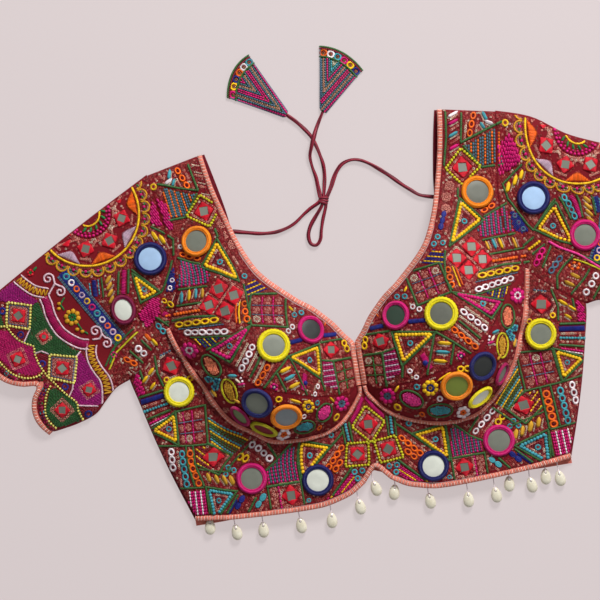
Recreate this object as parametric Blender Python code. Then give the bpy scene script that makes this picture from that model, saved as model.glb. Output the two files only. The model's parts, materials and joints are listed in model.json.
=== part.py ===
"""Choli blouse laid flat, front up: every cut and sewn piece as one closed solid.

The frame: +X is the wearer's left, +Y runs up to the shoulders, +Z is up from the
surface that the blouse lies on. The origin is on that surface, below the middle of the
centre front where the two cup seams part. Tables are in millimetres, on the +X half;
the other half is mirrored. The meshes are in metres.
"""

import math

import bmesh
import bpy
from mathutils import Vector
from mathutils.bvhtree import BVHTree

MM = 0.001

# ---------------------------------------------------------------- driving sizes, mm
BACK_WALL = 1.6            # plain back cloth, lying on the surface
FRONT_WALL = 1.8           # embroidered front cloth
CLOSED_EDGE_TOP = 3.7      # front face where front and back are sewn together
FRONT_TOP = 11.0           # front face away from the closed edges
ROLL = 8.0                 # reach of the roll down to a closed edge
SEAM_HALF_GAP = 0.2        # each piece stops this short of its seam line
BINDING_WIDTH = 5.2
BINDING_SWELL = 0.5        # how far a binding stands proud of the cloth
BINDING_GAP = 0.4
BINDING_FULL = BINDING_WIDTH + BINDING_GAP
STRIP_TOPS = (-0.2, BINDING_SWELL, -0.2)    # a binding's outer face, edge to edge
PEAK_DROP = 1.5            # the band's peak stops this far below the cup seams' meeting
CUP_RISE = 42.0
CUP_APEX = (105.0, 25.0)
CUP_RIM_SOFTNESS = 0.02
STEEPEST_WALL = 3.0        # most that a slope may thicken the upright depth of a wall
LEFT_LAP = 12.0            # left back runs this far past the centre, under the right
RIGHT_LAP = 8.0            # and the right back runs this far past it, over the left
LAP_LIFT = 2.1
LAP_RAMP = (14.0, 30.0)    # the right back climbs on to the lap between these
BACK_HEM_SAG = 11.0
SIDE_SEAM_BOW = 3.3
SIDE_DRIFT = 4.5           # below the arms the body lies this far to the wearer's left
SHOULDER_LIFT = 6.0        # and its left shoulder lies this much higher than the right
CUP_PUSH = 14.0            # the right cup is pushed in this far towards the centre
CUP_PUSH_X = (20.0, 95.0, 135.0, 190.0)     # it grows and fades between these
CUP_PUSH_Y = (-75.0, -25.0, 30.0, 100.0)
CUP_RAISE = 8.0            # the right cup's seam sits this much higher at its foot
CUP_RAISE_X = (25.0, 90.0, 120.0, 160.0)
CUP_RAISE_Y = (-105.0, -55.0, -40.0, 5.0)
FOLD_BULGE = 1.2
FOLD_INSET = 2.2
FOLD_HOLLOW = 1.7          # inside a fold the wall's face lies this far in
FOLD_RISE = 0.7            # and this high over the back's
MIRROR_SIDES = 10
CORD_DIAMETER = 3.6
CORD_GAP = 0.35
LIFT = 0.5                 # what is sewn on to the cloth lies this far off it
PIPING_LIFT = 1.1          # piping bends over its seam, so it lies a little higher
PIPING_ACROSS = ((-1.4, 0.8), (-0.4, 2.2), (1.4, 0.8))    # (off the seam line, thickness)

# ---------------------------------------------------------------- outlines
# neck edge and armhole, from the shoulder down to the corner over the bust seam
SHOULDER_ROWS = (  # (neck_x, neck_y, armhole_x, armhole_y)
    (123, 262, 182, 250), (117, 227, 176, 215), (107, 190, 171, 180), (98, 162, 169, 150),
    (85, 135, 172, 122), (68, 116, 179, 104), (48, 98, 186, 91))
# lines that run down the front across one cup, from that corner to the centre front
CUP_ROWS = (  # (neck_x, neck_y, bust_x, bust_y, seam_x, seam_y, hem_x, hem_y)
    (48, 98, 186, 91, 186, 91, 180, -109.7), (36, 89, 166, 77, 177, 56, 171, -110.5),
    (26, 79, 152, 58, 166, 24, 160, -112), (17, 69, 139, 40, 154, -6, 147, -113),
    (8.5, 56.5, 126, 25, 137, -28, 130, -114), (0.3, 46, 107, 14, 115, -45, 110, -115),
    (0.3, 37, 85, 6, 88, -51, 85, -115.8), (0.3, 28, 60, 0, 60, -47, 60, -115.5),
    (0.3, 19, 40, -3, 38, -39, 42, -112), (0.3, 10, 26, -4.5, 22, -29, 27, -107),
    (0.3, 2, 14, -5, 10, -16, 13, -98))
PIPING_ENDS = ((4.5, -8.0), (3.2, -2.8))    # where each cup's piping stops at the centre
CENTRE_ROWS = (  # (seam_x, seam_y, hem_x, hem_y)
    (10, -16, 13, -98), (4, -7, 6, -90), (0, 0, 0, -83))
UNDERARM_ROWS = (  # (armhole_x, armhole_y, hem_x, hem_y)
    (186, 91, 180, -109.7), (205, 72, 186, -109), (222, 57, 192, -108.5), (238, 46, 196, -108))
BACK_NECK = ((120.5, 262), (114, 232), (108, 200), (104.5, 170), (99, 142), (91, 115), (80, 92),
             (64, 70), (42, 51), (18, 40), (-12, 36))
CENTRE_BACK_HEM = -77.0
SIDE_HEM = (196, -108)
# how far the cup reaches from its apex, by direction, and how round that slope is
CUP_REACH = (  # (direction in degrees, reach, roundness)
    (0, 61, 0.80), (22, 78, 1.00), (40, 106, 1.30), (65, 160, 1.80), (90, 200, 1.80),
    (120, 150, 1.60), (150, 117, 1.25), (180, 107, 1.00), (195, 106, 0.90), (212, 99, 0.80),
    (237, 85, 0.75), (263, 75, 0.75), (301, 62, 0.75), (330, 58, 0.75))
# upper fold and under seam of each sleeve, shoulder to cuff
SLEEVE_FOLD = {
    "left": ((182, 250), (218, 238), (246, 221), (284, 206), (318, 190), (356, 164), (395, 140)),
    "right": ((182, 250), (236, 222), (295, 190), (351, 158), (393, 136))}
SLEEVE_SEAM = {
    "left": ((238, 46), (245, 44), (257, 49), (275, 37), (300, 21), (328, 8)),
    "right": ((238, 46), (246, 45), (259, 34), (272, 20), (278, 15), (326, 4.4))}
CUFF_CUSPS = (  # (x, y, bulge, steps) of the scallop that starts at each cusp, fold first
    (393, 136, 5, 5), (376, 114, 20, 8), (329, 55, 10, 5))
CUFF_STRAIGHTENS = 4       # power by which the tube's edges turn to meet the cuff
ARMHOLE_FADES = 1.3        # and by which the armhole's curve fades out along the sleeve
CUFF_FADES = 2             # and the scallops' curve in
SLEEVE_STATIONS = (0.0, 0.14, 0.30, 0.46, 0.62, 0.77, 0.90, 1.0)
# soft troughs (depth below zero) and ridges pressed into the laid cloth
CREASES = (  # (side, x0, y0, x1, y1, depth, width)
    ("left", 186, 247, 177, 172, -3.2, 7), ("left", 198, 236, 194, 190, 2.0, 9),
    ("right", 222, 92, 193, 106, -4.5, 9), ("right", 232, 78, 205, 84, 2.4, 9),
    ("right", 262, 60, 224, 112, -2.6, 10), ("left", 250, 72, 212, 104, -2.8, 10),
    ("left", 232, 58, 205, -20, -1.8, 10), ("right", 226, 50, 200, -30, -1.8, 10))

# ---------------------------------------------------------------- what is sewn on, mm
MIRRORS = (  # (thread colour, x and y where it lies, radius)
    ("orange", -141.8, 174.6, 16.0), ("yellow", -81.4, 57.4, 17.2), ("yellow", -185.2, 26, 15.9),
    ("pink", -42.2, 66.6, 14.6), ("navy", -107.1, 3.3, 16.6), ("orange", -80.7, -15.1, 16.2),
    ("pink", -126.5, -73.8, 15.9), ("navy", -60, -86.8, 16.2), ("orange", 149.2, 177.1, 16.8),
    ("pink", 45.7, 67, 14.7), ("yellow", 90.2, 61.2, 17.3), ("yellow", 189.5, 23.3, 16.3),
    ("navy", 121.9, 2.7, 15.4), ("orange", 93.6, -12.7, 16.4), ("pink", 129.5, -77.2, 16.4),
    ("navy", 59.1, -91.9, 15.9), ("navy", -191.7, 165.1, 17.0), ("navy", 205.4, 161.9, 17.0),
    ("pink", 251.1, 115.8, 15.9))
COWRIES = (  # (hem, x and y of the shell's middle, lean in degrees)
    ("back", -181, -117, -8), ("front", -152, -127, 4), ("front", -124, -129, -5),
    ("front", -85, -131, 3), ("front", -53, -131, -4), ("front", -22, -122, 6),
    ("front", -3, -106, 12), ("front", 15, -113, -14), ("front", 50, -128, 5),
    ("front", 89, -133, -3), ("front", 118, -133, 4), ("back", 133, -124, -6),
    ("front", 155, -129, 7), ("back", 169, -123, -4), ("front", 182, -127, 5))
SHELL_LENGTH = 16.0
SHELL_WIDTH = 11.2
SHELL_DEPTH = 7.2
SHELL_PROFILE = (  # (share of the length, share of the width, share of the depth)
    (0.12, 0.66, 0.6), (0.38, 1.0, 1.0), (0.68, 0.92, 0.94), (0.95, 0.45, 0.5))
SHELL_SIDES = 6
THREAD_RADIUS = 0.8
THREAD_LIES = 1.6          # height of its middle where it lies on the surface
THREAD_FROM_FRONT = 1.6    # a drop's thread starts this far under the front's face
THREAD_FROM_BACK = 1.0     # or this high on a back
THREAD_TUCK = 1.0          # and this far in from the hem
MIRROR_PROFILE = (  # (share of the radius, height) of the glass, thread ring and foot
    (0.0, 1.2), (0.62, 1.2), (0.82, 2.6), (1.0, 0.9), (1.0, 0.0), (0.0, 0.0))
MIRROR_SHARES = (0.0, 0.3, 0.6, 0.85, 1.0)    # where its seat feels for the cloth
# the dori: neck cords, the loop and the tails, as they lie on the surface
KNOT_CENTRE = (-7.0, 195.0)
KNOT_SIZE = (10.0, 12.0, 8.4)
CORD_REST = 0.25           # a cord's smooth sway leaves it this far off the surface
CORD_ROUTES = {  # (x, y, height of a crossing hump)
    "dori_right_neck": ((-104.6, 179, 0), (-89, 175, 0), (-76, 172, 0), (-62, 171, 0), (-50, 173, 0),
                        (-40, 177, 0), (-30, 184, 0.2), (-22, 189, 1.0), (-12.6, 193.6, 2.0)),
    "dori_left_neck": ((104.3, 180, 0), (92, 184, 0), (83, 191, 0), (75, 198, 0), (65, 208, 0),
                       (55, 217, 0), (45, 225, 0), (36, 230, 0), (27, 231.5, 0), (18, 229, 0),
                       (11.5, 223, 0), (7, 216, 0.2), (3, 208, 1.0), (-2.0, 199.9, 2.0)),
    "dori_loop": ((-6.0, 188.5, 2.0), (-11, 176, 0.6), (-14.5, 165, 0), (-17, 156, 0),
                  (-22, 151, 0), (-27.5, 153.5, 0), (-28.5, 162, 0), (-25, 171, 0),
                  (-18.5, 179.5, 0.6), (-10.6, 188.9, 2.0)),
    "dori_left_tail": ((-5.9, 201.5, 2.0), (-3.9, 210, 0.8), (-2, 220, 0), (-1.5, 231, 0), (-3, 241, 0),
                       (-5, 250, 0), (-8.5, 261, 0), (-14, 270, 0), (-22, 280, 0), (-29.9, 287.9, 0)),
    "dori_right_tail": ((-10.0, 200.7, 2.0), (-10.6, 211, 0.8), (-11, 220, 0), (-13, 231, 0),
                        (-13.5, 242, 1.0), (-10.5, 251, 4.0), (-6.5, 260.5, 4.4),
                        (-2.5, 269, 1.2), (2, 277, 0), (6.8, 284.8, 0))}
LATKANS = {  # tip, the two far corners, and how far the far edge swells
    "latkan_right": ((-30, 288), (-59, 356), (-88, 316), 7.0),
    "latkan_left": ((7, 285), (15, 353), (55, 321), 6.0)}
LATKAN_DEPTH = 5.0
LATKAN_EDGE = 1.2          # height of its face along the seams
LATKAN_FLOOR = 0.1         # and of its underside
LATKAN_TIP = 6.0           # and the width of its narrow end
LATKAN_STATIONS = ((0.0, 0.888), (0.12, 0.968), (0.35, 0.981), (0.6, 0.792), (0.82, 0.62),
                   (0.94, 0.62), (1.0, 0.45))    # (tip to far edge, share of the depth)

COLOURS = {  # (red, green, blue, roughness, metallic)
    "front_cloth": (0.24, 0.02, 0.04, 0.75, 0.0), "back_cloth": (0.20, 0.01, 0.03, 0.8, 0.0),
    "binding": (0.74, 0.26, 0.22, 0.7, 0.0), "cord": (0.30, 0.01, 0.05, 0.7, 0.0),
    "latkan": (0.35, 0.03, 0.20, 0.7, 0.0), "shell": (0.86, 0.83, 0.76, 0.3, 0.0),
    "orange": (0.90, 0.30, 0.05, 0.6, 0.0), "yellow": (0.88, 0.66, 0.05, 0.6, 0.0),
    "pink": (0.72, 0.05, 0.28, 0.6, 0.0), "navy": (0.02, 0.03, 0.22, 0.6, 0.0)}
SIDES = (("left", 1), ("right", -1))


# ---------------------------------------------------------------- plane curves
def blend_rows(rows, at):
    """Catmull-Rom reading of a table's rows at a row number that may lie between two."""
    first = min(int(at), len(rows) - 2)
    t = at - first
    before, here, after, beyond = (rows[min(max(first + k, 0), len(rows) - 1)] for k in (-1, 0, 1, 2))
    return [0.5 * (2 * b + (c - a) * t + (2 * a - 5 * b + 4 * c - d) * t * t
                   + (3 * b - a - 3 * c + d) * t ** 3)
            for a, b, c, d in zip(before, here, after, beyond)]


def read_table(rows, per_row):
    """A table's columns, read per_row times between two rows."""
    count = (len(rows) - 1) * per_row
    return [blend_rows(rows, k / per_row) for k in range(count + 1)]


def column(table, index):
    """The (x, y) pair that starts at a column."""
    return [Vector((row[index], row[index + 1])) for row in table]


def resample(points, count):
    """count points at even distances along a smooth curve through the points."""
    fine = [Vector(p) for p in read_table(points, 12)]
    walked = [0.0]
    for a, b in zip(fine, fine[1:]):
        walked.append(walked[-1] + (b - a).length)
    out = []
    k = 0
    for step in range(count):
        goal = walked[-1] * step / (count - 1)
        while k < len(fine) - 2 and walked[k + 1] < goal:
            k += 1
        span = walked[k + 1] - walked[k]
        out.append(fine[k].lerp(fine[k + 1], (goal - walked[k]) / span))
    return out


def moved(points, distance):
    """The polyline moved to the left of its run, with mitred corners."""
    out = []
    for k, point in enumerate(points):
        before = point - points[k - 1] if k else points[1] - points[0]
        after = points[k + 1] - point if k + 1 < len(points) else before
        left_a = Vector((-before.y, before.x)).normalized()
        left_b = Vector((-after.y, after.x)).normalized()
        mitre = (left_a + left_b).normalized()
        out.append(point + mitre * distance / max(mitre.dot(left_a), 0.55))
    return out


def distance_to(point, line):
    """Shortest distance from a point to a polyline."""
    best = math.inf
    for a, b in zip(line, line[1:]):
        along = b - a
        t = max(0.0, min(1.0, (point - a).dot(along) / along.length_squared))
        best = min(best, (point - a - along * t).length)
    return best


def smoothstep(value):
    """0 below 0, 1 above 1, smooth between."""
    value = max(0.0, min(1.0, value))
    return value * value * (3 - 2 * value)


# ---------------------------------------------------------------- shared seam lines
SHOULDER = read_table(SHOULDER_ROWS, 2)
CUP = read_table(CUP_ROWS, 2)
CENTRE = read_table(CENTRE_ROWS, 2)
UNDERARM = read_table(UNDERARM_ROWS, 2)
ARMHOLE = column(SHOULDER, 2) + column(UNDERARM, 0)[1:]
NECK = column(SHOULDER, 0) + column(CUP, 0)[1:]
BUST_SEAM = column(CUP, 2)
CUP_SEAM = column(CUP, 4)
BAND_TOP = column(CENTRE, 0)[::-1] + CUP_SEAM[::-1][1:] + column(UNDERARM, 0)[1:]
FRONT_HEM = column(CENTRE, 2)[::-1] + column(CUP, 6)[::-1][1:] + column(UNDERARM, 2)[1:]
for corner in NECK:
    corner.x = max(corner.x, SEAM_HALF_GAP)
for corner in FRONT_HEM:
    corner.x = max(corner.x, 0.0)


def side_seam(count):
    """Points down the side seam, which bows out a little."""
    top = Vector(UNDERARM_ROWS[-1][:2])
    foot = Vector(SIDE_HEM)
    return [top.lerp(foot, k / (count - 1)) + Vector((SIDE_SEAM_BOW * math.sin(math.pi * k / (count - 1)), 0))
            for k in range(count)]


CLOSED_EDGES = {}
for side_name, _ in SIDES:
    CLOSED_EDGES[side_name] = (
        [Vector(SHOULDER_ROWS[0][:2])] + resample(SLEEVE_FOLD[side_name], 12),
        resample(SLEEVE_SEAM[side_name], 10)[::-1] + side_seam(8)[1:])


# ---------------------------------------------------------------- the laid surface
def cup_height(x, y):
    """How far the cup lifts the front at a point of the +X half."""
    dx, dy = x - CUP_APEX[0], y - CUP_APEX[1]
    direction = math.degrees(math.atan2(dy, dx)) % 360
    turned = [row for row in CUP_REACH] + [(CUP_REACH[0][0] + 360,) + CUP_REACH[0][1:]]
    k = max(i for i in range(len(turned) - 1) if turned[i][0] <= direction)
    t = smoothstep((direction - turned[k][0]) / (turned[k + 1][0] - turned[k][0]))
    reach = turned[k][1] * (1 - t) + turned[k + 1][1] * t
    roundness = turned[k][2] * (1 - t) + turned[k + 1][2] * t
    inside = max(0.0, 1 - (math.hypot(dx, dy) / reach) ** 2)
    rim = CUP_RIM_SOFTNESS ** roundness
    return CUP_RISE * ((inside + CUP_RIM_SOFTNESS) ** roundness - rim) / (1 - rim)


def crease_height(x, y, side):
    """Troughs and ridges, each fading at its two ends."""
    total = 0.0
    for where, x0, y0, x1, y1, depth, width in CREASES:
        if where != side:
            continue
        start, run = Vector((x0, y0)), Vector((x1 - x0, y1 - y0))
        t = (Vector((x, y)) - start).dot(run) / run.length_squared
        off = (Vector((x, y)) - start - run * t).length
        ends = smoothstep(t / 0.3) * smoothstep((1 - t) / 0.3)
        total += depth * ends * math.exp(-(off / width) ** 2)
    return total


def front_height(x, y, side):
    """Height of the front's outer face over a point of the half plan."""
    away = min(distance_to(Vector((x, y)), line) for line in CLOSED_EDGES[side])
    risen = 1 - math.exp(-away / ROLL)
    return CLOSED_EDGE_TOP + (FRONT_TOP - CLOSED_EDGE_TOP + crease_height(x, y, side)) * risen \
        + cup_height(x, y)


def slope_factor(x, y, side):
    """How much deeper an upright cut through the wall is than the wall is thick."""
    step = 0.5
    rise_x = front_height(x + step, y, side) - front_height(x - step, y, side)
    rise_y = front_height(x, y + step, side) - front_height(x, y - step, side)
    return min(STEEPEST_WALL, math.sqrt(1 + rise_x ** 2 + rise_y ** 2))


def front_point(point, side, above):
    """The point of the front over a plan point, moved out of (or into) its face."""
    z = front_height(point.x, point.y, side) + above * slope_factor(point.x, point.y, side)
    return Vector((point.x, point.y, z))


def back_floor(x, side):
    """Lower face of a back piece: the right back climbs on to the left one's lap."""
    if side == "left":
        return 0.0
    near, far = LAP_RAMP
    return LAP_LIFT * (1 - smoothstep((x - near) / (far - near)))


# ---------------------------------------------------------------- solids
def plateau(value, edges):
    """0 before the first edge and past the last, 1 between the middle two."""
    start, full, fades, end = edges
    return smoothstep((value - start) / (full - start)) * (1 - smoothstep((value - fades) / (end - fades)))


def as_laid(point):
    """A point of the even plan where the cloth really lies: drifted, left shoulder up."""
    out = abs(point.x)
    at_sides = smoothstep((out - 140) / 60) * (1 - smoothstep((out - 232) / 60))
    below_arms = smoothstep((90 - point.y) / 60)
    on_shoulder = smoothstep((point.x - 80) / 40) * (1 - smoothstep((point.x - 225) / 60))
    high = smoothstep((point.y - 190) / 60)
    aside = SIDE_DRIFT * at_sides * below_arms
    raised = SHOULDER_LIFT * on_shoulder * high
    if point.x < 0:
        aside += CUP_PUSH * plateau(out, CUP_PUSH_X) * plateau(point.y, CUP_PUSH_Y)
        raised += CUP_RAISE * plateau(out, CUP_RAISE_X) * plateau(point.y, CUP_RAISE_Y)
    return point + Vector((aside, raised, 0))


def material(name):
    """The named material, made once."""
    found = bpy.data.materials.get(name)
    if found:
        return found
    made = bpy.data.materials.new(name)
    made.use_nodes = True
    red, green, blue, roughness, metallic = COLOURS[name]
    made.diffuse_color = (red, green, blue, 1.0)
    shader = made.node_tree.nodes["Principled BSDF"]
    shader.inputs["Base Color"].default_value = (red, green, blue, 1.0)
    shader.inputs["Roughness"].default_value = roughness
    shader.inputs["Metallic"].default_value = metallic
    return made


def add_object(name, mesh, finish, collection):
    """A smooth-shaded object with one material, put in the collection."""
    mesh.materials.append(material(finish))
    mesh.shade_smooth()
    mesh.set_sharp_from_angle(angle=math.radians(50))
    made = bpy.data.objects.new(name, mesh)
    collection.objects.link(made)
    return made


def loft(name, sections, finish, collection, sign=1, cyclic=False, lay=as_laid):
    """A closed solid through cross-sections, each a ring of points round the wall.

    A ring runs along one face and back along the other, so its k-th point lies over its
    k-th last one, and each end is closed by a strip between the two faces. Points that
    fall together, as at the middle of a disc, are welded.
    """
    mesh = bmesh.new()
    rings = [[mesh.verts.new(lay(Vector((sign * p.x, p.y, p.z))) * MM) for p in ring]
             for ring in sections]
    size = len(rings[0])
    pairs = list(zip(rings, rings[1:] + rings[:1]))
    for ring, after in pairs if cyclic else pairs[:-1]:
        for k in range(size):
            mesh.faces.new((ring[k], ring[(k + 1) % size], after[(k + 1) % size], after[k]))
    if not cyclic:
        for ring in (rings[0], rings[-1]):
            for k in range(size // 2 - 1):
                mesh.faces.new((ring[k], ring[k + 1], ring[size - 2 - k], ring[size - 1 - k]))
    bmesh.ops.remove_doubles(mesh, verts=mesh.verts, dist=2e-5)
    loose = [edge for edge in mesh.edges if not edge.link_faces]
    bmesh.ops.delete(mesh, geom=loose, context="EDGES")
    bmesh.ops.recalc_face_normals(mesh, faces=mesh.faces)
    data = bpy.data.meshes.new(name)
    mesh.to_mesh(data)
    mesh.free()
    return add_object(name, data, finish, collection)


def between(edge_a, edge_b, fractions):
    """Rows of plan points from one edge to the other."""
    return [[a.lerp(b, f) for f in fractions] for a, b in zip(edge_a, edge_b)]


def even(steps):
    """Fractions from 0 to 1."""
    return [k / steps for k in range(steps + 1)]


def front_wall(rows, side, tops=None):
    """Sections of a piece of the front: outer face out, inner face back."""
    sections = []
    for row in rows:
        swell = tops or [0.0] * len(row)
        outer = [front_point(p, side, s) for p, s in zip(row, swell)]
        inner = [front_point(p, side, -FRONT_WALL) for p in reversed(row)]
        sections.append(outer + inner)
    return sections


def mirrored_row(section):
    """The same section on the other half."""
    return [Vector((-p.x, p.y, p.z)) for p in section]


def strip_rows(edge):
    """Three plan points across a binding that lies inside an edge."""
    middle = moved(edge, BINDING_WIDTH / 2)
    inner = moved(edge, BINDING_WIDTH)
    return [list(row) for row in zip(edge, middle, inner)]


def front_upper(side, sign, collection):
    """Shoulder and upper cup: from the neck binding to the armhole and the bust seam."""
    neck = moved(NECK, BINDING_FULL)
    outer = moved(ARMHOLE[:len(SHOULDER)] + BUST_SEAM[1:], -SEAM_HALF_GAP)
    rows = between(neck, outer, even(6))
    loft(f"front_upper_{side}", front_wall(rows, side), "front_cloth", collection, sign)


def lower_cup(side, sign, collection):
    """The crescent between the bust seam and the cup seam."""
    bust = moved(BUST_SEAM, SEAM_HALF_GAP)
    seam = moved(CUP_SEAM, -SEAM_HALF_GAP)
    rows = [row for row in between(bust, seam, even(4)) if (row[0] - row[-1]).length > 5.0]
    loft(f"lower_cup_{side}", front_wall(rows, side), "front_cloth", collection, sign)


def front_band(collection):
    """One band round the front below both cups, side to side, peaked at the centre."""
    top = moved(BAND_TOP, -SEAM_HALF_GAP)
    foot = moved(FRONT_HEM, BINDING_FULL)
    top[0].x = foot[0].x = 0.0
    top[0].y -= PEAK_DROP
    halves = {}
    for side, _ in SIDES:
        rows = between(top, foot, even(4))
        for number in range(1, len(UNDERARM)):
            row = rows[len(rows) - len(UNDERARM) + number]
            share = number / (len(UNDERARM) - 1)
            for k, point in enumerate(row):
                point.x += share * SIDE_SEAM_BOW * math.sin(math.pi * k / 4)
        halves[side] = front_wall(rows, side)
    right = [mirrored_row(section) for section in halves["right"][::-1]]
    loft("front_band", right[:-1] + halves["left"], "front_cloth", collection)


def back(side, sign, collection):
    """A plain back: shoulder strap, deep neck and lapped centre back. Its foot is returned."""
    count = len(ARMHOLE)
    lap = -LEFT_LAP if side == "left" else -RIGHT_LAP
    neck = resample(BACK_NECK, count)
    centre_top = BACK_NECK[-1][1]
    down = [Vector((lap, centre_top + (CENTRE_BACK_HEM - centre_top) * share)) for share in even(5)]
    neck[-1] = down[0].copy()
    outer = moved(ARMHOLE, -SEAM_HALF_GAP) + side_seam(6)[1:]
    rows = between(neck + down[1:], outer, (0.0, 0.10, 0.18, 0.38, 0.60, 0.82, 1.0))
    last = len(rows) - 1
    for number in range(count, last + 1):
        share = ((number - count + 1) / (last - count + 1)) ** 2
        rows[number] = [p - Vector((0, share * BACK_HEM_SAG * math.sin(math.pi * k / 6)))
                        for k, p in enumerate(rows[number])]
    sections = []
    for row in rows:
        lower = [Vector((p.x, p.y, back_floor(p.x, side))) for p in row]
        upper = [Vector((p.x, p.y, p.z + BACK_WALL)) for p in reversed(lower)]
        sections.append(lower + upper)
    loft(f"back_{side}", sections, "back_cloth", collection, sign)
    return rows[-1]


def back_hem_binding(side, sign, hem, collection):
    """Binding along the foot of one back."""
    sections = []
    outer = moved(hem, -BINDING_GAP)
    lower_edge = moved(hem, -BINDING_FULL)
    for a, b in zip(outer, lower_edge):
        low = [Vector((p.x, p.y, back_floor(p.x, side))) for p in (a, a.lerp(b, 0.5), b)]
        high = [Vector((p.x, p.y, p.z + BACK_WALL)) for p in reversed(low)]
        sections.append(low + high)
    loft(f"hem_binding_back_{side}", sections, "binding", collection, sign)


def cuff_edge(side):
    """The scalloped edge of the cuff, from the upper fold to the under seam."""
    ends = CUFF_CUSPS + ((*SLEEVE_SEAM[side][-1], 0, 0),)
    shift = Vector(SLEEVE_FOLD[side][-1]) - Vector(CUFF_CUSPS[0][:2])
    edge = []
    for row, after in zip(CUFF_CUSPS, ends[1:]):
        start, end = Vector(row[:2]), Vector(after[:2])
        if row is CUFF_CUSPS[0]:
            start = start + shift
        run = end - start
        out = Vector((-run.y, run.x)).normalized()
        for k in range(row[3]):
            t = k / row[3]
            edge.append(start + run * t + out * row[2] * 4 * t * (1 - t))
    edge.append(Vector(SLEEVE_SEAM[side][-1]))
    return edge


def tube_sections(rings, side, swell):
    """Sections round a flat-lying tube whose plan rings each run from fold to seam.

    Each section runs along the tube on its outer face and back on its inner face. The
    front half rides on the laid surface, the back half on the floor, and one section at
    each side rounds the fold.
    """
    last = len(rings[0]) - 1

    def inward(ring, k):
        near, far = (ring[0], ring[1]) if k == 0 else (ring[-1], ring[-2])
        return near, (far - near).normalized()

    def inner_plan(ring, k):
        if k not in (0, last):
            return ring[k]
        near, towards = inward(ring, k)
        return near + towards * FOLD_INSET

    def front_section(k):
        outer = [front_point(ring[k], side, up) for ring, up in zip(rings, swell)]
        inner = [front_point(inner_plan(ring, k), side, -FRONT_WALL) for ring in rings]
        return outer + inner[::-1]

    def back_section(k):
        outer = [Vector((*ring[k], 0.0)) for ring in rings]
        inner = [Vector((*inner_plan(ring, k), BACK_WALL)) for ring in rings]
        return outer + inner[::-1]

    def fold_section(k):
        outer, inner = [], []
        for ring in rings:
            near, towards = inward(ring, k)
            outer.append(Vector((*(near - towards * FOLD_BULGE), CLOSED_EDGE_TOP / 2)))
            inner.append(Vector((*(near + towards * FOLD_HOLLOW), BACK_WALL + FOLD_RISE)))
        return outer + inner[::-1]

    fronts = [front_section(k) for k in range(last + 1)]
    backs = [back_section(k) for k in range(last, -1, -1)]
    return fronts + [fold_section(last)] + backs + [fold_section(0)]


def sleeve_rings(side):
    """Plan rings of a sleeve, armhole to cuff, each from the upper fold to the seam."""
    armhole = moved(ARMHOLE, SEAM_HALF_GAP)
    cuff = moved(cuff_edge(side), -BINDING_FULL)

    def in_chord(points):
        start, run = points[0], points[-1] - points[0]
        across = Vector((-run.y, run.x))
        return [((p - start).dot(run) / run.length_squared, (p - start).dot(across) / run.length)
                for p in points]

    at_armhole, at_cuff = in_chord(armhole), in_chord(cuff)
    fold = resample(SLEEVE_FOLD[side], 41)
    seam = resample(SLEEVE_SEAM[side], 41)
    rings = []
    for station in SLEEVE_STATIONS:
        number = round(station * 40)
        start = fold[number].lerp(cuff[0], station ** CUFF_STRAIGHTENS)
        end = seam[number].lerp(cuff[-1], station ** CUFF_STRAIGHTENS)
        if station == 0.0:
            start, end = armhole[0], armhole[-1]
        run = end - start
        across = Vector((-run.y, run.x)).normalized()
        ring = []
        for (f_a, h_a), (f_c, h_c) in zip(at_armhole, at_cuff):
            along = f_a * (1 - station) + f_c * station
            off = h_a * (1 - station) ** ARMHOLE_FADES + h_c * station ** CUFF_FADES
            ring.append(start + run * along + across * off)
        rings.append(ring)
    return rings


def sleeve(side, sign, collection):
    """A set-in sleeve, laid flat as a tube, open at the armhole and the cuff."""
    rings = sleeve_rings(side)
    sections = tube_sections(rings, side, [0.0] * len(rings))
    loft(f"sleeve_{side}", sections, "front_cloth", collection, sign, cyclic=True)


def cuff_binding(side, sign, collection):
    """The binding round both layers of the scalloped cuff."""
    edge = cuff_edge(side)
    rings = [moved(edge, -BINDING_WIDTH), moved(edge, -BINDING_WIDTH / 2), edge]
    sections = tube_sections(rings, side, STRIP_TOPS)
    loft(f"cuff_binding_{side}", sections, "binding", collection, sign, cyclic=True)


def neck_binding(side, sign, collection):
    """Binding along the neck and down the centre front."""
    rows = strip_rows(NECK)
    loft(f"neck_binding_{side}", front_wall(rows, side, STRIP_TOPS), "binding", collection, sign)


def front_hem_binding(collection):
    """Binding along the whole front hem, with its notch."""
    halves = {}
    for side, _ in SIDES:
        rows = strip_rows(FRONT_HEM)
        for point in rows[0]:
            point.x = 0.0
        halves[side] = front_wall(rows, side, STRIP_TOPS)
    right = [mirrored_row(section) for section in halves["right"][::-1]]
    loft("hem_binding_front", right[:-1] + halves["left"], "binding", collection)


# ---------------------------------------------------------------- laid on the front
def front_tree(collection):
    """A search tree over the faces of the front pieces, in metres."""
    points, faces = [], []
    for made in collection.objects:
        if made.name.startswith(("front_", "lower_cup", "sleeve")):
            start = len(points)
            points += [v.co.copy() for v in made.data.vertices]
            faces += [[start + k for k in face.vertices] for face in made.data.polygons]
    return BVHTree.FromPolygons(points, faces)


def resting_height(tree, place):
    """Highest cloth under a laid place and close round it, in millimetres, or None."""
    heights = []
    for dx, dy in ((0, 0), (0.5, 0), (-0.5, 0), (0, 0.5), (0, -0.5)):
        origin = Vector((place.x + dx, place.y + dy, 0)) * MM + Vector((0, 0, 1))
        hit = tree.ray_cast(origin, Vector((0, 0, -1)))[0]
        if hit is not None:
            heights.append(hit.z / MM)
    return max(heights, default=None)


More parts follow.
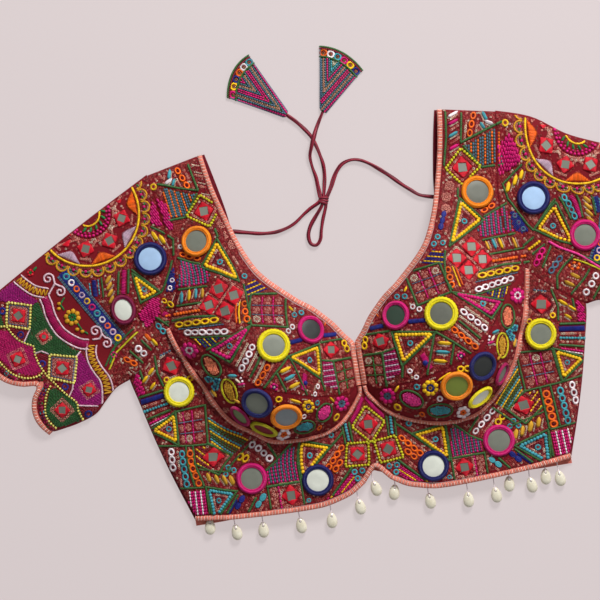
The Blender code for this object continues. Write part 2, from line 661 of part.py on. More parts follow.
def cup_piping(side, sign, tree, collection):
    """Piping that lies in the foot of the cup, over its seam."""
    line = CUP_SEAM[:-1] + [Vector(place) for place in PIPING_ENDS]
    sections = []
    for row in zip(*(moved(line, off) for off, _ in PIPING_ACROSS)):
        under = []
        for p in row:
            rest = resting_height(tree, as_laid(Vector((sign * p.x, p.y, 0))))
            if rest is None:
                rest = front_height(p.x, p.y, side)
            under.append(Vector((p.x, p.y, rest + PIPING_LIFT)))
        over = [p + Vector((0, 0, thick)) for p, (_, thick) in zip(under, PIPING_ACROSS)]
        sections.append(over + under[::-1])
    loft(f"cup_piping_{side}", sections, "binding", collection, sign)


def mirror_disc(number, colour, x, y, radius, tree, collection):
    """A flat round mirror in its raised ring of thread, resting on the cloth below it."""
    reach = 0.7 * radius

    def cloth(dx, dy):
        return resting_height(tree, Vector((x + dx, y + dy)))

    tilt = Vector((cloth(reach, 0) - cloth(-reach, 0), cloth(0, reach) - cloth(0, -reach))) / (2 * reach)
    squash = 1 / math.sqrt(1 + tilt.length_squared)
    uphill = tilt.normalized() if tilt.length > 1e-6 else Vector((1, 0))
    level = Vector((-uphill.y, uphill.x))
    arms = []
    for k in range(2 * MIRROR_SIDES):
        angle = math.pi * k / MIRROR_SIDES
        arms.append((uphill * math.cos(angle) * squash + level * math.sin(angle)) * radius)
    seat = max(cloth(arm.x * share, arm.y * share) - tilt.dot(arm) * share
               for arm in arms for share in MIRROR_SHARES)
    normal = Vector((-tilt.x, -tilt.y, 1.0)) * squash
    sections = []
    for arm in arms[::2]:
        ring = []
        for share, thick in MIRROR_PROFILE:
            foot = Vector((x + arm.x * share, y + arm.y * share, seat + tilt.dot(arm) * share))
            ring.append(foot + normal * (LIFT + thick))
        sections.append(ring)
    loft(f"mirror_{number:02d}_{colour}", sections, colour, collection, cyclic=True, lay=Vector)


def hem_at(hem, x):
    """Height in plan of the hem line at an x."""
    for a, b in zip(hem, hem[1:]):
        if a.x <= x <= b.x:
            return a.y + (b.y - a.y) * (x - a.x) / max(b.x - a.x, 1e-6)
    return hem[-1].y


def cowry(number, hem, x, y, lean, back_line, collection):
    """A cowry drop: its thread from the hem and the shell lying on the surface."""
    side = "left" if x > 0 else "right"
    turn = math.radians(lean)
    down = Vector((math.sin(turn), -math.cos(turn)))
    middle = Vector((x, y))
    top = middle - down * SHELL_LENGTH / 2
    if hem == "front":
        line = FRONT_HEM
        start_z = front_height(abs(x), y + SHELL_LENGTH, side) - THREAD_FROM_FRONT
    else:
        line = moved(back_line, -BINDING_FULL)
        start_z = THREAD_FROM_BACK
    start = Vector((top.x - down.x, hem_at(line, abs(top.x)) - THREAD_TUCK))
    rows = [(start, start_z, THREAD_RADIUS, THREAD_RADIUS),
            (start.lerp(top, 0.6), start_z * 0.4 + THREAD_LIES * 0.6, THREAD_RADIUS, THREAD_RADIUS),
            (top, 1.5 * THREAD_LIES, 1.5 * THREAD_RADIUS, 1.5 * THREAD_RADIUS)]
    for share, width, depth in SHELL_PROFILE:
        rows.append((top + down * SHELL_LENGTH * share, SHELL_DEPTH / 2 + 0.1,
                     SHELL_WIDTH / 2 * width, SHELL_DEPTH / 2 * depth))
    across = Vector((down.y, -down.x))
    sections = []
    for place, z, half_width, half_depth in rows:
        ring = []
        for k in range(SHELL_SIDES):
            angle = 2 * math.pi * (k + 0.5) / SHELL_SIDES
            flat = place + across * half_width * math.cos(angle)
            ring.append(Vector((flat.x, flat.y, z + half_depth * math.sin(angle))))
        sections.append(ring)
    loft(f"cowry_{number:02d}", sections, "shell", collection)


# ---------------------------------------------------------------- the dori
def cord(name, route, collection):
    """A fabric tube as a curve with a round bevel, lying on the surface."""
    points = [Vector((x, y, CORD_DIAMETER / 2 + CORD_REST + hump)) for x, y, hump in route]
    smooth = resample([tuple(p) for p in points], max(8, int(route_length(points) / 8.5)))
    data = bpy.data.curves.new(name, "CURVE")
    data.dimensions = "3D"
    data.bevel_depth = CORD_DIAMETER / 2 * MM
    data.bevel_resolution = 2
    data.use_fill_caps = True
    spline = data.splines.new("POLY")
    spline.points.add(len(smooth) - 1)
    for node, point in zip(spline.points, smooth):
        node.co = (*(point * MM), 1.0)
    data.materials.append(material("cord"))
    collection.objects.link(bpy.data.objects.new(name, data))


def route_length(points):
    """Length of a polyline."""
    return sum((b - a).length for a, b in zip(points, points[1:]))


def knot(collection):
    """The knot that joins the cords: a squashed ball."""
    mesh = bmesh.new()
    bmesh.ops.create_uvsphere(mesh, u_segments=10, v_segments=6, radius=0.5)
    for vert in mesh.verts:
        vert.co = Vector([c * s * MM for c, s in zip(vert.co, KNOT_SIZE)])
        vert.co += Vector((*KNOT_CENTRE, KNOT_SIZE[2] / 2 + 0.1)) * MM
    data = bpy.data.meshes.new("dori_knot")
    mesh.to_mesh(data)
    mesh.free()
    add_object("dori_knot", data, "cord", collection)


def latkan(name, tip, corner_a, corner_b, swell, collection):
    """A fan-shaped cloth pendant, flat below and softly crowned above."""
    tip, corner_a, corner_b = (Vector(p) for p in (tip, corner_a, corner_b))
    middle = (corner_a + corner_b) / 2
    axis = (middle - tip).normalized()
    tip = tip + axis * CORD_GAP
    sections = []
    for share, fullness in LATKAN_STATIONS:
        crown = LATKAN_DEPTH * fullness - LATKAN_EDGE
        over = []
        for k in range(7):
            t = k / 6
            edge = corner_a.lerp(corner_b, t) + axis * swell * 4 * t * (1 - t)
            start = tip + (corner_b - corner_a).normalized() * (t - 0.5) * LATKAN_TIP
            domed = 1 - abs(2 * t - 1) ** 3
            over.append(Vector((*start.lerp(edge, share), LATKAN_EDGE + crown * domed)))
        under = [Vector((p.x, p.y, LATKAN_FLOOR)) for p in reversed(over)]
        sections.append(over + under)
    loft(name, sections, "latkan", collection)


# ---------------------------------------------------------------- the whole blouse
def main():
    """Build every piece in the order that a maker would sew them."""
    for old in list(bpy.data.objects):
        bpy.data.objects.remove(old)
    collection = bpy.data.collections.new("choli_blouse")
    bpy.context.scene.collection.children.link(collection)
    front_band(collection)
    back_lines = {}
    for side, sign in SIDES:
        front_upper(side, sign, collection)
        lower_cup(side, sign, collection)
        back_lines[side] = back(side, sign, collection)
        sleeve(side, sign, collection)
    tree = front_tree(collection)
    front_hem_binding(collection)
    for side, sign in SIDES:
        neck_binding(side, sign, collection)
        cup_piping(side, sign, tree, collection)
        back_hem_binding(side, sign, back_lines[side], collection)
        cuff_binding(side, sign, collection)
    for number, row in enumerate(MIRRORS, 1):
        mirror_disc(number, *row, tree, collection)
    for number, row in enumerate(COWRIES, 1):
        cowry(number, *row, back_lines["left"], collection)
    for name, route in CORD_ROUTES.items():
        cord(name, route, collection)
    knot(collection)
    for name, row in LATKANS.items():
        latkan(name, *row, collection)


main()
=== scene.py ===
"""Looks of a mirror-work choli blouse that lies flat, front up.

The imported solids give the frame: +X is the wearer's left, +Y runs up to the shoulders and +Z is
up from the surface below. Lengths in the tables are in millimetres, on the +X half of the even
plan; ``Lie`` says where the cloth over a plan point really lies. Meshes are in metres.
"""

import json
import logging
import math
from collections.abc import Callable, Iterable, Sequence
from dataclasses import dataclass, field
from enum import Enum

import bmesh
import bpy
import numpy as np
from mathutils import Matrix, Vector

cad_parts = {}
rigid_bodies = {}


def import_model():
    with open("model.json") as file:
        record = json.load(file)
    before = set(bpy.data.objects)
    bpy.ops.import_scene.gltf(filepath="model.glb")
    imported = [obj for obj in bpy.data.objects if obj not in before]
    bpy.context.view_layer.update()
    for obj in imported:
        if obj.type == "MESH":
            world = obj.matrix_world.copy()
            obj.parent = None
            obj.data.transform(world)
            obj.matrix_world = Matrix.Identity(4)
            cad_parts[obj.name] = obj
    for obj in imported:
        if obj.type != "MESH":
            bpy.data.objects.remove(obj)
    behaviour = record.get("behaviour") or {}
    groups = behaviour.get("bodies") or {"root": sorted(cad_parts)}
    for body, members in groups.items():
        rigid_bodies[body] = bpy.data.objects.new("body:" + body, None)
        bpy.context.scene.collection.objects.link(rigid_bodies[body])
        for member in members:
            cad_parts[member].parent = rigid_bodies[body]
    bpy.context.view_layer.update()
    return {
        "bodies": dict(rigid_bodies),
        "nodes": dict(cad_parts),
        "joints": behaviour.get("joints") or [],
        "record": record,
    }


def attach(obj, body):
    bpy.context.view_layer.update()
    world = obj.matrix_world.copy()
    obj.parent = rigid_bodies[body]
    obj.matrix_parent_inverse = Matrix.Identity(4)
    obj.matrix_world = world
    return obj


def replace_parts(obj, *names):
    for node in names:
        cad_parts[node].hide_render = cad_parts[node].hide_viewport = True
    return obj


LOG = logging.getLogger("choli")
MM = 0.001
Array = np.ndarray
Colour = tuple[float, float, float]

# ------------------------------------------------------------------ cut of the cloth, mm
# neck edge and armhole, from the shoulder down to the corner over the bust seam
SHOULDER_ROWS = (  # (neck_x, neck_y, armhole_x, armhole_y)
    (123, 262, 182, 250), (117, 227, 176, 215), (107, 190, 171, 180), (98, 162, 169, 150),
    (85, 135, 172, 122), (68, 116, 179, 104), (48, 98, 186, 91))
# lines that run down the front across one cup, from that corner to the centre front
CUP_ROWS = (  # (neck_x, neck_y, bust_x, bust_y, seam_x, seam_y, hem_x, hem_y)
    (48, 98, 186, 91, 186, 91, 180, -109.7), (36, 89, 166, 77, 177, 56, 171, -110.5),
    (26, 79, 152, 58, 166, 24, 160, -112), (17, 69, 139, 40, 154, -6, 147, -113),
    (8.5, 56.5, 126, 25, 137, -28, 130, -114), (0.3, 46, 107, 14, 115, -45, 110, -115),
    (0.3, 37, 85, 6, 88, -51, 85, -115.8), (0.3, 28, 60, 0, 60, -47, 60, -115.5),
    (0.3, 19, 40, -3, 38, -39, 42, -112), (0.3, 10, 26, -4.5, 22, -29, 27, -107),
    (0.3, 2, 14, -5, 10, -16, 13, -98))
PIPING_ENDS = ((4.5, -8.0), (3.2, -2.8), (2.7, 0.9))    # where each cup's piping stops at the centre
GUSSETS = (  # (upper edge, lower edge) of the tips that end a lower cup: at the underarm, at the centre
    (((174.5, 84), (178, 88), (187, 93)), ((180.5, 72), (183.5, 78), (187.6, 92))),
    (((0.3, 2.4), (6.5, 2.4), (16, -4.5)), ((0.3, -4), (5, -10), (12, -19))))
CENTRE_ROWS = (  # (seam_x, seam_y, hem_x, hem_y)
    (10, -16, 13, -98), (4, -7, 6, -90), (0, 0, 0, -83))
UNDERARM_ROWS = (  # (armhole_x, armhole_y, hem_x, hem_y)
    (186, 91, 180, -109.7), (205, 72, 186, -109), (222, 57, 192, -108.5), (238, 46, 196, -108))
BACK_NECK = ((120.5, 262), (114, 232), (108, 200), (104.5, 170), (99, 142), (91, 115), (80, 92),
             (64, 70), (42, 51), (18, 40), (-12, 36))
CENTRE_BACK_HEM = -77.0
SIDE_HEM = (196, -108)
# how far the cup reaches from its apex, by direction, and how round that slope is
CUP_REACH = (  # (direction in degrees, reach, roundness)
    (0, 61, 0.80), (22, 78, 1.00), (40, 106, 1.30), (65, 160, 1.80), (90, 200, 1.80),
    (120, 150, 1.60), (150, 117, 1.25), (180, 107, 1.00), (195, 106, 0.90), (212, 99, 0.80),
    (237, 85, 0.75), (263, 75, 0.75), (301, 62, 0.75), (330, 58, 0.75), (360, 61, 0.80))
# upper fold and under seam of each sleeve, shoulder to cuff
SLEEVE_FOLD = {
    "left": ((182, 250), (218, 238), (246, 221), (284, 206), (318, 190), (356, 164), (395, 140)),
    "right": ((182, 250), (236, 222), (295, 190), (351, 158), (393, 136))}
SLEEVE_SEAM = {
    "left": ((238, 46), (245, 44), (257, 49), (275, 37), (300, 21), (328, 8)),
    "right": ((238, 46), (246, 45), (259, 34), (272, 20), (278, 15), (326, 4.4))}
CUFF_CUSPS = (  # (x, y, bulge) of the scallop that starts at each cusp, fold first
    (393, 136, 5), (376, 114, 20), (329, 55, 10))
# soft troughs (depth below zero) and ridges pressed into the laid cloth
CREASES = (  # (side, x0, y0, x1, y1, depth, width)
    ("left", 186, 247, 177, 172, -3.2, 7), ("left", 198, 236, 194, 190, 2.0, 9),
    ("right", 222, 92, 193, 106, -4.5, 9), ("right", 232, 78, 205, 84, 2.4, 9),
    ("right", 262, 60, 224, 112, -2.6, 10), ("left", 250, 72, 212, 104, -2.8, 10),
    ("left", 232, 58, 205, -20, -1.8, 10), ("right", 226, 50, 200, -30, -1.8, 10))


# ------------------------------------------------------------------ plane curves
def smoothstep(value: Array | float) -> Array:
    """Return 0 below 0, 1 above 1 and a smooth rise between."""
    value = np.clip(value, 0.0, 1.0)
    return value * value * (3 - 2 * value)


def plateau(value: Array, edges: tuple[float, float, float, float]) -> Array:
    """Return 0 before the first edge and past the last, 1 between the middle two."""
    start, full, fades, end = edges
    return smoothstep((value - start) / (full - start)) * (1 - smoothstep((value - fades) / (end - fades)))


def read_table(rows: Sequence[Sequence[float]], per_row: int) -> Array:
    """Return a table read per_row times between each two of its rows, by Catmull-Rom."""
    table = np.asarray(rows, float)
    at = np.arange((len(table) - 1) * per_row + 1) / per_row
    first = np.clip(at.astype(int), 0, len(table) - 2)
    t = (at - first)[:, None]
    before, here, after, beyond = (table[np.clip(first + k, 0, len(table) - 1)] for k in (-1, 0, 1, 2))
    return 0.5 * (2 * here + (after - before) * t + (2 * before - 5 * here + 4 * after - beyond) * t * t
                  + (3 * here - before - 3 * after + beyond) * t ** 3)


def unit(vectors: Array) -> Array:
    """Return each vector at length 1."""
    return vectors / np.linalg.norm(vectors, axis=-1, keepdims=True)


def aim(angle: Array | float) -> Array:
    """Return the plan direction at each angle, in radians."""
    return np.stack((np.cos(angle), np.sin(angle)), axis=-1)


def turns(count: int) -> Array:
    """Return evenly spaced angles round a circle, in radians."""
    return np.arange(count) * 2 * math.pi / count


def looped(outline: Array) -> Array:
    """Return an outline that ends where it starts."""
    return np.vstack((outline, outline[:1]))


def walked(points: Array) -> Array:
    """Return the distance walked along a polyline to each of its points."""
    steps = np.linalg.norm(np.diff(points, axis=0), axis=1)
    return np.concatenate(([0.0], np.cumsum(steps)))


def resample(points: Array, count: int) -> Array:
    """Return count points at even distances along a polyline."""
    points = np.asarray(points, float)
    along = walked(points)
    goals = np.linspace(0.0, along[-1], count)
    return np.stack([np.interp(goals, along, column) for column in points.T], axis=1)


def smooth_line(points: Sequence[Sequence[float]], count: int) -> Array:
    """Return count points at even distances along a smooth curve through the points."""
    return resample(read_table(points, 12), count)


def moved(points: Array, distance: float) -> Array:
    """Return the polyline moved to the left of its run, with mitred corners."""
    runs = np.diff(points, axis=0)
    lefts = unit(np.stack((-runs[:, 1], runs[:, 0]), axis=1))
    left_a = np.vstack((lefts[:1], lefts))
    left_b = np.vstack((lefts, lefts[-1:]))
    mitre = unit(left_a + left_b)
    reach = np.maximum((mitre * left_a).sum(1), 0.55)
    return points + mitre * (distance / reach)[:, None]


def distance_to(points: Array, line: Array) -> Array:
    """Return each point's shortest distance to a polyline."""
    start, along = line[:-1], np.diff(line, axis=0)
    away = points[:, None, :] - start[None]
    t = np.clip((away * along).sum(2) / np.maximum((along ** 2).sum(1), 1e-12), 0, 1)
    return np.linalg.norm(away - along * t[..., None], axis=2).min(1)


# ------------------------------------------------------------------ where the cloth lies
class Half(Enum):
    """The two halves of the blouse, by the wearer's side."""

    LEFT = "left"
    RIGHT = "right"

    @property
    def sign(self) -> int:
        """Which way this half's plan x runs in the frame."""
        return 1 if self is Half.LEFT else -1


@dataclass(frozen=True)
class Lie:
    """How the laid blouse rises from its even plan, and where it has drifted."""

    closed_edge_top: float = 3.7
    front_top: float = 11.0
    roll: float = 8.0
    cup_rise: float = 42.0
    cup_apex: tuple[float, float] = (105.0, 25.0)
    rim_softness: float = 0.02
    side_seam_bow: float = 3.3
    side_drift: float = 4.5
    shoulder_lift: float = 6.0
    cup_push: float = 14.0
    cup_push_x: tuple[float, float, float, float] = (20.0, 95.0, 135.0, 190.0)
    cup_push_y: tuple[float, float, float, float] = (-75.0, -25.0, 30.0, 100.0)
    cup_raise: float = 8.0
    cup_raise_x: tuple[float, float, float, float] = (25.0, 90.0, 120.0, 160.0)
    cup_raise_y: tuple[float, float, float, float] = (-105.0, -55.0, -40.0, 5.0)
    front_wall: float = 1.8
    back_wall: float = 1.6
    steepest_wall: float = 3.0
    pucker: float = 0.22

    def side_seam(self, count: int) -> Array:
        """Return points down the side seam, which bows out a little."""
        share = np.linspace(0, 1, count)
        line = np.outer(1 - share, UNDERARM_ROWS[-1][:2]) + np.outer(share, SIDE_HEM)
        line[:, 0] += self.side_seam_bow * np.sin(math.pi * share)
        return line

    def closed_edges(self, half: Half) -> tuple[Array, Array]:
        """Return the two lines where this half's front and back are one or are sewn together."""
        upper = np.vstack((SHOULDER_ROWS[0][:2], smooth_line(SLEEVE_FOLD[half.value], 12)))
        seam = smooth_line(SLEEVE_SEAM[half.value], 10)[::-1]
        return upper, np.vstack((seam, self.side_seam(8)[1:]))

    def cup_height(self, plan: Array) -> Array:
        """Return how far the cup lifts the front at plan points."""
        away = plan - np.array(self.cup_apex)
        direction = np.degrees(np.arctan2(away[:, 1], away[:, 0])) % 360
        table = np.array(CUP_REACH)
        k = np.clip(np.searchsorted(table[:, 0], direction, side="right") - 1, 0, len(table) - 2)
        t = smoothstep((direction - table[k, 0]) / (table[k + 1, 0] - table[k, 0]))
        reach, roundness = (table[k, c] * (1 - t) + table[k + 1, c] * t for c in (1, 2))
        inside = np.maximum(0.0, 1 - (np.linalg.norm(away, axis=1) / reach) ** 2)
        rim = self.rim_softness ** roundness
        return self.cup_rise * ((inside + self.rim_softness) ** roundness - rim) / (1 - rim)

    def crease_height(self, plan: Array, half: Half) -> Array:
        """Return the troughs and ridges at plan points, each fading at its two ends."""
        total = np.zeros(len(plan))
        for where, x0, y0, x1, y1, depth, width in CREASES:
            if where != half.value:
                continue
            start, run = np.array((x0, y0)), np.array((x1 - x0, y1 - y0))
            t = (plan - start) @ run / (run @ run)
            off = np.linalg.norm(plan - start - t[:, None] * run, axis=1)
            total += depth * smoothstep(t / 0.3) * smoothstep((1 - t) / 0.3) * np.exp(-(off / width) ** 2)
        return total

    def height(self, plan: Array, half: Half) -> Array:
        """Return the height of the front's outer face over plan points."""
        plan = np.asarray(plan, float)
        away = np.minimum(*(distance_to(plan, line) for line in self.closed_edges(half)))
        risen = 1 - np.exp(-away / self.roll)
        x, y = plan.T
        phase = 0.0 if half is Half.LEFT else 1.7
        quilted = (np.sin(0.41 * x + 0.13 * y + phase) * np.sin(0.37 * y - 0.11 * x + 2 * phase)
                   + 0.6 * np.sin(0.83 * x - 0.31 * y + phase) * np.sin(0.71 * y + 0.29 * x))
        flat = self.front_top - self.closed_edge_top + self.crease_height(plan, half)
        return self.closed_edge_top + (flat + self.pucker * quilted) * risen + self.cup_height(plan)

    def slopes(self, plan: Array, half: Half, step: float) -> tuple[Array, Array]:
        """Return the front's slope along x and along y, read over a step each way, mm."""
        slope_x, slope_y = ((self.height(plan + way, half) - self.height(plan - way, half)) / (2 * step)
                            for way in ((step, 0), (0, step)))
        return slope_x, slope_y

    def slope_factor(self, plan: Array, half: Half) -> Array:
        """Return how much deeper an upright cut through the wall is than the wall is thick."""
        slope_x, slope_y = self.slopes(plan, half, 0.5)
        return np.minimum(self.steepest_wall, np.sqrt(1 + slope_x ** 2 + slope_y ** 2))

    def settled(self, points: Array) -> Array:
        """Return points of the even plan where the cloth really lies: drifted, left shoulder up."""
        x, y = points[:, 0], points[:, 1]
        out = np.abs(x)
        at_sides = smoothstep((out - 140) / 60) * (1 - smoothstep((out - 232) / 60))
        on_shoulder = smoothstep((x - 80) / 40) * (1 - smoothstep((x - 225) / 60))
        pushed = plateau(-x, self.cup_push_x) * plateau(y, self.cup_push_y)
        placed = points.copy()
        placed[:, 0] += self.side_drift * at_sides * smoothstep((90 - y) / 60) + self.cup_push * pushed
        placed[:, 1] += self.shoulder_lift * on_shoulder * smoothstep((y - 190) / 60)
        placed[:, 1] += self.cup_raise * plateau(-x, self.cup_raise_x) * plateau(y, self.cup_raise_y)
        return placed

    def laid(self, grid: Array, height: Array | float, half: Half) -> Array:
        """Return a grid of plan points at given heights, in the frame, where the cloth really lies."""
        points = np.concatenate((grid, np.broadcast_to(height, grid.shape[:2])[..., None]),
                                axis=2).reshape(-1, 3)
        points[:, 0] *= half.sign
        return self.settled(points).reshape(*grid.shape[:2], 3)

    def wall(self, grid: Array, half: Half, swell: Array | float = 0.0) -> tuple[Array, Array]:
        """Return the outer and the inner face of front cloth over a grid of plan points.

        Args:
            grid: Plan points, in rows.
            half: Which half they are on.
            swell: How far the outer face stands proud, by place in the grid.

        Returns:
            Two grids of points in the frame, in millimetres.
        """
        plan = grid.reshape(-1, 2)
        shape = grid.shape[:2]
        z, steep = self.height(plan, half).reshape(shape), self.slope_factor(plan, half).reshape(shape)
        return self.laid(grid, z + swell * steep, half), self.laid(grid, z - self.front_wall * steep, half)

    def on_front(self, plan: Array, half: Half, lift: Array | float = 0.0) -> Array:
        """Place plan points on the front's outer face, or off it.

        Args:
            plan: Points of the +X half plan, mm.
            half: Which half they are on.
            lift: How far off the face each one is, along the face's normal.

        Returns:
            Points in the frame, in millimetres.
        """
        plan = np.asarray(plan, float)
        slope_x, slope_y = self.slopes(plan, half, 0.4)
        normal = unit(np.stack((-slope_x, -slope_y, np.ones(len(plan))), axis=1))
        points = np.column_stack((plan, self.height(plan, half))) + normal * np.reshape(lift, (-1, 1))
        points[:, 0] *= half.sign
        return self.settled(points)


# ------------------------------------------------------------------ dyes and stitches
def dyed(red: int, green: int, blue: int) -> Colour:
    """Return a dye's linear colour from the numbers of a colour card, 0 to 255."""
    shares = (part / 255 for part in (red, green, blue))
    return tuple(((c + 0.055) / 1.055) ** 2.4 if c > 0.0393 else c / 12.92 for c in shares)


# Some of these colour the mirrors' glass as painted reflections: grey, steel, pale, sky, dark, smoke, jet,
# olive and moss, and slate and maroon on a few.
CARD = {  # the dyes, as a colour card gives them
    "green": (60, 102, 50), "leaf": (35, 120, 55), "yellow": (250, 196, 20), "gold": (214, 158, 40),
    "orange": (246, 104, 14), "red": (216, 14, 40), "magenta": (212, 8, 112),
    "pink": (244, 60, 150), "teal": (70, 160, 172), "slate": (78, 108, 128), "navy": (26, 34, 122),
    "white": (246, 230, 232), "cream": (246, 226, 196), "peach": (248, 138, 100),
    "lilac": (206, 172, 190), "lime": (206, 196, 30), "salmon": (250, 152, 128),
    "maroon": (122, 16, 34), "blush": (192, 72, 66), "ground": (132, 10, 26),
    "grey": (124, 127, 114), "steel": (140, 148, 150), "pale": (228, 230, 216),
    "sky": (172, 202, 236), "dark": (58, 76, 62), "moss": (112, 128, 84), "amber": (255, 140, 8),
    "lemon": (246, 226, 10), "brass": (140, 52, 40), "petal": (240, 158, 138), "ink": (14, 18, 92),
    "wine": (128, 6, 62), "rose": (176, 8, 88), "plum": (150, 6, 104), "forest": (40, 84, 40),
    "straw": (232, 220, 112), "blanch": (232, 196, 206), "ochre": (214, 152, 22),
    "olive": (132, 146, 58), "shell": (252, 204, 188), "jet": (44, 46, 44), "smoke": (106, 107, 96)}
DYES: dict[str, Colour] = {name: dyed(*numbers) for name, numbers in CARD.items()}


class Shape(Enum):
    """What one made stitch, sequin or mirror looks like before it is stretched to size."""

    SATIN = 0
    KNOT = 1
    RING = 2
    SEQUIN = 3
    GLASS = 4
    FILLING = 5


@dataclass
class Stitches:
    """Everything that is sewn on to one half, in plan places, row by row."""

    rows: list[Array] = field(default_factory=list)
    lines: list[Array] = field(default_factory=list)    # what the ground's rows of sequins follow

    def add(self, shape: Shape, places: Array, angles: Array | float, size: Sequence[float],
            dye: str, lift: float = 0.2) -> None:
        """Sew one shape at many places.

        Args:
            shape: The shape.
            places: Plan points, mm.
            angles: The direction of each one's length in the plan, in radians.
            size: Its length, width and height, mm.
            dye: A name from DYES.
            lift: How far its middle lies off the cloth, mm.
        """
        places = np.reshape(np.asarray(places, float), (-1, 2))
        if not len(places):
            return
        count = len(places)
        sizes = np.broadcast_to(size, (count, 3))
        angles = np.broadcast_to(angles, count)
        self.rows.append(np.column_stack((
            places, angles, sizes, np.full(count, lift), np.full(count, shape.value),
            np.broadcast_to(DYES[dye], (count, 3)))))

    def table(self) -> Array:
        """Return all rows as one table: x, y, angle, size (3), lift, shape, colour (3)."""
        return np.vstack(self.rows)


SHORTEST_STRETCH = 0.8


def inside(points: Array, outline: Array, margin: float = 0.0) -> Array:
    """Return which points lie inside a closed outline, at least a margin from its edge."""
    ring = looped(outline)
    a, b = ring[:-1], ring[1:]
    x, y = points[:, :1], points[:, 1:]
    spans = (a[:, 1] > y) != (b[:, 1] > y)
    rise = np.where(b[:, 1] == a[:, 1], 1e-9, b[:, 1] - a[:, 1])
    crossing = a[:, 0] + (y - a[:, 1]) * (b[:, 0] - a[:, 0]) / rise
    within = (spans & (x < crossing)).sum(1) % 2 == 1
    if margin > 0:
        within &= distance_to(points, ring) >= margin
    return within


def turned(points: Array, angle: float) -> Array:
    """Return plan points turned about the origin."""
    c, s = math.cos(angle), math.sin(angle)
    return np.asarray(points, float) @ np.array(((c, s), (-s, c)))


def hatch(outline: Array, angle: float, pitch: float, margin: float) -> list[tuple[int, Array, Array]]:
    """Cut an outline into parallel stretches.

    Args:
        outline: The closed outline, mm.
        angle: The direction of the stretches, in radians.
        pitch: How far apart they are, mm.
        margin: How far each stretch stops short of the outline, mm.

    Returns:
        For each stretch its level's number, start and end.
    """
    flat = turned(outline, -angle)
    low, high = flat[:, 1].min(), flat[:, 1].max()
    ring = looped(flat)
    found = []
    for number, level in enumerate(np.arange(low + margin, high - margin * 0.5, pitch)):
        cuts = sorted(a[0] + (level - a[1]) * (b[0] - a[0]) / (b[1] - a[1])
                      for a, b in zip(ring, ring[1:]) if (a[1] > level) != (b[1] > level))
        for left, right in zip(cuts[::2], cuts[1::2]):
            if right - left > 2 * margin + SHORTEST_STRETCH:
                ends = turned(((left + margin, level), (right - margin, level)), angle)
                found.append((number, ends[0], ends[1]))
    return found


def along(line: Array, pitch: float, offset: float = 0.5) -> tuple[Array, Array]:
    """Return places at a pitch along a polyline, and the direction at each, in radians."""
    line = np.asarray(line, float)
    steps = walked(line)
    length = steps[-1]
    count = max(1, int(round(length / pitch)))
    goals = (np.arange(count) + offset) * length / count
    goals = goals[goals <= length]
    places = np.stack([np.interp(goals, steps, column) for column in line.T], axis=1)
    k = np.clip(np.searchsorted(steps, goals, side="right") - 1, 0, len(line) - 2)
    run = line[k + 1] - line[k]
    return places, np.arctan2(run[:, 1], run[:, 0])


def shrunk(outline: Array, distance: float) -> Array:
    """Return a closed outline moved inwards by a distance."""
    x, y = outline.T
    counter_clockwise = np.sum(x * np.roll(y, -1) - np.roll(x, -1) * y) > 0
    ring = outline if counter_clockwise else outline[::-1]
    return moved(np.vstack((ring[-1:], ring, ring[:2])), distance)[1:-2]


def ruled(outline: Array, pitch: float, row_pitch: float) -> Array:
    """Return a grid of points over an outline's box, in rows."""
    spans = zip(outline.min(0), outline.max(0), (pitch, row_pitch))
    return np.stack(np.meshgrid(*(np.arange(low, high, step) for low, high, step in spans)), axis=-1)


class Cover:
    """Which small squares of a panel's plan are sewn over."""

    def __init__(self, outline: Array, cell: float = 0.4) -> None:
        """Rule squares over an outline and its surroundings."""
        self.cell = cell
        self.low = outline.min(0) - 8.0
        self.sewn = np.zeros(np.ceil((outline.max(0) + 8.0 - self.low) / cell).astype(int), bool)

    def mark(self, rows: Array, fullness: float = 0.46) -> None:
        """Mark the squares under every stitch of a table."""
        u, v = (g.ravel() for g in np.meshgrid(np.linspace(-1, 1, 21), np.linspace(-1, 1, 9)))
        u, v = u[u * u + v * v <= 1], v[u * u + v * v <= 1]
        for row in rows:
            c, s = math.cos(row[2]), math.sin(row[2])
            a, b = row[3] * fullness * u, row[4] * fullness * v
            self.sewn[self.cells(row[:2] + np.column_stack((a * c - b * s, a * s + b * c)))] = True

    def cells(self, points: Array) -> tuple[Array, Array]:
        """Return the columns and rows of the squares that hold some points."""
        at = np.clip(((points - self.low) / self.cell).astype(int), 0, np.array(self.sewn.shape) - 1)
        return at[:, 0], at[:, 1]

    def take(self, places: Array, reach: float, most: float) -> Array:
        """Take the places that are still free, in turn, and return which they are.

        Args:
            places: Where something round would go.
            reach: Its radius.
            most: The greatest share of it that may lie on what is sewn already.

        Returns:
            True for each place that was taken.
        """
        steps = np.arange(-reach, reach + self.cell / 2, self.cell)
        disc = np.stack(np.meshgrid(steps, steps), axis=-1).reshape(-1, 2)
        disc = disc[np.linalg.norm(disc, axis=1) <= reach]
        taken = np.zeros(len(places), bool)
        for number, place in enumerate(places):
            under = self.cells(place + disc)
            if self.sewn[under].mean() <= most:
                self.sewn[under] = True
                taken[number] = True
        return taken


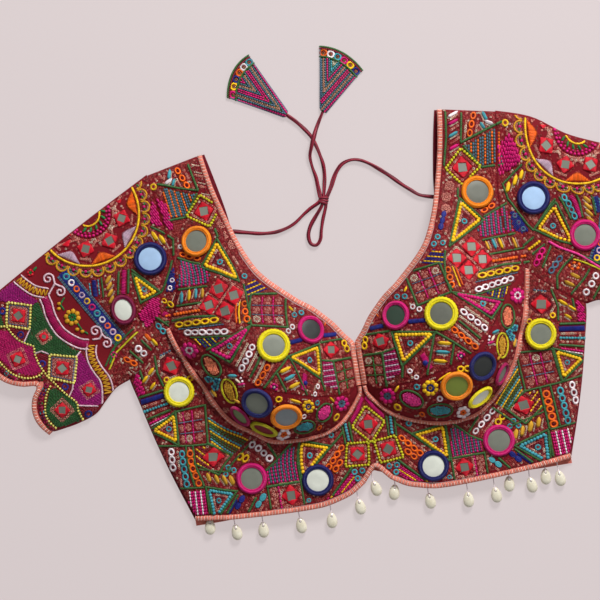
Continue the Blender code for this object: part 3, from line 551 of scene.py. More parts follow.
@dataclass
class Needle:
    """Sews rows and fills of one half's chart into its stitches."""

    work: Stitches
    rng: np.random.Generator

    # ---------------------------------------------------------- rows along a line
    def stem(self, line: Array, dye: str = "green", width: float = 2.4) -> None:
        """Sew a rope-like line of overlapping slanted stitches."""
        places, angles = along(line, 1.9)
        self.work.lines.append(np.asarray(line, float))
        self.work.add(Shape.SATIN, places, angles + 0.34, (3.9, width, width * 0.8), dye, 0.45)

    def sequins(self, line: Array, dye: str = "blush", pitch: float = 2.35, across: float = 2.6) -> None:
        """Sew a row of sequins; in the blush mix some are paler, and the cream ones are painted glints."""
        places, angles = along(line, pitch)
        pick = self.rng.random(len(places))
        # the cream share stands for painted glints: sequins that catch the light, painted pale
        bands = ((0.0, 0.42, "blush"), (0.42, 0.86, "petal"), (0.86, 1.01, "cream"))
        for least, most, colour in bands if dye == "blush" else ((0.0, 1.01, dye),):
            chosen = (pick >= least) & (pick < most)
            spin = angles[chosen] + self.rng.random(chosen.sum()) * 2
            self.work.add(Shape.SEQUIN, places[chosen], spin, (across, across, 0.9), colour, 0.45)

    def knots(self, line: Array, dye: str, size: float = 2.9, pitch: float = 2.9) -> None:
        """Sew a row of knots."""
        places, angles = along(line, pitch)
        self.work.lines.append(np.asarray(line, float))
        self.work.add(Shape.KNOT, places, angles + 0.7, (size * 1.12, size, size * 0.85), dye, 0.6)

    def loops(self, line: Array, dye: str, size: tuple[float, float] = (6.4, 4.2),
              pitch: float = 5.9) -> None:
        """Sew a chain of open loops."""
        places, angles = along(line, pitch)
        self.work.add(Shape.RING, places, angles, (size[0] * 1.18, size[1] * 1.22, 3.8), dye, 0.6)
        self.work.add(Shape.KNOT, places, angles, (size[0] * 0.3, size[1] * 0.24, 0.9), "maroon", 0.3)

    def coils(self, line: Array, dye: str, size: float = 6.4, pitch: float = 6.0) -> None:
        """Sew a row of fat wound coils."""
        places, angles = along(line, pitch)
        self.work.add(Shape.SATIN, places, angles, (size * 1.3, size * 0.7, 1.4), dye, 0.3)
        self.work.add(Shape.RING, places, angles, (size * 1.25, size * 0.86, 3.6), dye, 0.6)

    def rings(self, line: Array, dye: str, size: float = 5.6, pitch: float = 5.9) -> None:
        """Sew a row of round eyelets, each with a sequin in it."""
        self.eyelets(along(line, pitch)[0], dye, size)

    def eyelets(self, places: Array, dye: str, size: float = 5.6) -> None:
        """Sew round eyelets, each with a sequin in it."""
        self.work.add(Shape.RING, places, 0.0, (size, size, 2.8), dye, 0.5)
        self.work.add(Shape.SEQUIN, places, 0.0, (size * 0.4, size * 0.4, 0.6), "blush", 0.3)

    def bar(self, line: Array, dye: str, width: float = 4.6, slant: float = 0.15,
            pitch: float = 1.15) -> None:
        """Sew a padded satin bar: stitches across a line."""
        places, angles = along(line, pitch)
        self.work.add(Shape.SATIN, places, angles + math.pi / 2 + slant, (width, 1.35, 1.3), dye, 0.5)

    def straight(self, line: Array, dye: str, width: float = 1.1, stitch: float = 3.1,
                 offset: float = 0.5) -> None:
        """Sew a line of straight stitches end to end."""
        places, angles = along(line, stitch, offset)
        self.work.add(Shape.SATIN, places, angles, (stitch * 1.12, width, width * 0.8), dye, 0.3)

    # ---------------------------------------------------------- single motifs
    def leaf(self, place: Sequence[float], angle: float, dye: str, length: float = 9.0, width: float = 3.0,
             beaded: bool = True) -> None:
        """Sew a satin leaf, with a row of sequins along its lower side."""
        place = np.asarray(place, float)
        for share, rise in ((0.0, 0.5), (0.10, 0.9)):
            across = aim(angle + math.pi / 2) * width * share
            size = (length * 1.12, width * (1.0 - 4 * share), 2.0)
            self.work.add(Shape.SATIN, place + across, angle, size, dye, rise)
        if beaded:
            middle = place + aim(angle - math.pi / 2) * width * 0.72
            run = aim(angle) * length * 0.42
            self.sequins(np.array((middle - run, middle + run)), "cream", 1.7, 1.6)

    def flower(self, place: Sequence[float], reach: float, petals: int, dye: str, heart: str,
               filling: str = "navy") -> None:
        """Sew a round flower of satin petals about a ring."""
        angles = turns(petals) + 0.3
        out = aim(angles)
        place = np.asarray(place, float)
        wide = 2 * reach * math.sin(math.pi / petals) * 0.78
        between = reach * 0.30
        self.work.add(Shape.SATIN, place + out * reach * 0.70, angles, (reach * 0.62, wide, 2.2), dye, 0.5)
        self.work.add(Shape.KNOT, place + out * reach * 0.36, angles, (between, between, 1.6), filling, 0.4)
        self.work.add(Shape.RING, place, 0.0, (reach * 0.5, reach * 0.5, 2.2), heart, 0.6)

    def rosette(self, place: Array, reach: float, dye: str) -> None:
        """Sew a flower of sequins."""
        angles = turns(8) + self.rng.random()
        for number, petal in enumerate(place + aim(angles) * reach * 0.68):
            tint = ("petal", dye, "petal")[number % 3] if dye == "blush" else dye
            self.work.add(Shape.SEQUIN, petal, angles[number], (reach * 0.56, reach * 0.56, 0.8), tint, 0.4)
        self.work.add(Shape.SEQUIN, place, 0.0, (reach * 0.62, reach * 0.62, 0.9), "petal", 0.6)

    def seeded(self, place: Sequence[float], radii: tuple[float, float], angle: float, dye: str,
               edging: str = "green") -> None:
        """Sew an oval filled with seed knots, in a corded edge."""
        rim = turned(aim(np.linspace(0, 2 * math.pi, 33)) * radii, angle) + place
        self.stem(rim, edging, 1.7)
        self.fill_knots(shrunk(rim[:-1], 1.9), dye)

    def fill_knots(self, outline: Array, dye: str, size: float = 1.5) -> None:
        """Fill an outline with seed knots on a shaken grid."""
        grid = ruled(outline, size * 0.95, size * 0.95).reshape(-1, 2)
        grid += self.rng.uniform(-0.3, 0.3, grid.shape)
        grid = grid[inside(grid, outline, 0.3)]
        self.work.add(Shape.KNOT, grid, self.rng.random(len(grid)) * 3, (size * 1.25, size, size * 0.9),
                      dye, 0.3)

    def ground(self, outline: Array, angle: float, dye: str) -> None:
        """Cover an outline closely with flat stitches."""
        for number, start, end in hatch(outline, angle, 1.3, 0.2):
            places, angles = along(np.array((start, end)), 2.7, 0.5 if number % 2 else 0.05)
            self.work.add(Shape.FILLING, places, angles, (3.5, 1.8, 0.85), dye, 0.2)

    def pane(self, place: Sequence[float], reach: float, side: float, angle: float) -> None:
        """Sew a square mirror on a maroon square patch, within two frames of sequins."""
        place = np.asarray(place, float)
        corners = turned(path(-reach, -reach, reach, -reach, reach, reach, -reach, reach), angle)
        self.ground(place + corners, angle, "maroon")
        for share, dye in ((0.90, "petal"), (0.72, "blush")):
            ring = place + corners * share
            self.sequins(looped(ring), dye, 2.4, 2.6)
        self.square(place, side, angle + math.pi / 4)

    def square(self, place: Sequence[float], side: float, angle: float, tint: str = "grey") -> None:
        """Sew a square mirror into four satin corners that make a diamond round it."""
        place = np.asarray(place, float)
        half = side / 2
        # the glass takes the tint as a painted reflection of what hangs over it
        self.work.add(Shape.GLASS, place, angle, (side, side, 1.0), tint, 0.8)
        for quarter in range(4):
            turn = angle + quarter * math.pi / 2
            out = aim(turn)
            for step in range(5):
                off = half + 0.2 + step * half * 0.22
                self.work.add(Shape.SATIN, place + out * off, turn + math.pi / 2,
                              ((half + 1.7) * 2.2 * (1 - step * 0.19), 1.7, 1.9 - 0.2 * step), "red", 0.7)

    # ---------------------------------------------------------- fills of an outline
    def stripes(self, outline: Array, angle: float, dyes: Sequence[str], pitch: float = 1.5) -> None:
        """Fill an outline with lines of straight stitches, in turn of the dyes."""
        for number, start, end in hatch(outline, angle, pitch, 0.8):
            self.straight(np.array((start, end)), dyes[number % len(dyes)], pitch * 0.98,
                          offset=0.5 if number % 2 else 0.35)

    def weave(self, outline: Array, angle: float, dyes: Sequence[str], pitch: float = 1.9) -> None:
        """Fill an outline with a basket of short stitches, each line shifted by half a stitch."""
        for number, start, end in hatch(outline, angle, pitch, 1.0):
            line = np.array((start, end))
            places, angles = along(line, 2.9, 0.5 if number % 2 else 0.2)
            self.work.add(Shape.SATIN, places, angles, (3.1, pitch * 0.95, 1.7), dyes[number % len(dyes)],
                          0.4)
            between, angles = along(line, 2.9, 1.0 if number % 2 else 0.7)
            self.work.add(Shape.SATIN, between, angles + math.pi / 2, (pitch * 1.1, 0.9, 0.9), "forest", 0.25)

    def grid(self, outline: Array, counts: tuple[int, int], dyes: Sequence[str]) -> None:
        """Fill a four-cornered outline with sequin rosettes, and lines of two dyes between them."""
        a, b, c, d = outline

        def at(u: float, v: float) -> Array:
            """Return the place at a share along and a share down the outline."""
            return (a * (1 - u) + b * u) * (1 - v) + (d * (1 - u) + c * u) * v

        across, down = counts
        reach = min(np.linalg.norm(b - a) / across, np.linalg.norm(d - a) / down) * 0.40
        for i in range(across):
            for j in range(down):
                # about one rosette in five is cream, as painted glints of its sequins
                painted_glint = self.rng.random() < 0.22
                self.rosette(at((i + 0.5) / across, (j + 0.5) / down), reach, "cream" if painted_glint else "blush")
        for i in range(1, across):
            self.straight(np.array((at(i / across, 0.03), at(i / across, 0.97))), dyes[0], 1.5)
        for j in range(1, down):
            self.straight(np.array((at(0.03, j / down), at(0.97, j / down))), dyes[1], 1.3)

    def framed(self, outline: Array, dye: str, heart: str) -> None:
        """Fill an outline with frames of cord, knots and sequins and an eyelet in the middle."""
        border = shrunk(outline, -1.6)
        self.stem(looped(border))
        first = shrunk(outline, 1.5)
        self.knots(looped(first), dye, 3.7, 3.2)
        second = shrunk(outline, 4.7)
        self.sequins(looped(second))
        third = shrunk(outline, 7.0)
        if inside(third, outline, 4.0).all():
            self.sequins(looped(third), "maroon")
        self.eyelets(outline.mean(0)[None], heart, 6.4)

    def beaded(self, outline: Array, side: float, dye: str, tint: str = "grey") -> None:
        """Fill a diamond with a frame of beads, a frame of sequins and a square mirror."""
        self.knots(looped(outline), dye, 3.0, 3.2)
        second = shrunk(outline, 3.2)
        self.sequins(looped(second))
        run = outline[1] - outline[0]
        self.square(outline.mean(0), side, math.atan2(run[1], run[0]) + math.pi / 4, tint)

    def block(self, outline: Array, angle: float, dye: str) -> None:
        """Fill an outline with short fat padded stitches laid like bricks."""
        for number, start, end in hatch(outline, angle, 2.0, 0.4):
            places, angles = along(np.array((start, end)), 4.0, 0.5 if number % 2 else 0.15)
            self.work.add(Shape.SATIN, places, angles + 0.12, (5.0, 2.2, 2.0), dye, 0.5)

    def scatter(self, outline: Array, dye: str = "blush", pitch: float = 2.75) -> None:
        """Fill an outline with scattered sequins."""
        grid = ruled(outline, pitch, pitch).reshape(-1, 2)
        grid += self.rng.uniform(-0.5, 0.5, grid.shape)
        grid = grid[inside(grid, outline, 1.2)]
        self.work.add(Shape.SEQUIN, grid, self.rng.random(len(grid)), (2.1, 2.1, 0.7), dye, 0.35)


# ------------------------------------------------------------------ the cut
BINDING_WIDTH = 5.2
BINDING_FULL = 5.6          # with the gap that parts it from the cloth
SEAM_HALF_GAP = 0.2
FOLD_BULGE = 1.2
SLEEVE_STATIONS = (0.0, 0.14, 0.30, 0.46, 0.62, 0.77, 0.90, 1.0)
CUFF_STEPS = (5, 8, 5)


def even(steps: int) -> Array:
    """Return fractions from 0 to 1."""
    return np.linspace(0.0, 1.0, steps + 1)


def between(edge_a: Array, edge_b: Array, fractions: Sequence[float]) -> Array:
    """Return rows of plan points from one edge to the other."""
    f = np.asarray(fractions)[None, :, None]
    return edge_a[:, None] * (1 - f) + edge_b[:, None] * f


def refined(grid: Array, along_steps: int, across_steps: int) -> Array:
    """Return a coarse grid of points read more finely, both ways, on smooth curves."""
    rows, columns, size = grid.shape
    fine = read_table(grid.reshape(rows, -1), along_steps).reshape(-1, columns, size)
    turned_grid = fine.transpose(1, 0, 2)
    across = read_table(turned_grid.reshape(columns, -1), across_steps)
    return across.reshape(-1, fine.shape[0], size).transpose(1, 0, 2)


@dataclass(frozen=True)
class Cut:
    """The seam lines and the pieces' outlines in the even plan of the +X half."""

    peak_drop: float = 1.5
    back_hem_sag: float = 11.0
    laps: tuple[float, float] = (-12.0, -8.0)

    @property
    def shoulder(self) -> Array:
        """The shoulder's table, read twice a row."""
        return read_table(SHOULDER_ROWS, 2)

    @property
    def cup(self) -> Array:
        """The cup's table, read twice a row."""
        return read_table(CUP_ROWS, 2)

    @property
    def armhole(self) -> Array:
        """The armhole, shoulder to side seam."""
        return np.vstack((self.shoulder[:, 2:4], read_table(UNDERARM_ROWS, 2)[1:, :2]))

    @property
    def neck(self) -> Array:
        """The neck edge and the centre front."""
        line = np.vstack((self.shoulder[:, :2], self.cup[1:, :2]))
        line[:, 0] = np.maximum(line[:, 0], SEAM_HALF_GAP)
        return line

    @property
    def hem(self) -> Array:
        """The front hem, centre to side."""
        line = np.vstack((read_table(CENTRE_ROWS, 2)[::-1, 2:4], self.cup[::-1, 6:8][1:],
                          read_table(UNDERARM_ROWS, 2)[1:, 2:4]))
        line[:, 0] = np.maximum(line[:, 0], 0.0)
        return line

    @property
    def band_top(self) -> Array:
        """The top of the band: both cup seams' foot and the underarm."""
        return np.vstack((read_table(CENTRE_ROWS, 2)[::-1, :2], self.cup[::-1, 4:6][1:],
                          read_table(UNDERARM_ROWS, 2)[1:, :2]))

    def front_upper(self) -> Array:
        """Return the grid of the shoulder and upper cup."""
        bust = self.cup[:, 2:4]
        outer = moved(np.vstack((self.armhole[:len(self.shoulder)], bust[1:])), -SEAM_HALF_GAP)
        return between(moved(self.neck, BINDING_FULL), outer, even(6))

    def lower_cup(self) -> Array:
        """Return the grid of the crescent between bust seam and cup seam."""
        grid = between(moved(self.cup[:, 2:4], SEAM_HALF_GAP), moved(self.cup[:, 4:6], -SEAM_HALF_GAP),
                       even(4))
        return grid[np.linalg.norm(grid[:, 0] - grid[:, -1], axis=1) > 1.2]

    def band(self, lie: Lie) -> Array:
        """Return the grid of half the band, centre to side seam."""
        top, foot = moved(self.band_top, -SEAM_HALF_GAP), moved(self.hem, BINDING_FULL)
        top[0, 0] = foot[0, 0] = 0.0
        top[0, 1] -= self.peak_drop
        grid = between(top, foot, even(4))
        count = 2 * (len(UNDERARM_ROWS) - 1)
        share = np.arange(1, count + 1) / count
        grid[-count:, :, 0] += np.outer(share, lie.side_seam_bow * np.sin(math.pi * even(4)))
        return grid

    def cuff_edge(self, half: Half) -> Array:
        """Return the scalloped edge of the cuff, from the upper fold to the under seam."""
        ends = [row[:2] for row in CUFF_CUSPS[1:]] + [SLEEVE_SEAM[half.value][-1]]
        edge = []
        start = np.array(SLEEVE_FOLD[half.value][-1], float)
        for (_, _, bulge), end, steps in zip(CUFF_CUSPS, ends, CUFF_STEPS):
            t = np.arange(steps)[:, None] / steps
            run = np.array(end) - start
            out = np.array((-run[1], run[0])) / np.linalg.norm(run)
            edge.append(start + run * t + out * bulge * 4 * t * (1 - t))
            start = np.array(end, float)
        return np.vstack((*edge, start))

    def sleeve_rings(self, half: Half) -> Array:
        """Return plan rings of a sleeve, armhole to cuff, each from the upper fold to the seam."""
        armhole = moved(self.armhole, SEAM_HALF_GAP)
        cuff = moved(self.cuff_edge(half), -BINDING_FULL)

        def in_chord(points: Array) -> Array:
            """Return a line by its share along its own chord and its distance off it."""
            run = points[-1] - points[0]
            axes = np.stack((run / (run @ run), np.array((-run[1], run[0])) / np.linalg.norm(run)))
            return (points - points[0]) @ axes.T

        at_armhole, at_cuff = in_chord(armhole), in_chord(cuff)
        fold, seam = (smooth_line(table[half.value], 41) for table in (SLEEVE_FOLD, SLEEVE_SEAM))
        rings = []
        for station in SLEEVE_STATIONS:
            number = round(station * 40)
            blend = station ** 4
            start = fold[number] * (1 - blend) + cuff[0] * blend
            end = seam[number] * (1 - blend) + cuff[-1] * blend
            if station == 0.0:
                start, end = armhole[0], armhole[-1]
            run = end - start
            across = np.array((-run[1], run[0])) / np.linalg.norm(run)
            share = at_armhole[:, 0] * (1 - station) + at_cuff[:, 0] * station
            off = at_armhole[:, 1] * (1 - station) ** 1.3 + at_cuff[:, 1] * station ** 2
            rings.append(start + np.outer(share, run) + np.outer(off, across))
        return np.array(rings)

    def back(self, half: Half) -> Array:
        """Return the grid of a back, shoulder to hem, from its neck or lap out to its side."""
        count = len(self.armhole)
        lap = self.laps[0] if half is Half.LEFT else self.laps[1]
        neck = smooth_line(BACK_NECK, count)
        foot_of_neck = BACK_NECK[-1][1]
        down = np.column_stack((np.full(6, lap), foot_of_neck + (CENTRE_BACK_HEM - foot_of_neck) * even(5)))
        neck[-1] = down[0]
        side = Lie().side_seam(6)
        outer = np.vstack((moved(self.armhole, -SEAM_HALF_GAP), side[1:]))
        grid = between(np.vstack((neck, down[1:])), outer, (0.0, 0.10, 0.18, 0.38, 0.60, 0.82, 1.0))
        last = len(grid) - 1
        share = ((np.arange(count, last + 1) - count + 1) / (last - count + 1)) ** 2
        grid[count:, :, 1] -= np.outer(share, self.back_hem_sag * np.sin(math.pi * even(6)))
        return grid


def strip(edge: Array) -> Array:
    """Return a binding's plan grid: along inside an edge, and across."""
    coarse = np.stack((edge, moved(edge, BINDING_WIDTH / 2), moved(edge, BINDING_WIDTH)), axis=1)
    return refined(coarse, 3, 4)


# ------------------------------------------------------------------ meshes
def in_scene(name: str, data: bpy.types.ID) -> bpy.types.Object:
    """Return a new object of the scene, at the origin."""
    made = bpy.data.objects.new(name, data)
    bpy.context.scene.collection.objects.link(made)
    return made


def points_of(made: bpy.types.Object) -> Array:
    """Return an object's mesh points, in metres."""
    points = np.empty(len(made.data.vertices) * 3, "f")
    made.data.vertices.foreach_get("co", points)
    return points.reshape(-1, 3)


def mark(made: bpy.types.Object, name: str, values: Array) -> None:
    """Give each point of a piece a value that its finish reads."""
    made.data.attributes.new(name, "FLOAT", "POINT").data.foreach_set("value", values.ravel().astype("f"))


def paint(made: bpy.types.Object, dye: str) -> None:
    """Give a whole piece the dye that its finish takes."""
    dyes = np.tile((*DYES[dye], 1.0), len(made.data.vertices)).astype("f")
    made.data.attributes.new("dye", "FLOAT_COLOR", "POINT").data.foreach_set("color", dyes)


def solid(name: str, points: Array, faces: Iterable[Sequence[int]]) -> bpy.types.Object:
    """Make an object of one closed mesh, with its doubles merged and its faces outwards.

    Args:
        name: The piece's name.
        points: Its points, mm.
        faces: Its faces, as rows of point numbers.

    Returns:
        The object, smooth, at the origin.
    """
    mesh = bpy.data.meshes.new(name)
    mesh.from_pydata((np.asarray(points) * MM).tolist(), [], [list(map(int, face)) for face in faces])
    work = bmesh.new()
    work.from_mesh(mesh)
    bmesh.ops.remove_doubles(work, verts=work.verts, dist=1e-5)
    bmesh.ops.dissolve_degenerate(work, edges=work.edges, dist=1e-6)
    bmesh.ops.recalc_face_normals(work, faces=work.faces)
    work.to_mesh(mesh)
    work.free()
    mesh.shade_smooth()
    mesh.set_sharp_from_angle(angle=math.radians(60))
    return in_scene(name, mesh)


def joined(parts: Sequence[tuple[Array, Array]]) -> tuple[Array, list[Sequence[int]]]:
    """Return several (points, faces) as one."""
    points, faces, start = [], [], 0
    for more, rings in parts:
        points.append(more)
        faces += [[k + start for k in face] for face in rings]
        start += len(more)
    return np.vstack(points), faces


def quads(rows: int, columns: int, wrap_rows: bool = False, wrap_columns: bool = False) -> Array:
    """Return the faces of a grid of points, which may close on itself either way."""
    i = np.arange(rows if wrap_rows else rows - 1)
    j = np.arange(columns if wrap_columns else columns - 1)
    a, b = np.meshgrid(i, j, indexing="ij")
    c, d = (a + 1) % rows, (b + 1) % columns
    return np.stack((a * columns + b, c * columns + b, c * columns + d, a * columns + d),
                    axis=-1).reshape(-1, 4)


def walled(outer: Array, inner: Array) -> tuple[Array, Array]:
    """Return the points and faces of a closed wall between two equal grids."""
    loop = np.concatenate((outer, inner[:, ::-1]), axis=1)
    rows, columns = loop.shape[:2]
    faces = list(quads(rows, columns, wrap_columns=True))
    half = columns // 2
    for row in (0, rows - 1):
        base = row * columns
        faces += [(base + k, base + k + 1, base + columns - 2 - k, base + columns - 1 - k)
                  for k in range(half - 1)]
    return loop.reshape(-1, 3), faces


def tube(rings: Array) -> tuple[Array, Array]:
    """Return the points and faces of a tube through rings, with flat ends."""
    rows, columns = rings.shape[:2]
    faces = list(quads(rows, columns, wrap_columns=True))
    faces += [tuple(range(columns)), tuple((rows - 1) * columns + k for k in range(columns))]
    return rings.reshape(-1, 3), faces


def crossways(line: Array) -> tuple[Array, Array]:
    """Return the directions sideways and upwards from a line in space, at each of its points."""
    runs = unit(np.gradient(line, axis=0))
    side = np.cross(runs, (0, 0, 1.0))
    side /= np.maximum(np.linalg.norm(side, axis=1), 1e-9)[:, None]
    return side, np.cross(side, runs)


def swept(line: Array, radius: float, sides: int) -> tuple[Array, Array]:
    """Return the points and faces of a round tube along a line."""
    side, up = crossways(line)
    angle = turns(sides)[None, :, None]
    return tube(line[:, None] + (np.cos(angle) * side[:, None] + np.sin(angle) * up[:, None]) * radius)


def area_of(made: bpy.types.Object) -> float:
    """Return the area of all faces of an object, in square metres."""
    return sum(face.area for face in made.data.polygons)


# ------------------------------------------------------------------ the chart of the work
def path(*numbers: float) -> Array:
    """Return plan points from a run of x and y."""
    return np.array(numbers, float).reshape(-1, 2)


MEDALLION = np.array((248.5, 220.5))    # the middle of the half rosette on each sleeve's fold


@dataclass
class Chart:
    """Where each stitch goes on one half, in plan millimetres, sewn panel by panel."""

    rng: np.random.Generator
    half: Half

    def needle(self) -> Needle:
        """Return a threaded needle with nothing sewn yet."""
        return Needle(Stitches(), self.rng)

    def upper(self) -> Stitches:
        """Sew the shoulder and the upper cup."""
        n = self.needle()
        self.strap(n)
        self.chest(n)
        self.over_bust(n)
        self.centre(n)
        return n.work

    def strap(self, n: Needle) -> None:
        """Sew the shoulder strap, down to the orange mirror."""
        n.stem(path(131, 258, 127, 232, 120, 208))
        leafy = path(131, 258, 148, 252, 141, 226, 120, 208)
        for place, dye in zip(path(138, 254, 136.5, 246, 134.5, 234.5, 133, 223),
                              ("white", "magenta", "teal", "magenta")):
            n.leaf(place, 0.35, dye, 12, 3.4)
        for y in (250.5, 240, 228.5, 218):
            n.sequins(path(129 + (y - 218) * 0.10, y - 2, 141 + (y - 218) * 0.12, y + 3), "blush")
        n.scatter(shrunk(leafy, 0.5), "maroon", 4.4)
        n.sequins(path(152, 250, 145, 228))
        n.loops(path(160, 253, 150, 229), "orange", (7.5, 5.4), 7.6)
        n.sequins(path(163, 246, 157, 231))
        n.stem(path(147, 254, 141, 226))
        n.leaf((170, 247), -1.3, "teal", 10, 4)
        n.leaf((166, 238), -1.1, "teal", 8, 3.4)
        n.leaf((173, 240), -0.5, "white", 9, 4)
        n.sequins(path(177, 247, 180, 238))
        n.stem(path(141, 226, 186, 239))
        n.weave(path(144, 223, 182, 236, 180, 202, 158, 202), math.radians(80),
                ("slate", "orange", "slate"), 2.4)
        n.stem(path(143, 223, 158, 201, 181, 200.5))
        n.beaded(path(140, 221, 157, 202, 135, 187, 121, 205), 9.5, "lime")
        n.scatter(path(157, 201, 178, 201, 175, 179, 166, 188), "blush", 2.5)
        for place in path(122, 188, 116.5, 177, 113.5, 165):
            n.rosette(place, 5.4, "petal")
        n.coils(path(112, 163, 104, 145), "navy")
        n.sequins(path(115, 153, 108, 139))
        n.eyelets(path(100, 138, 95, 131.5, 104, 131), "teal", 6.2)
        n.stem(path(130, 184, 128, 175))
        n.framed(path(130, 171, 112, 129, 148, 148), "yellow", "teal")
        n.stem(path(151, 151, 177, 161))

    def chest(self, n: Needle) -> None:
        """Sew from the orange mirror down to the yellow chain over the bust."""
        n.loops(path(149, 156, 173, 165), "orange", (8, 5.2), 7.4)
        n.sequins(path(152, 150, 176, 159), "blush")
        n.eyelets(path(171, 172), "white", 5)
        n.weave(path(141, 138, 150, 151, 175, 160, 179, 131, 145, 129.5), math.radians(84),
                ("magenta", "slate"), 2.4)
        n.stem(path(145, 127.5, 180, 129))
        for x, dye in ((156, "teal"), (163, "yellow"), (171, "teal"), (178, "gold")):
            n.leaf((x, 121 - (x - 163) * 0.12), math.radians(102), dye, 12, 3.6)
        n.leaf((149, 121), math.radians(102), "gold", 10, 3.4)
        n.stem(path(135, 96, 160, 99.5, 190, 98), "green", 2.6)
        n.knots(path(150, 104.5, 188, 104.5), "orange", 3.2, 3.3)
        n.sequins(path(152, 109, 186, 109.5), "blush")
        n.sequins(path(152, 100.6, 188, 101), "blush")
        n.stem(path(149, 112, 187, 113), "green", 2.0)
        for place in path(132, 122.5, 115, 113.5, 141, 108, 124.5, 99.5):
            n.square(place, 9.4, math.radians(-9.5))
        for line in (path(103, 115, 131, 135), path(131, 135, 153, 109), path(153, 109, 124, 88),
                     path(124, 88, 103, 115), path(117, 125, 139, 98), path(119, 101, 143, 121)):
            n.sequins(line, "blush", 2.2)
        n.stripes(path(93, 127, 105, 120, 101, 109, 79, 115), math.radians(-14), ("navy", "yellow", "navy"),
                  1.7)
        n.stem(path(105, 123, 102.5, 114, 100, 94, 105, 83))
        n.loops(path(104, 107, 105, 84), "orange", (6.6, 6.0), 7.4)
        n.stem(path(109, 106, 113, 85), "yellow", 1.5)
        n.stem(path(112, 106, 116, 86), "orange", 1.3)
        n.loops(path(133, 92, 187, 94), "yellow", (9.2, 5.4), 9.0)
        n.sequins(path(136, 96, 186, 97.6), "blush")
        n.straight(path(129, 86.5, 176, 89), "slate", 1.6)
        n.straight(path(131, 88.3, 176, 91), "green", 1.2)
        n.loops(path(128, 78.5, 170, 84.5), "white", (7.6, 5.6), 7.1)
        n.stem(path(124, 73.5, 173, 79.5), "green", 1.5)
        n.stripes(path(137, 75, 165, 78, 158, 66, 146, 66), math.radians(65),
                  ("navy", "yellow", "navy", "green"), 1.7)

    def over_bust(self, n: Needle) -> None:
        """Sew the upper cup between the yellow mirror and the bust seam."""
        n.grid(path(63, 105, 96, 110, 102, 83, 69, 75), (3, 3), ("magenta", "slate"))
        n.stem(path(61, 107, 97, 112, 103, 81, 68, 73, 61, 107))
        n.rings(path(56, 97, 53, 91), "orange", 7, 8)
        n.eyelets(path(43, 85.5, 49.5, 85, 57, 84), "teal", 6.2)
        n.leaf((59, 91), 1.0, "yellow", 6, 2.6, False)
        n.eyelets(path(63, 72.5, 69, 69), "white", 6.2)
        n.bar(path(12, 57, 31, 58.5), "navy", 5.4)
        n.bar(path(55, 58.5, 76, 57), "navy", 5.4)
        n.stem(path(9, 52, 36, 52))
        n.stem(path(3, 31.5, 25, 31.5, 38, 34))
        n.bar(path(23, 68, 28, 70), "orange", 5.0, 0.1, 1.6)
        n.loops(path(14, 56, 6.5, 32), "yellow", (7, 5.2), 7)
        n.square((26, 43), 8, 0.15)
        frame = path(16.5, 52, 36.5, 52, 36, 33.5, 17, 32)
        n.sequins(looped(frame))
        n.framed(path(40, 49, 79, 43, 44, 18), "yellow", "teal")
        n.stripes(path(26, 33, 39, 34, 42, 9, 24, 1), math.radians(2), ("rose", "rose", "lilac"), 1.9)
        n.grid(path(6, 31, 25, 29, 24, -1, 6, 1), (2, 3), ("leaf", "green"))
        n.stem(path(25.5, 31, 24.5, -3))
        n.stem(path(43.5, 15, 41, 4))
        n.bar(path(64, 24, 70, 8), "magenta", 8, 0.2, 1.4)
        n.work.add(Shape.KNOT, path(66, 15), 0.0, (6.0, 6.0, 3.0), "navy", 1.0)
        n.eyelets(path(49.5, 9, 55, 2), "white", 5.8)
        n.sequins(path(46, 15, 52, -1))
        n.stem(path(81, 44, 97, 31, 112, 17))
        n.stem(path(79, 41, 66, 3))
        n.stem(path(97, 29, 92, 14, 90, 8))
        for place, dye in zip(path(88, 31.5, 84.5, 23, 80.5, 14.5, 75.5, 5.5), ("yellow", "teal") * 2):
            n.leaf(place, math.radians(-15), dye, 14, 4.0)
        n.flower((102, 16), 4.4, 5, "magenta", "cream")
        n.sequins(path(98, 40, 116, 18))
        n.loops(path(97, 46, 120, 20), "orange", (8, 5.4), 8.2)
        n.sequins(path(103, 47, 122, 24), "cream")
        n.stem(path(106, 51, 124, 30))
        n.loops(path(109, 62, 133, 37), "white", (7.6, 5.4), 8.6)
        n.sequins(path(107, 56, 126, 36), "cream")
        n.sequins(path(114, 64, 135, 43), "cream")
        n.framed(path(107, 79, 152, 63, 139, 50), "magenta", "teal")
        n.rosette(np.array((121, 84)), 4, "blush")
        n.scatter(path(108, 84, 126, 88, 124, 80, 112, 80), "blush", 2.8)

    def centre(self, n: Needle) -> None:
        """Fill the small gaps of the upper cup with sequins."""
        for outline in (path(66, 116, 84, 134, 90, 126, 76, 115), path(30, 76, 48, 97, 56, 88, 40, 80),
                        path(13, 60, 24, 73, 30, 66, 22, 62), path(97, 138, 112, 165, 116, 160, 104, 136),
                        path(150, 146, 172, 156, 176, 150, 156, 142),
                        path(182, 236, 188, 214, 180, 210, 182, 225), path(64, 30, 74, 38, 72, 22, 66, 18),
                        path(112, 12, 124, 28, 128, 24, 112, 8), path(100, 60, 108, 74, 116, 66, 106, 54),
                        path(118, 92, 130, 88, 126, 80, 120, 80)):
            n.scatter(outline, "blush", 2.7)
        n.sequins(path(128, 262, 117, 207, 103, 162, 88, 133, 70, 112), "blush", 2.4)
        n.sequins(path(40, 88, 22, 70, 8, 50), "blush", 2.4)
        n.stem(path(100, 164, 88, 139, 72, 120, 52, 98), "green", 1.3)

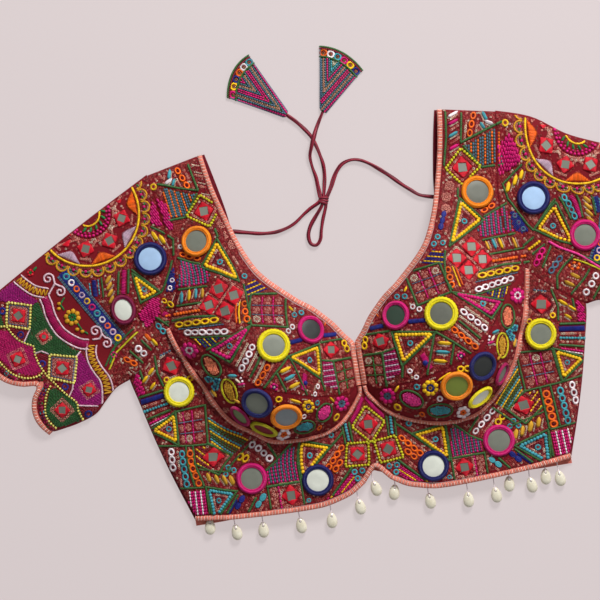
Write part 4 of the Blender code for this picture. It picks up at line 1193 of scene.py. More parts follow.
    def lower_cup(self) -> Stitches:
        """Sew the sparse motifs of the crescent below the bust seam."""
        n = self.needle()
        n.flower((170, 66), 8.4, 8, "magenta", "magenta", "white")
        n.loops(path(176, 74, 187, 87), "yellow", (8, 5.4), 7.8)
        n.seeded((156, 47), (6.8, 12), math.radians(-10), "peach")
        n.seeded((146, 19), (5.8, 12.4), math.radians(-8), "gold", "lime")
        n.leaf((141, 34), 0.2, "teal", 8, 3.2)
        n.leaf((137, 28), 0.9, "cream", 7, 2.4, False)
        n.leaf((134, 24), 0.1, "magenta", 8, 3)
        for place in path(155, 31, 161, 34, 157, 25):
            n.flower(place, 3.6, 5, "teal", "teal", "navy")
        n.leaf((159, 19), 1.2, "gold", 9, 2.8)
        n.leaf((141, 8), 0.8, "gold", 8, 2.6, False)
        n.knots(path(134, 32, 131, 22), "white", 2.4, 3)
        n.loops(path(96, 3.5, 110, 2), "yellow", (7, 6), 7)
        n.leaf((82, -2), 0.45, "yellow", 15, 3.6)
        n.leaf((70, 0), 0.2, "cream", 9, 2.6)
        n.flower((67, -11), 8.6, 8, "yellow", "gold", "navy")
        n.eyelets(path(54, -8), "teal", 6.6)
        n.flower((24, -13), 8.4, 8, "magenta", "slate", "slate")
        n.knots(path(18, -4, 30, -4), "slate", 2.6, 3)
        n.rings(path(32, -29, 32.5, -23), "yellow", 7.6, 8)
        for x, y, angle in ((13, -10, 2.0), (34, -7, 0.9), (15, -20, 2.4)):
            n.leaf((x, y), angle, "yellow", 7.5, 2.8, False)
        n.seeded((47, -20), (12.5, 8), math.radians(-38), "pink")
        n.seeded((74, -36), (12.5, 7), math.radians(-8), "teal")
        n.eyelets(path(75, -23.5), "white", 6.6)
        n.rings(path(53, -38, 58, -36), "orange", 6, 6.5)
        n.eyelets(path(40, 0), "orange", 6)
        n.flower((97, -42), 7.0, 7, "white", "orange", "orange")
        n.rosette(np.array((94, -31)), 4.6, "blush")
        n.loops(path(122, -36, 131, -31), "gold", (6, 3.4), 5.6)
        for place in path(122, 15, 88, -1, 58, -28, 86, -32, 130, -14, 166, 42, 152, 0):
            n.rosette(place, 3.2, "blush")
        return n.work

    def band(self) -> Stitches:
        """Sew half of the band, centre to side."""
        n = self.needle()
        self.band_centre(n)
        self.band_middle(n)
        self.side_top(n)
        self.side_foot(n)
        return n.work

    def band_centre(self, n: Needle) -> None:
        """Sew the band beside the centre line."""
        n.bar(path(1.5, -11, 9, -24, 17, -34), "magenta", 5.4, 0.5, 1.6)
        n.knots(path(23.5, -34, 22.5, -53), "teal", 3.6, 3.3)
        n.stem(path(19.6, -34, 18.8, -54))
        n.stem(path(27.4, -36, 26.4, -55))
        n.beaded(path(3, -57, 25, -55, 30, -78, 6, -80), 9.0, "lime")
        n.stem(path(27, -42, 44, -58, 62, -76))
        n.eyelets(path(14, -85, 22, -85, 20, -92, 41, -45), "teal", 6.6)
        n.loops(path(29, -56, 50, -80), "orange", (8, 5.6), 8.0)
        n.loops(path(33, -71, 43, -82), "orange", (8, 5.6), 8.0)
        n.sequins(path(33, -55, 54, -77))
        n.sequins(path(31, -78, 41, -91))
        n.stem(path(24, -80, 48, -105))
        n.stripes(path(22, -84, 42, -101, 60, -110, 38, -111, 23, -98), math.radians(-42),
                  ("yellow", "magenta", "magenta"), 1.8)
        n.framed(path(45, -57, 76, -53, 75, -87), "yellow", "teal")

    def band_middle(self, n: Needle) -> None:
        """Sew the band between the navy and the pink mirror."""
        n.eyelets(path(73, -106, 69, -110), "teal", 5)
        n.stem(path(78, -54, 78, -111), "green", 2.2)
        n.weave(path(81, -56, 88, -56, 111, -73, 110, -86, 80, -87), math.radians(90), ("magenta", "slate"),
                2.1)
        n.stem(path(86, -53, 101, -68, 113, -75))
        n.stem(path(112, -50, 100, -64))
        n.square((90, -98.5), 9, math.radians(2))
        for reach in (9.4, 11.0):
            n.sequins(looped(np.array((90, -98)) + path(-1, 1, 1, 1, 1, -1, -1, -1) * reach))
        n.straight(path(101.5, -88, 101.5, -110), "magenta", 2.2)
        for place in path(107, -92, 107, -106, 107, -99):
            n.rosette(place, 4.4, "blush")
        n.stem(path(80, -87.5, 113, -87.5))
        n.stem(path(112.5, -88, 112.5, -110), "green", 2.0)
        n.coils(path(116, -93, 133, -110), "teal", 7.0, 7.0)
        n.sequins(path(116, -99, 126, -110))
        n.stem(path(126, -95, 138, -110))
        n.loops(path(131, -44, 104, -67), "white", (7.6, 5.4), 8.4)
        n.sequins(path(121, -45, 102, -60))
        n.sequins(path(134, -50, 112, -70))
        n.stem(path(128, -43, 150, -64))
        n.loops(path(139, -52, 129, -61), "yellow", (7, 6.4), 7.4)
        n.coils(path(138, -91, 153, -108), "navy", 7.0, 6.6)
        n.bar(path(146, -93, 158, -106), "navy", 5.0)
        n.stem(path(144, -89, 161, -108))
        n.eyelets(path(147, -60, 142.5, -65, 151, -66), "teal", 6)
        n.scatter(path(92, -54, 102, -54, 97, -60, 92, -58), "maroon", 3)

    def side_top(self, n: Needle) -> None:
        """Sew the side under the arm, beside the cup."""
        for x, y, angle in ((194, 80, 1.2), (200, 76, 0.9), (205, 72, 1.1)):
            n.leaf((x, y), angle, "orange", 9, 4.4)
        n.loops(path(205, 80, 220, 95), "teal", (7, 5.6), 7.4)
        n.straight(path(188, 69, 201, 65), "slate", 2.4)
        n.square((192, 53), 9.4, math.radians(-12))
        ring = path(181, 62, 192, 68, 203, 62, 206, 50, 197, 41, 184, 43, 178, 52)
        n.sequins(looped(ring))
        n.sequins(looped(ring) * 0.82 + np.array((192, 53)) * 0.18, "maroon")
        n.stem(path(206, 66, 208, 48, 205, 34))
        for place in path(219, 66, 217.5, 59, 214, 51):
            n.leaf(place, math.radians(-42), "yellow", 10, 3.8)
        for place in path(222, 44, 216, 36):
            n.leaf(place, math.radians(-42), "yellow", 9, 3.4)
        n.rings(path(246, 67, 231, 47), "white", 7.6, 8)
        n.stem(path(237, 72, 225, 56, 224, 44))
        n.stem(path(250, 62, 238, 50))
        n.block(path(227, 52, 234, 50, 233, 28, 225, 30), math.radians(120), "magenta")
        n.eyelets(path(236, 38), "teal", 6)
        n.rings(path(174, 33, 180, 42), "yellow", 6.6, 9)
        n.rings(path(197, 40.5, 204, 39), "yellow", 6.6, 8)
        n.scatter(path(160, 5, 175, 30, 180, 12, 172, 6), "blush", 2.6)
        n.bar(path(204, 25, 233, 21), "navy", 6.6)
        n.sequins(path(205, 20, 231, 16))
        n.knots(path(203, 16, 230, 11), "teal", 3.0, 3.1)
        n.sequins(path(203, 12, 228, 7))
        n.stem(path(202, 9, 227, 3))
        n.straight(path(203, 5, 226, -2), "magenta", 2.4)
        n.straight(path(204, 2.6, 225, -4.4), "white", 1.4)
        n.stem(path(206, 30, 234, 26))
        n.grid(path(162, 6, 192, 5, 194, -28, 165, -30), (3, 3), ("magenta", "slate"))
        n.stem(path(160, 8, 194, 6, 198, -29, 163, -32, 160, 8), "green", 2.0)

    def side_foot(self, n: Needle) -> None:
        """Sew the side down to the hem."""
        n.framed(path(197, 4, 224, -9, 200, -26), "yellow", "teal")
        n.stem(path(198, -29, 220, -26), "green", 2)
        n.stripes(path(160, -2, 161, -30, 143, -50, 131, -40), math.radians(50),
                  ("yellow", "teal", "green", "green"), 1.8)
        n.square((159, -46), 9.4, math.radians(8))
        frame = path(161, -32, 174, -45, 159, -62, 146, -48)
        n.sequins(looped(frame))
        n.stem(path(163, -31, 143, -48, 158, -65, 176, -51))
        n.stripes(path(166, -34, 176, -34, 176, -58, 163, -62), math.radians(48),
                  ("yellow", "maroon", "maroon"), 1.8)
        n.stem(path(176.5, -31, 179, -74), "green", 2.4)
        n.loops(path(181, -35, 184, -74), "orange", (7.8, 7.2), 7.6)
        n.stem(path(186.5, -31, 189.5, -73), "green", 2.2)
        n.loops(path(195, -34, 198, -73), "teal", (8, 6), 8.4)
        n.sequins(path(201, -29, 204, -72))
        n.loops(path(208, -30, 210, -62), "white", (7.8, 6), 8)
        n.sequins(path(213, -31, 214, -44))
        n.stem(path(180, -75, 211, -72), "green", 2)
        n.stripes(path(180, -77, 197, -76, 200, -90, 197, -109, 180, -110), math.radians(93),
                  ("magenta", "white", "magenta"), 2.0)
        n.framed(path(176, -77, 147, -86, 174, -110), "teal", "teal")
        n.stem(path(178, -76, 178.5, -110), "green", 2.2)
        for place in path(170, -66, 162, -69, 154, -71.5, 147, -74):
            n.leaf(place, math.radians(72), "gold", 11, 5.0)
        n.stem(path(144, -65, 176, -56), "green", 1.8)
        n.scatter(path(190, -110, 199, -92, 196, -76, 192, -90), "blush", 3)

    def sleeve(self) -> Stitches:
        """Sew a whole sleeve, armhole to cuff."""
        n = self.needle()
        self.beside_armhole(n)
        self.medallion(n)
        self.eyelet_strip(n)
        self.ladder(n)
        self.cuff(n)
        return n.work

    def beside_armhole(self, n: Needle) -> None:
        """Sew the head of the sleeve."""
        n.block(path(179, 228, 167, 217, 164, 190, 175, 195, 187, 202, 184, 217), math.radians(62), "magenta")
        n.eyelets(path(177, 237), "yellow", 7.6)
        n.stem(path(186, 197, 176, 190, 166, 181, 168, 165, 174.5, 150, 182, 136, 187, 129))
        for place in path(184, 187, 177, 182.5, 169.5, 177):
            n.leaf(place, math.radians(67), "yellow", 11, 4.6)
        n.rosette(np.array((189, 142)), 5.0, "blush")
        n.ground(path(168, 152, 174, 149, 183, 129, 175, 127, 168, 133), math.radians(-62), "navy")
        open_left = self.half is Half.LEFT
        n.eyelets(path(171, 147, 173.5, 139.5, 177, 132), "slate" if open_left else "white", 5.8)
        n.framed(path(212, 151, 190.5, 130, *((220, 109) if open_left else (208, 124.5))), "yellow", "teal")
        n.stem(path(187, 129, 200, 143, 213, 157))
        way = 3.5 if open_left else 0.0
        n.bar(path(220.5 + way, 158, 225.5 + way, 134), "magenta", 5.6, 0.1, 1.5)
        n.stem(path(216, 158, 220.5, 134))
        n.stem(path(226.5 + way, 157, 231, 134))
        for y in (151, 144, 137, 130):
            n.leaf((238.5, y), math.radians(-50), "gold", 10, 4.2)
        n.stem(path(245, 154, 246, 134), "green", 1.8)
        n.bar(path(253, 153, 254, 136), "navy", 6, 0.1, 1.4)
        n.straight(path(248.6, 153, 249.6, 137), "teal", 1.5)
        n.straight(path(258, 151, 258.4, 138), "teal", 1.5)
        if open_left:
            self.under_left_arm(n)
        else:
            self.under_right_arm(n)
        n.stem(path(218, 93, 243, 76, 254, 60), "lime", 1.7)
        n.stem(path(222, 97, 246, 80, 257, 64), "green", 2.0)

    def under_left_arm(self, n: Needle) -> None:
        """Sew the left sleeve between its framed triangle and the underarm."""
        n.loops(path(218.5, 160, 224, 133), "teal", (7.5, 5.4), 7.0)
        n.stem(path(201, 115, 216.5, 102, 240, 80), "pink", 2.6)
        n.knots(path(178.5, 110, 192, 117), "yellow", 3.4, 3.2)
        n.stem(path(174, 115, 186, 122))
        n.stem(path(182, 105, 196, 113))
        n.loops(path(194, 109, 183, 93), "magenta", (8, 6), 7.5)
        n.stem(path(202, 110, 190, 90))
        n.loops(path(211, 98, 196, 83), "slate", (8, 6), 7.5)
        n.stem(path(218, 96, 203, 79, 200, 66))
        n.flower((218, 86), 4.8, 5, "orange", "cream", "salmon")
        for place in path(217, 76, 212, 69):
            n.leaf(place, math.radians(-39), "gold", 11, 4.4)
        n.rings(path(237, 76, 218, 54), "white", 8, 8.4)
        n.stem(path(229, 80, 211, 58))
        n.stem(path(244, 71, 226, 50))

    def under_right_arm(self, n: Needle) -> None:
        """Sew the right sleeve between its framed triangle and the underarm."""
        n.block(path(199, 125, 190, 125, 192, 108, 208, 95, 215, 111), math.radians(35), "magenta")
        n.loops(path(188, 122.5, 176, 113), "yellow", (7, 5), 6.5)
        n.bar(path(189, 108, 179, 100), "magenta", 7, 0.2, 1.7)
        n.stem(path(197, 106, 185, 94))
        n.loops(path(197, 98, 190, 87), "teal", (7, 5.4), 7)
        n.bar(path(202, 71.5, 185, 79), "orange", 7.5, 0.2, 1.8)
        n.leaf((208, 86), 1.0, "orange", 9, 4.4)
        n.leaf((202.5, 80), 1.1, "yellow", 9, 4)
        n.rings(path(222, 79, 206, 56), "white", 7.8, 8)
        n.stem(path(215, 84, 199, 60))
        n.stem(path(229, 75, 213, 52))
        n.loops(path(237, 69, 226, 60), "orange", (8, 5.6), 7.6)
        n.leaf((229, 55), 0.8, "teal", 9, 4)

    def medallion(self, n: Needle) -> None:
        """Sew the great half rosette on the sleeve's fold."""
        def around(reach: float, start: float, end: float, count: int) -> Array:
            """Return points on an arc about the middle, from one angle in degrees to another."""
            return MEDALLION + reach * aim(np.radians(np.linspace(start, end, count)))

        n.stem(around(53, 146, 352, 60), "yellow", 2.4)
        for turn in np.linspace(157, 343, 16):
            middle = around(58.6, turn, turn, 1)[0]
            rim = aim(np.radians(turn + np.linspace(-112, 112, 13)))
            n.stem(middle + 5.6 * rim, "ochre", 1.9)
            n.sequins(middle + 3.9 * rim, "petal", 1.8, 1.8)
            n.work.add(Shape.KNOT, middle, 0.0, (3.6, 3.6, 2.4), "magenta", 0.6)
            for side in (-75, 75):
                heading = math.radians(turn + side)
                n.leaf(middle + 2.6 * aim(heading), heading, "leaf", 3.4, 1.8, False)
        for dye, turn in (("orange", 176), ("lilac", 217), ("orange", 260), ("lilac", 302), ("orange", 341)):
            for off in np.linspace(-1, 1, 17):
                length = 1.5 + 9.5 * math.cos(off * math.pi / 2)
                heading = turn + 13.0 * off
                n.work.add(Shape.SATIN, around(51.5 - length / 2, heading, heading, 1), math.radians(heading),
                           (length, 1.6, 1.5), dye, 0.5)
        for turn in (156, 196, 239, 282, 323):
            place = around(35.5, turn, turn, 1)[0]
            n.square(place, 8.4, math.radians(turn + 12))
            n.sequins(around(46, turn - 7, turn + 7, 5), "petal")
        for reach in (29, 26.5):
            n.sequins(around(reach, 148, 352, 60), "blush")
        corners = [around(44 if k % 2 else 28, turn, turn, 1)
                   for k, turn in enumerate(np.linspace(135, 344, 11))]
        n.sequins(np.vstack(corners), "petal")
        n.work.add(Shape.KNOT, around(22.5, 150, 345, 20), 0.0, (3.2, 3.2, 2.2), "magenta", 0.6)
        n.work.add(Shape.KNOT, around(19.6, 154, 340, 15), 0.0, (2.6, 2.6, 2.0), "magenta", 0.6)
        for turn in np.linspace(155, 335, 9):
            n.leaf(around(16.4, turn, turn, 1)[0], math.radians(turn + 25), "leaf", 6, 2.6, False)
        n.stem(around(12.2, 150, 345, 14), "yellow", 1.9)
        spokes = np.radians(np.linspace(160, 330, 9))
        n.work.add(Shape.SATIN, around(6.4, 160, 330, 9), spokes, (9, 3.2, 2.0), "navy", 0.5)

    def eyelet_strip(self, n: Needle) -> None:
        """Sew the navy strip of eyelets across the sleeve."""
        start, end = np.array((283.0, 166.0)), np.array((236.0, 86.0))
        run = (end - start) / np.linalg.norm(end - start)
        left = np.array((-run[1], run[0]))
        for off in (7.2, 5.8, -5.8, -7.2):
            n.straight(np.array((start, end)) + left * off, "slate", 1.6)
        n.ground(np.array((start + left * 4.9, end + left * 4.9, end - left * 4.9, start - left * 4.9)),
                 math.atan2(run[1], run[0]), "navy")
        dyes = ("teal", "white", "orange", "lilac", "yellow", "magenta")
        for number in range(11):
            n.eyelets((start + run * (5.7 + number * 8.2))[None], dyes[number % len(dyes)], 7.8)
        # flowers of the maroon ground beyond the strip
        n.flower((281, 119), 9.0, 8, "ochre", "leaf", "leaf")
        n.work.add(Shape.KNOT, path(292, 135, 293, 130, 278, 106, 273, 103), 0.0, (4.6, 4.0, 2.6), "ochre",
                   0.6)
        n.stem(path(288, 128, 291, 134, 286, 140), "leaf", 1.7)
        n.stem(path(277, 113, 273, 104, 268, 100), "leaf", 1.5)
        n.flower((316, 171), 3.8, 5, "red", "leaf", "leaf")
        n.leaf((311, 174), 2.4, "leaf", 6, 2.6, False)
        n.flower((246, 74), 3.6, 5, "magenta", "leaf", "leaf")
        n.stem(path(240, 88, 247, 76, 252, 66), "leaf", 1.4)

    def ladder(self, n: Needle) -> None:
        """Sew the ladder bands and the white scrolls that close the maroon ground."""
        for line, dye, width in ((path(331, 168, 322, 158.5, 314, 152, 302, 147.5), "ochre", 9.0),
                                 (path(306, 144, 304, 136, 303, 126, 300, 116, 295, 106, 286, 97, 277, 91,
                                       269, 89),
                                  "rose", 9.0),
                                 (path(266, 88, 268, 81, 268, 72, 265, 62, 261, 53, 260, 45, 261, 36,
                                       263, 26),
                                  "ochre", 8.6)):
            smooth = smooth_line(line, 40)
            pitch = 2.0 if dye == "ochre" else 1.5
            places, angles = along(smooth, pitch)
            lean = np.where(np.arange(len(places)) % 2, 0.22, -0.22) if dye == "ochre" else 0.0
            n.work.add(Shape.SATIN, places, angles + math.pi / 2 + lean, (width, 1.6, 1.6), dye, 0.5)
            for side in (-1, 1):
                n.stem(moved(smooth, side * (width / 2 + 0.5)), "blanch", 1.6)
        for x, y, turn, way in ((299, 162, 165, -1), (289, 147, 95, 1), (260, 101, 175, -1),
                                (251, 87, 90, 1)):
            t = np.linspace(0, 1, 24)
            reach = 5.8 * (1 - 0.85 * t)
            angle = math.radians(turn) + way * t * 2.5 * math.pi
            n.stem((x, y) + reach[:, None] * aim(angle), "blanch", 1.9)
        for tail in (path(293.4, 163.5, 293, 156, 297, 151, 301, 146), path(293, 156, 288.5, 152.8),
                     path(254.2, 101.5, 254, 97, 257, 93, 264, 93), path(254, 97, 251, 92.8)):
            n.stem(tail, "blanch", 1.9)

    def cuff(self, n: Needle) -> None:
        """Sew the grounds, frames and border of the cuff."""
        slant = math.radians(-14)
        for dye, outline in (
                ("plum", path(337, 164, 324, 150, 313, 141, 320, 138, 331, 142, 351, 147, 356, 152,
                              352, 160)),
                ("forest", path(313, 140, 309, 121, 301, 103, 288, 88, 279, 83, 284, 78, 311, 86, 325, 89,
                                325, 96, 335, 101, 326, 114, 320, 138)),
                ("rose", path(368, 108, 362, 118, 349, 116, 343, 107, 326, 96, 326, 89, 321, 70, 329, 67,
                              338, 68, 348, 73, 355, 80, 364, 92)),
                ("plum", path(279, 82, 275, 72, 268, 56, 265, 41, 268, 26, 274, 25, 290, 29, 296, 39,
                              290, 52, 284, 78)),
                ("forest", path(312, 51, 300, 41, 291, 31, 288, 14, 300, 11, 317, 10, 324, 23, 324, 31,
                                317, 49)),
                ("forest", path(357, 152, 374, 146, 388, 134, 374, 122, 366, 112, 352, 122, 354, 140)),
                ("maroon", path(346, 117, 326, 114, 330, 108, 334, 102, 341, 105)),
                ("maroon", path(324, 87, 311, 85, 315, 64, 319, 69, 323, 79)),
                ("maroon", path(311, 60, 290, 52, 293, 46, 298, 39, 305, 47)),
                ("maroon", path(289, 27, 271, 23, 271, 16, 281, 12, 288, 14))):
            n.ground(outline, slant, dye)
        for frame in (path(344, 145, 321, 138, 326, 114, 349, 122), path(310, 85, 283, 78, 290, 52, 315, 62)):
            n.ground(frame, slant, "maroon")
            n.knots(looped(frame), "straw", 2.9, 3.2)
            inner = shrunk(frame, 2.3)
            n.straight(looped(inner), "slate", 1.3)
            for distance in (4.0, 6.2):
                ring = shrunk(frame, distance)
                n.sequins(looped(ring), "petal" if distance < 5 else "blush", 2.3, 2.5)
            run = frame[1] - frame[0]
            n.square(frame.mean(0), 8.2, math.atan2(run[1], run[0]) + math.pi / 4)
        n.pane((343, 86), 9.4, 7.8, slant)
        n.pane((307, 27), 9.4, 7.4, slant - 0.35)
        n.pane((313, 104), 6.2, 4.6, slant - 0.2)
        n.pane((277, 43), 7.6, 6.2, slant - 0.15)
        n.pane((371, 134), 7.6, 6.4, slant)
        for place in path(336, 110, 319, 77, 300, 50, 282, 18.5, 350.5, 137):
            n.eyelets(place[None], "navy", 8.2)
        for line in (path(362, 121, 350, 121, 345, 113, 339, 105, 332, 100, 325, 96, 325, 89, 323, 79,
                          319, 69, 315, 62, 309, 54, 300, 42, 291, 32, 291, 24, 288, 13),
                     path(372, 106, 367, 94, 360, 83, 354, 75, 347, 69, 337, 65, 327, 65, 320, 68),
                     path(314, 54, 319, 47, 322, 40, 324, 31, 324, 22, 320, 14, 316, 9),
                     path(384, 141, 373, 122, 364, 114)):
            n.knots(smooth_line(line, 60), "straw", 2.5, 3.1)
        for line in (path(326, 114, 330, 108, 334, 102), path(325, 89, 318, 90, 311, 86),
                     path(284, 78, 293, 46, 298, 39), path(290, 29, 272, 25), path(338, 164, 353, 160),
                     path(279, 83, 284, 78)):
            n.stem(line, "blanch", 1.3)
        for edge in (path(389, 131, 380, 122, 372, 112),
                     path(373, 101, 368, 90, 362, 80, 356, 72.5, 349, 66.5, 342, 62.5,
                                                             333, 60, 326, 61, 320, 63.5),
                     path(317, 56.5, 322, 50, 326, 43, 328, 34, 327, 24, 324, 15, 319, 8)):
            smooth = smooth_line(edge, 24)
            n.straight(smooth, "maroon", 4.0)
            places, _ = along(smooth, 5.0)
            for number, place in enumerate(places):
                n.eyelets(place[None], ("rose", "teal", "navy", "magenta", "leaf")[number % 5], 4.9)


# ------------------------------------------------------------------ shader maths
class Wire:
    """A socket's output that can be added, multiplied and so on to make Math nodes."""

    def __init__(self, shader: "Shader", socket: bpy.types.NodeSocket) -> None:
        """Wrap a socket of a shader's tree."""
        self.shader = shader
        self.socket = socket

    def _math(self, operation: str, first: "Wire | float", second: "Wire | float") -> "Wire":
        """Return a Math node's value."""
        return self.shader.node("ShaderNodeMath", {"operation": operation}, {0: first, 1: second})

    def __add__(self, other: "Wire | float") -> "Wire":
        """Return the sum."""
        return self._math("ADD", self, other)

    __radd__ = __add__

    def __mul__(self, other: "Wire | float") -> "Wire":
        """Return the product."""
        return self._math("MULTIPLY", self, other)

    __rmul__ = __mul__


Given = Wire | float | Sequence[float] | None
WAVES_A_UNIT = 3.2          # a wave texture of scale 1 has about this many bands in a unit


class Shader:
    """One material's node tree, round a Principled shader."""

    def __init__(self, name: str, **constants: float | Sequence[float]) -> None:
        """Start a material.

        Args:
            name: Its name.
            constants: Values of the shader's own sockets, with underscores for spaces.
        """
        self.material = bpy.data.materials.new(name)
        self.material.use_nodes = True
        self.tree = self.material.node_tree
        self.surface = self.tree.nodes["Principled BSDF"]
        for key, value in constants.items():
            self.surface.inputs[key.replace("_", " ").title().replace("Ior", "IOR")].default_value = value

    def node(self, kind: str, settings: dict[str, object] | None = None,
             inputs: dict[str | int, Given] | None = None, output: str | int = 0) -> Wire:
        """Add a node.

        Args:
            kind: The node's type.
            settings: Its settings.
            inputs: Values or wires of its sockets.
            output: Which output is wanted.

        Returns:
            That output.
        """
        made = self.tree.nodes.new(kind)
        for key, value in (settings or {}).items():
            setattr(made, key, value)
        for key, value in (inputs or {}).items():
            self.feed(made.inputs[key], value)
        return Wire(self, made.outputs[output])

    def feed(self, socket: bpy.types.NodeSocket, value: Given) -> None:
        """Link a wire to a socket, or set the socket's value."""
        if isinstance(value, Wire):
            self.tree.links.new(value.socket, socket)
        elif value is not None:
            size = len(socket.default_value) if hasattr(socket.default_value, "__len__") else 0
            socket.default_value = (*value, 1.0) if size == 4 and len(value) == 3 else value

    def place(self) -> Wire:
        """Return the point on the object, in metres."""
        return self.node("ShaderNodeTexCoord", output="Object")

    def attribute(self, name: str, output: str = "Color") -> Wire:
        """Return an attribute of the mesh."""
        return self.node("ShaderNodeAttribute", {"attribute_name": name}, output=output)

    def noise(self, pitch_mm: float, detail: float = 2.0) -> Wire:
        """Return smooth noise of a pitch in millimetres, about a half."""
        return self.node("ShaderNodeTexNoise", {}, {"Vector": self.place(), "Scale": 1000 / pitch_mm,
                                                    "Detail": detail, "Roughness": 0.55})

    def turned_place(self, turn: float) -> Wire:
        """Return the point on the object, turned about Z."""
        return self.node("ShaderNodeMapping", {}, {"Vector": self.place(), "Rotation": (0, 0, turn)})

    def mix(self, share: Given, first: Given, second: Given) -> Wire:
        """Return a mix of two colours."""
        made = self.tree.nodes.new("ShaderNodeMix")
        made.data_type = "RGBA"
        self.feed(made.inputs[0], share)
        self.feed(made.inputs[6], first)
        self.feed(made.inputs[7], second)
        return Wire(self, made.outputs[2])

    def shade(self, colour: Given, amount: Wire) -> Wire:
        """Return a colour made lighter or darker by a value about 1."""
        return self.node("ShaderNodeVectorMath", {"operation": "SCALE"}, {0: colour, "Scale": amount})

    def weave(self, pitch_mm: float, off_grain: float = 0.3) -> Wire:
        """Return a plain weave's height from 0 to 1, turned off the grain a little."""
        scale = 1000 / pitch_mm / WAVES_A_UNIT
        bands = [self.node("ShaderNodeTexWave", {"bands_direction": way, "wave_profile": "SIN"},
                           {"Vector": self.turned_place(off_grain), "Scale": scale, "Distortion": 0.6,
                            "Detail": 1.0, "Detail Scale": 2.0}, "Fac") for way in ("X", "Y")]
        return bands[0] * 0.5 + bands[1] * 0.5

    def bump(self, height: Wire, depth_mm: float, strength: float = 1.0) -> None:
        """Feed a height to the surface's normal."""
        inputs = {"Height": height, "Distance": depth_mm * MM, "Strength": strength}
        self.feed(self.surface.inputs["Normal"], self.node("ShaderNodeBump", {}, inputs))

    def base(self, colour: Wire) -> None:
        """Feed the base colour."""
        self.feed(self.surface.inputs["Base Color"], colour)

    def rough(self, value: Wire) -> None:
        """Feed the roughness."""
        self.feed(self.surface.inputs["Roughness"], value)


# ------------------------------------------------------------------ finishes
@dataclass(frozen=True)
class WovenCloth:
    """Plain woven cloth with uneven dye and a little sheen."""

    name: str
    dye: str
    pitch: float = 0.55
    depth: float = 0.12
    sheen: float = 0.04

    def material(self) -> bpy.types.Material:
        """Return the finish's material."""
        made = Shader(self.name, sheen_weight=self.sheen, sheen_roughness=0.5, specular_ior_level=0.2)
        weave = made.weave(self.pitch)
        cloudy = made.noise(38.0, 3.0)
        fibres = made.noise(0.9, 2.0)
        dark = tuple(c * 0.62 for c in DYES[self.dye])
        made.base(made.shade(made.mix(cloudy, dark, DYES[self.dye]), weave * 0.30 + fibres * 0.35 + 0.68))
        made.rough(fibres * 0.2 + 0.66)
        made.bump(weave + fibres * 0.4, self.depth)
        return made.material


@dataclass(frozen=True)
class StrandedThread:
    """Embroidery thread that takes each stitch's own dye."""

    name: str = "stranded thread"

    def material(self) -> bpy.types.Material:
        """Return the finish's material."""
        made = Shader(self.name, sheen_weight=0.03, sheen_roughness=0.4, specular_ior_level=0.3)
        strands = made.noise(0.55, 2.0)
        worn = made.noise(14.0, 2.0)
        made.base(made.shade(made.attribute("dye"), strands * 0.95 + worn * 0.3 + 0.37))
        made.rough(strands * 0.3 + 0.36)
        made.bump(strands, 0.12)
        return made.material


@dataclass(frozen=True)
class Glossy:
    """A hard glossy finish that takes each piece's dye: the sequins' own colours, and on the mirrors a
    painted reflection.
    """

    name: str
    metallic: float
    roughness: float
    coat: float
    haze: float

    def material(self) -> bpy.types.Material:
        """Return the finish's material."""
        made = Shader(self.name, metallic=self.metallic, coat_weight=self.coat, coat_roughness=0.08)
        smear = made.noise(9.0, 3.0)
        specks = made.noise(1.6, 2.0)
        made.base(made.shade(made.attribute("dye"), smear * self.haze + (1.04 - self.haze / 2)))
        made.rough(smear * self.haze * 0.5 + specks * 0.06 + self.roughness)
        made.bump(made.noise(6.0, 1.0), 0.02, 0.4)
        return made.material


@dataclass(frozen=True)
class RibbedTape:
    """Red binding tape under its pale whipping."""

    name: str = "binding tape"

    def material(self) -> bpy.types.Material:
        """Return the finish's material."""
        made = Shader(self.name, sheen_weight=0.2, specular_ior_level=0.3)
        fibres = made.noise(0.7, 3.0)
        patches = made.noise(12.0, 2.0)
        made.base(made.shade(made.mix(patches, DYES["blush"], DYES["salmon"]), fibres * 0.6 + 0.6))
        made.rough(fibres * 0.2 + 0.6)
        made.bump(fibres, 0.15)
        return made.material


@dataclass(frozen=True)
class WoundRing:
    """Thread wound round a mirror's edge: fine strands across the ring."""

    name: str
    dye: str

    def material(self) -> bpy.types.Material:
        """Return the finish's material."""
        made = Shader(self.name, sheen_weight=0.03, sheen_roughness=0.35, specular_ior_level=0.45)
        around = made.attribute("around", "Fac")
        strands = made.node("ShaderNodeMath", {"operation": "SINE"}, {0: around * 2 * math.pi * 92})
        fuzz = made.noise(0.8, 3.0)
        tone = strands * 0.24 + fuzz * 0.9 + made.noise(7.0) * 0.35 + 0.36
        made.base(made.shade(DYES[self.dye], tone))
        made.rough(fuzz * 0.25 + 0.38)
        made.bump(strands * 0.5 + fuzz, 0.22)
        return made.material


@dataclass(frozen=True)
class RolledTube:
    """The dori's satin tube, twisted, with soft streaks along it."""

    name: str = "rolled dori"

    def material(self) -> bpy.types.Material:
        """Return the finish's material."""
        made = Shader(self.name, sheen_weight=0.12, sheen_roughness=0.4, specular_ior_level=0.4)
        twist = made.attribute("around", "Fac")
        streak = made.node("ShaderNodeMath", {"operation": "SINE"}, {0: twist * 2 * math.pi * 3})
        clouds = made.noise(9.0, 3.0)
        fibres = made.noise(0.5, 2.0)
        tone = made.mix(streak * 0.22 + clouds * 0.55 + 0.08, dyed(62, 4, 22), dyed(182, 26, 58))
        made.base(made.shade(tone, fibres * 0.4 + 0.8))
        made.rough(clouds * 0.2 + 0.42)
        made.bump(streak * 0.4 + fibres * 0.3, 0.3)
        return made.material


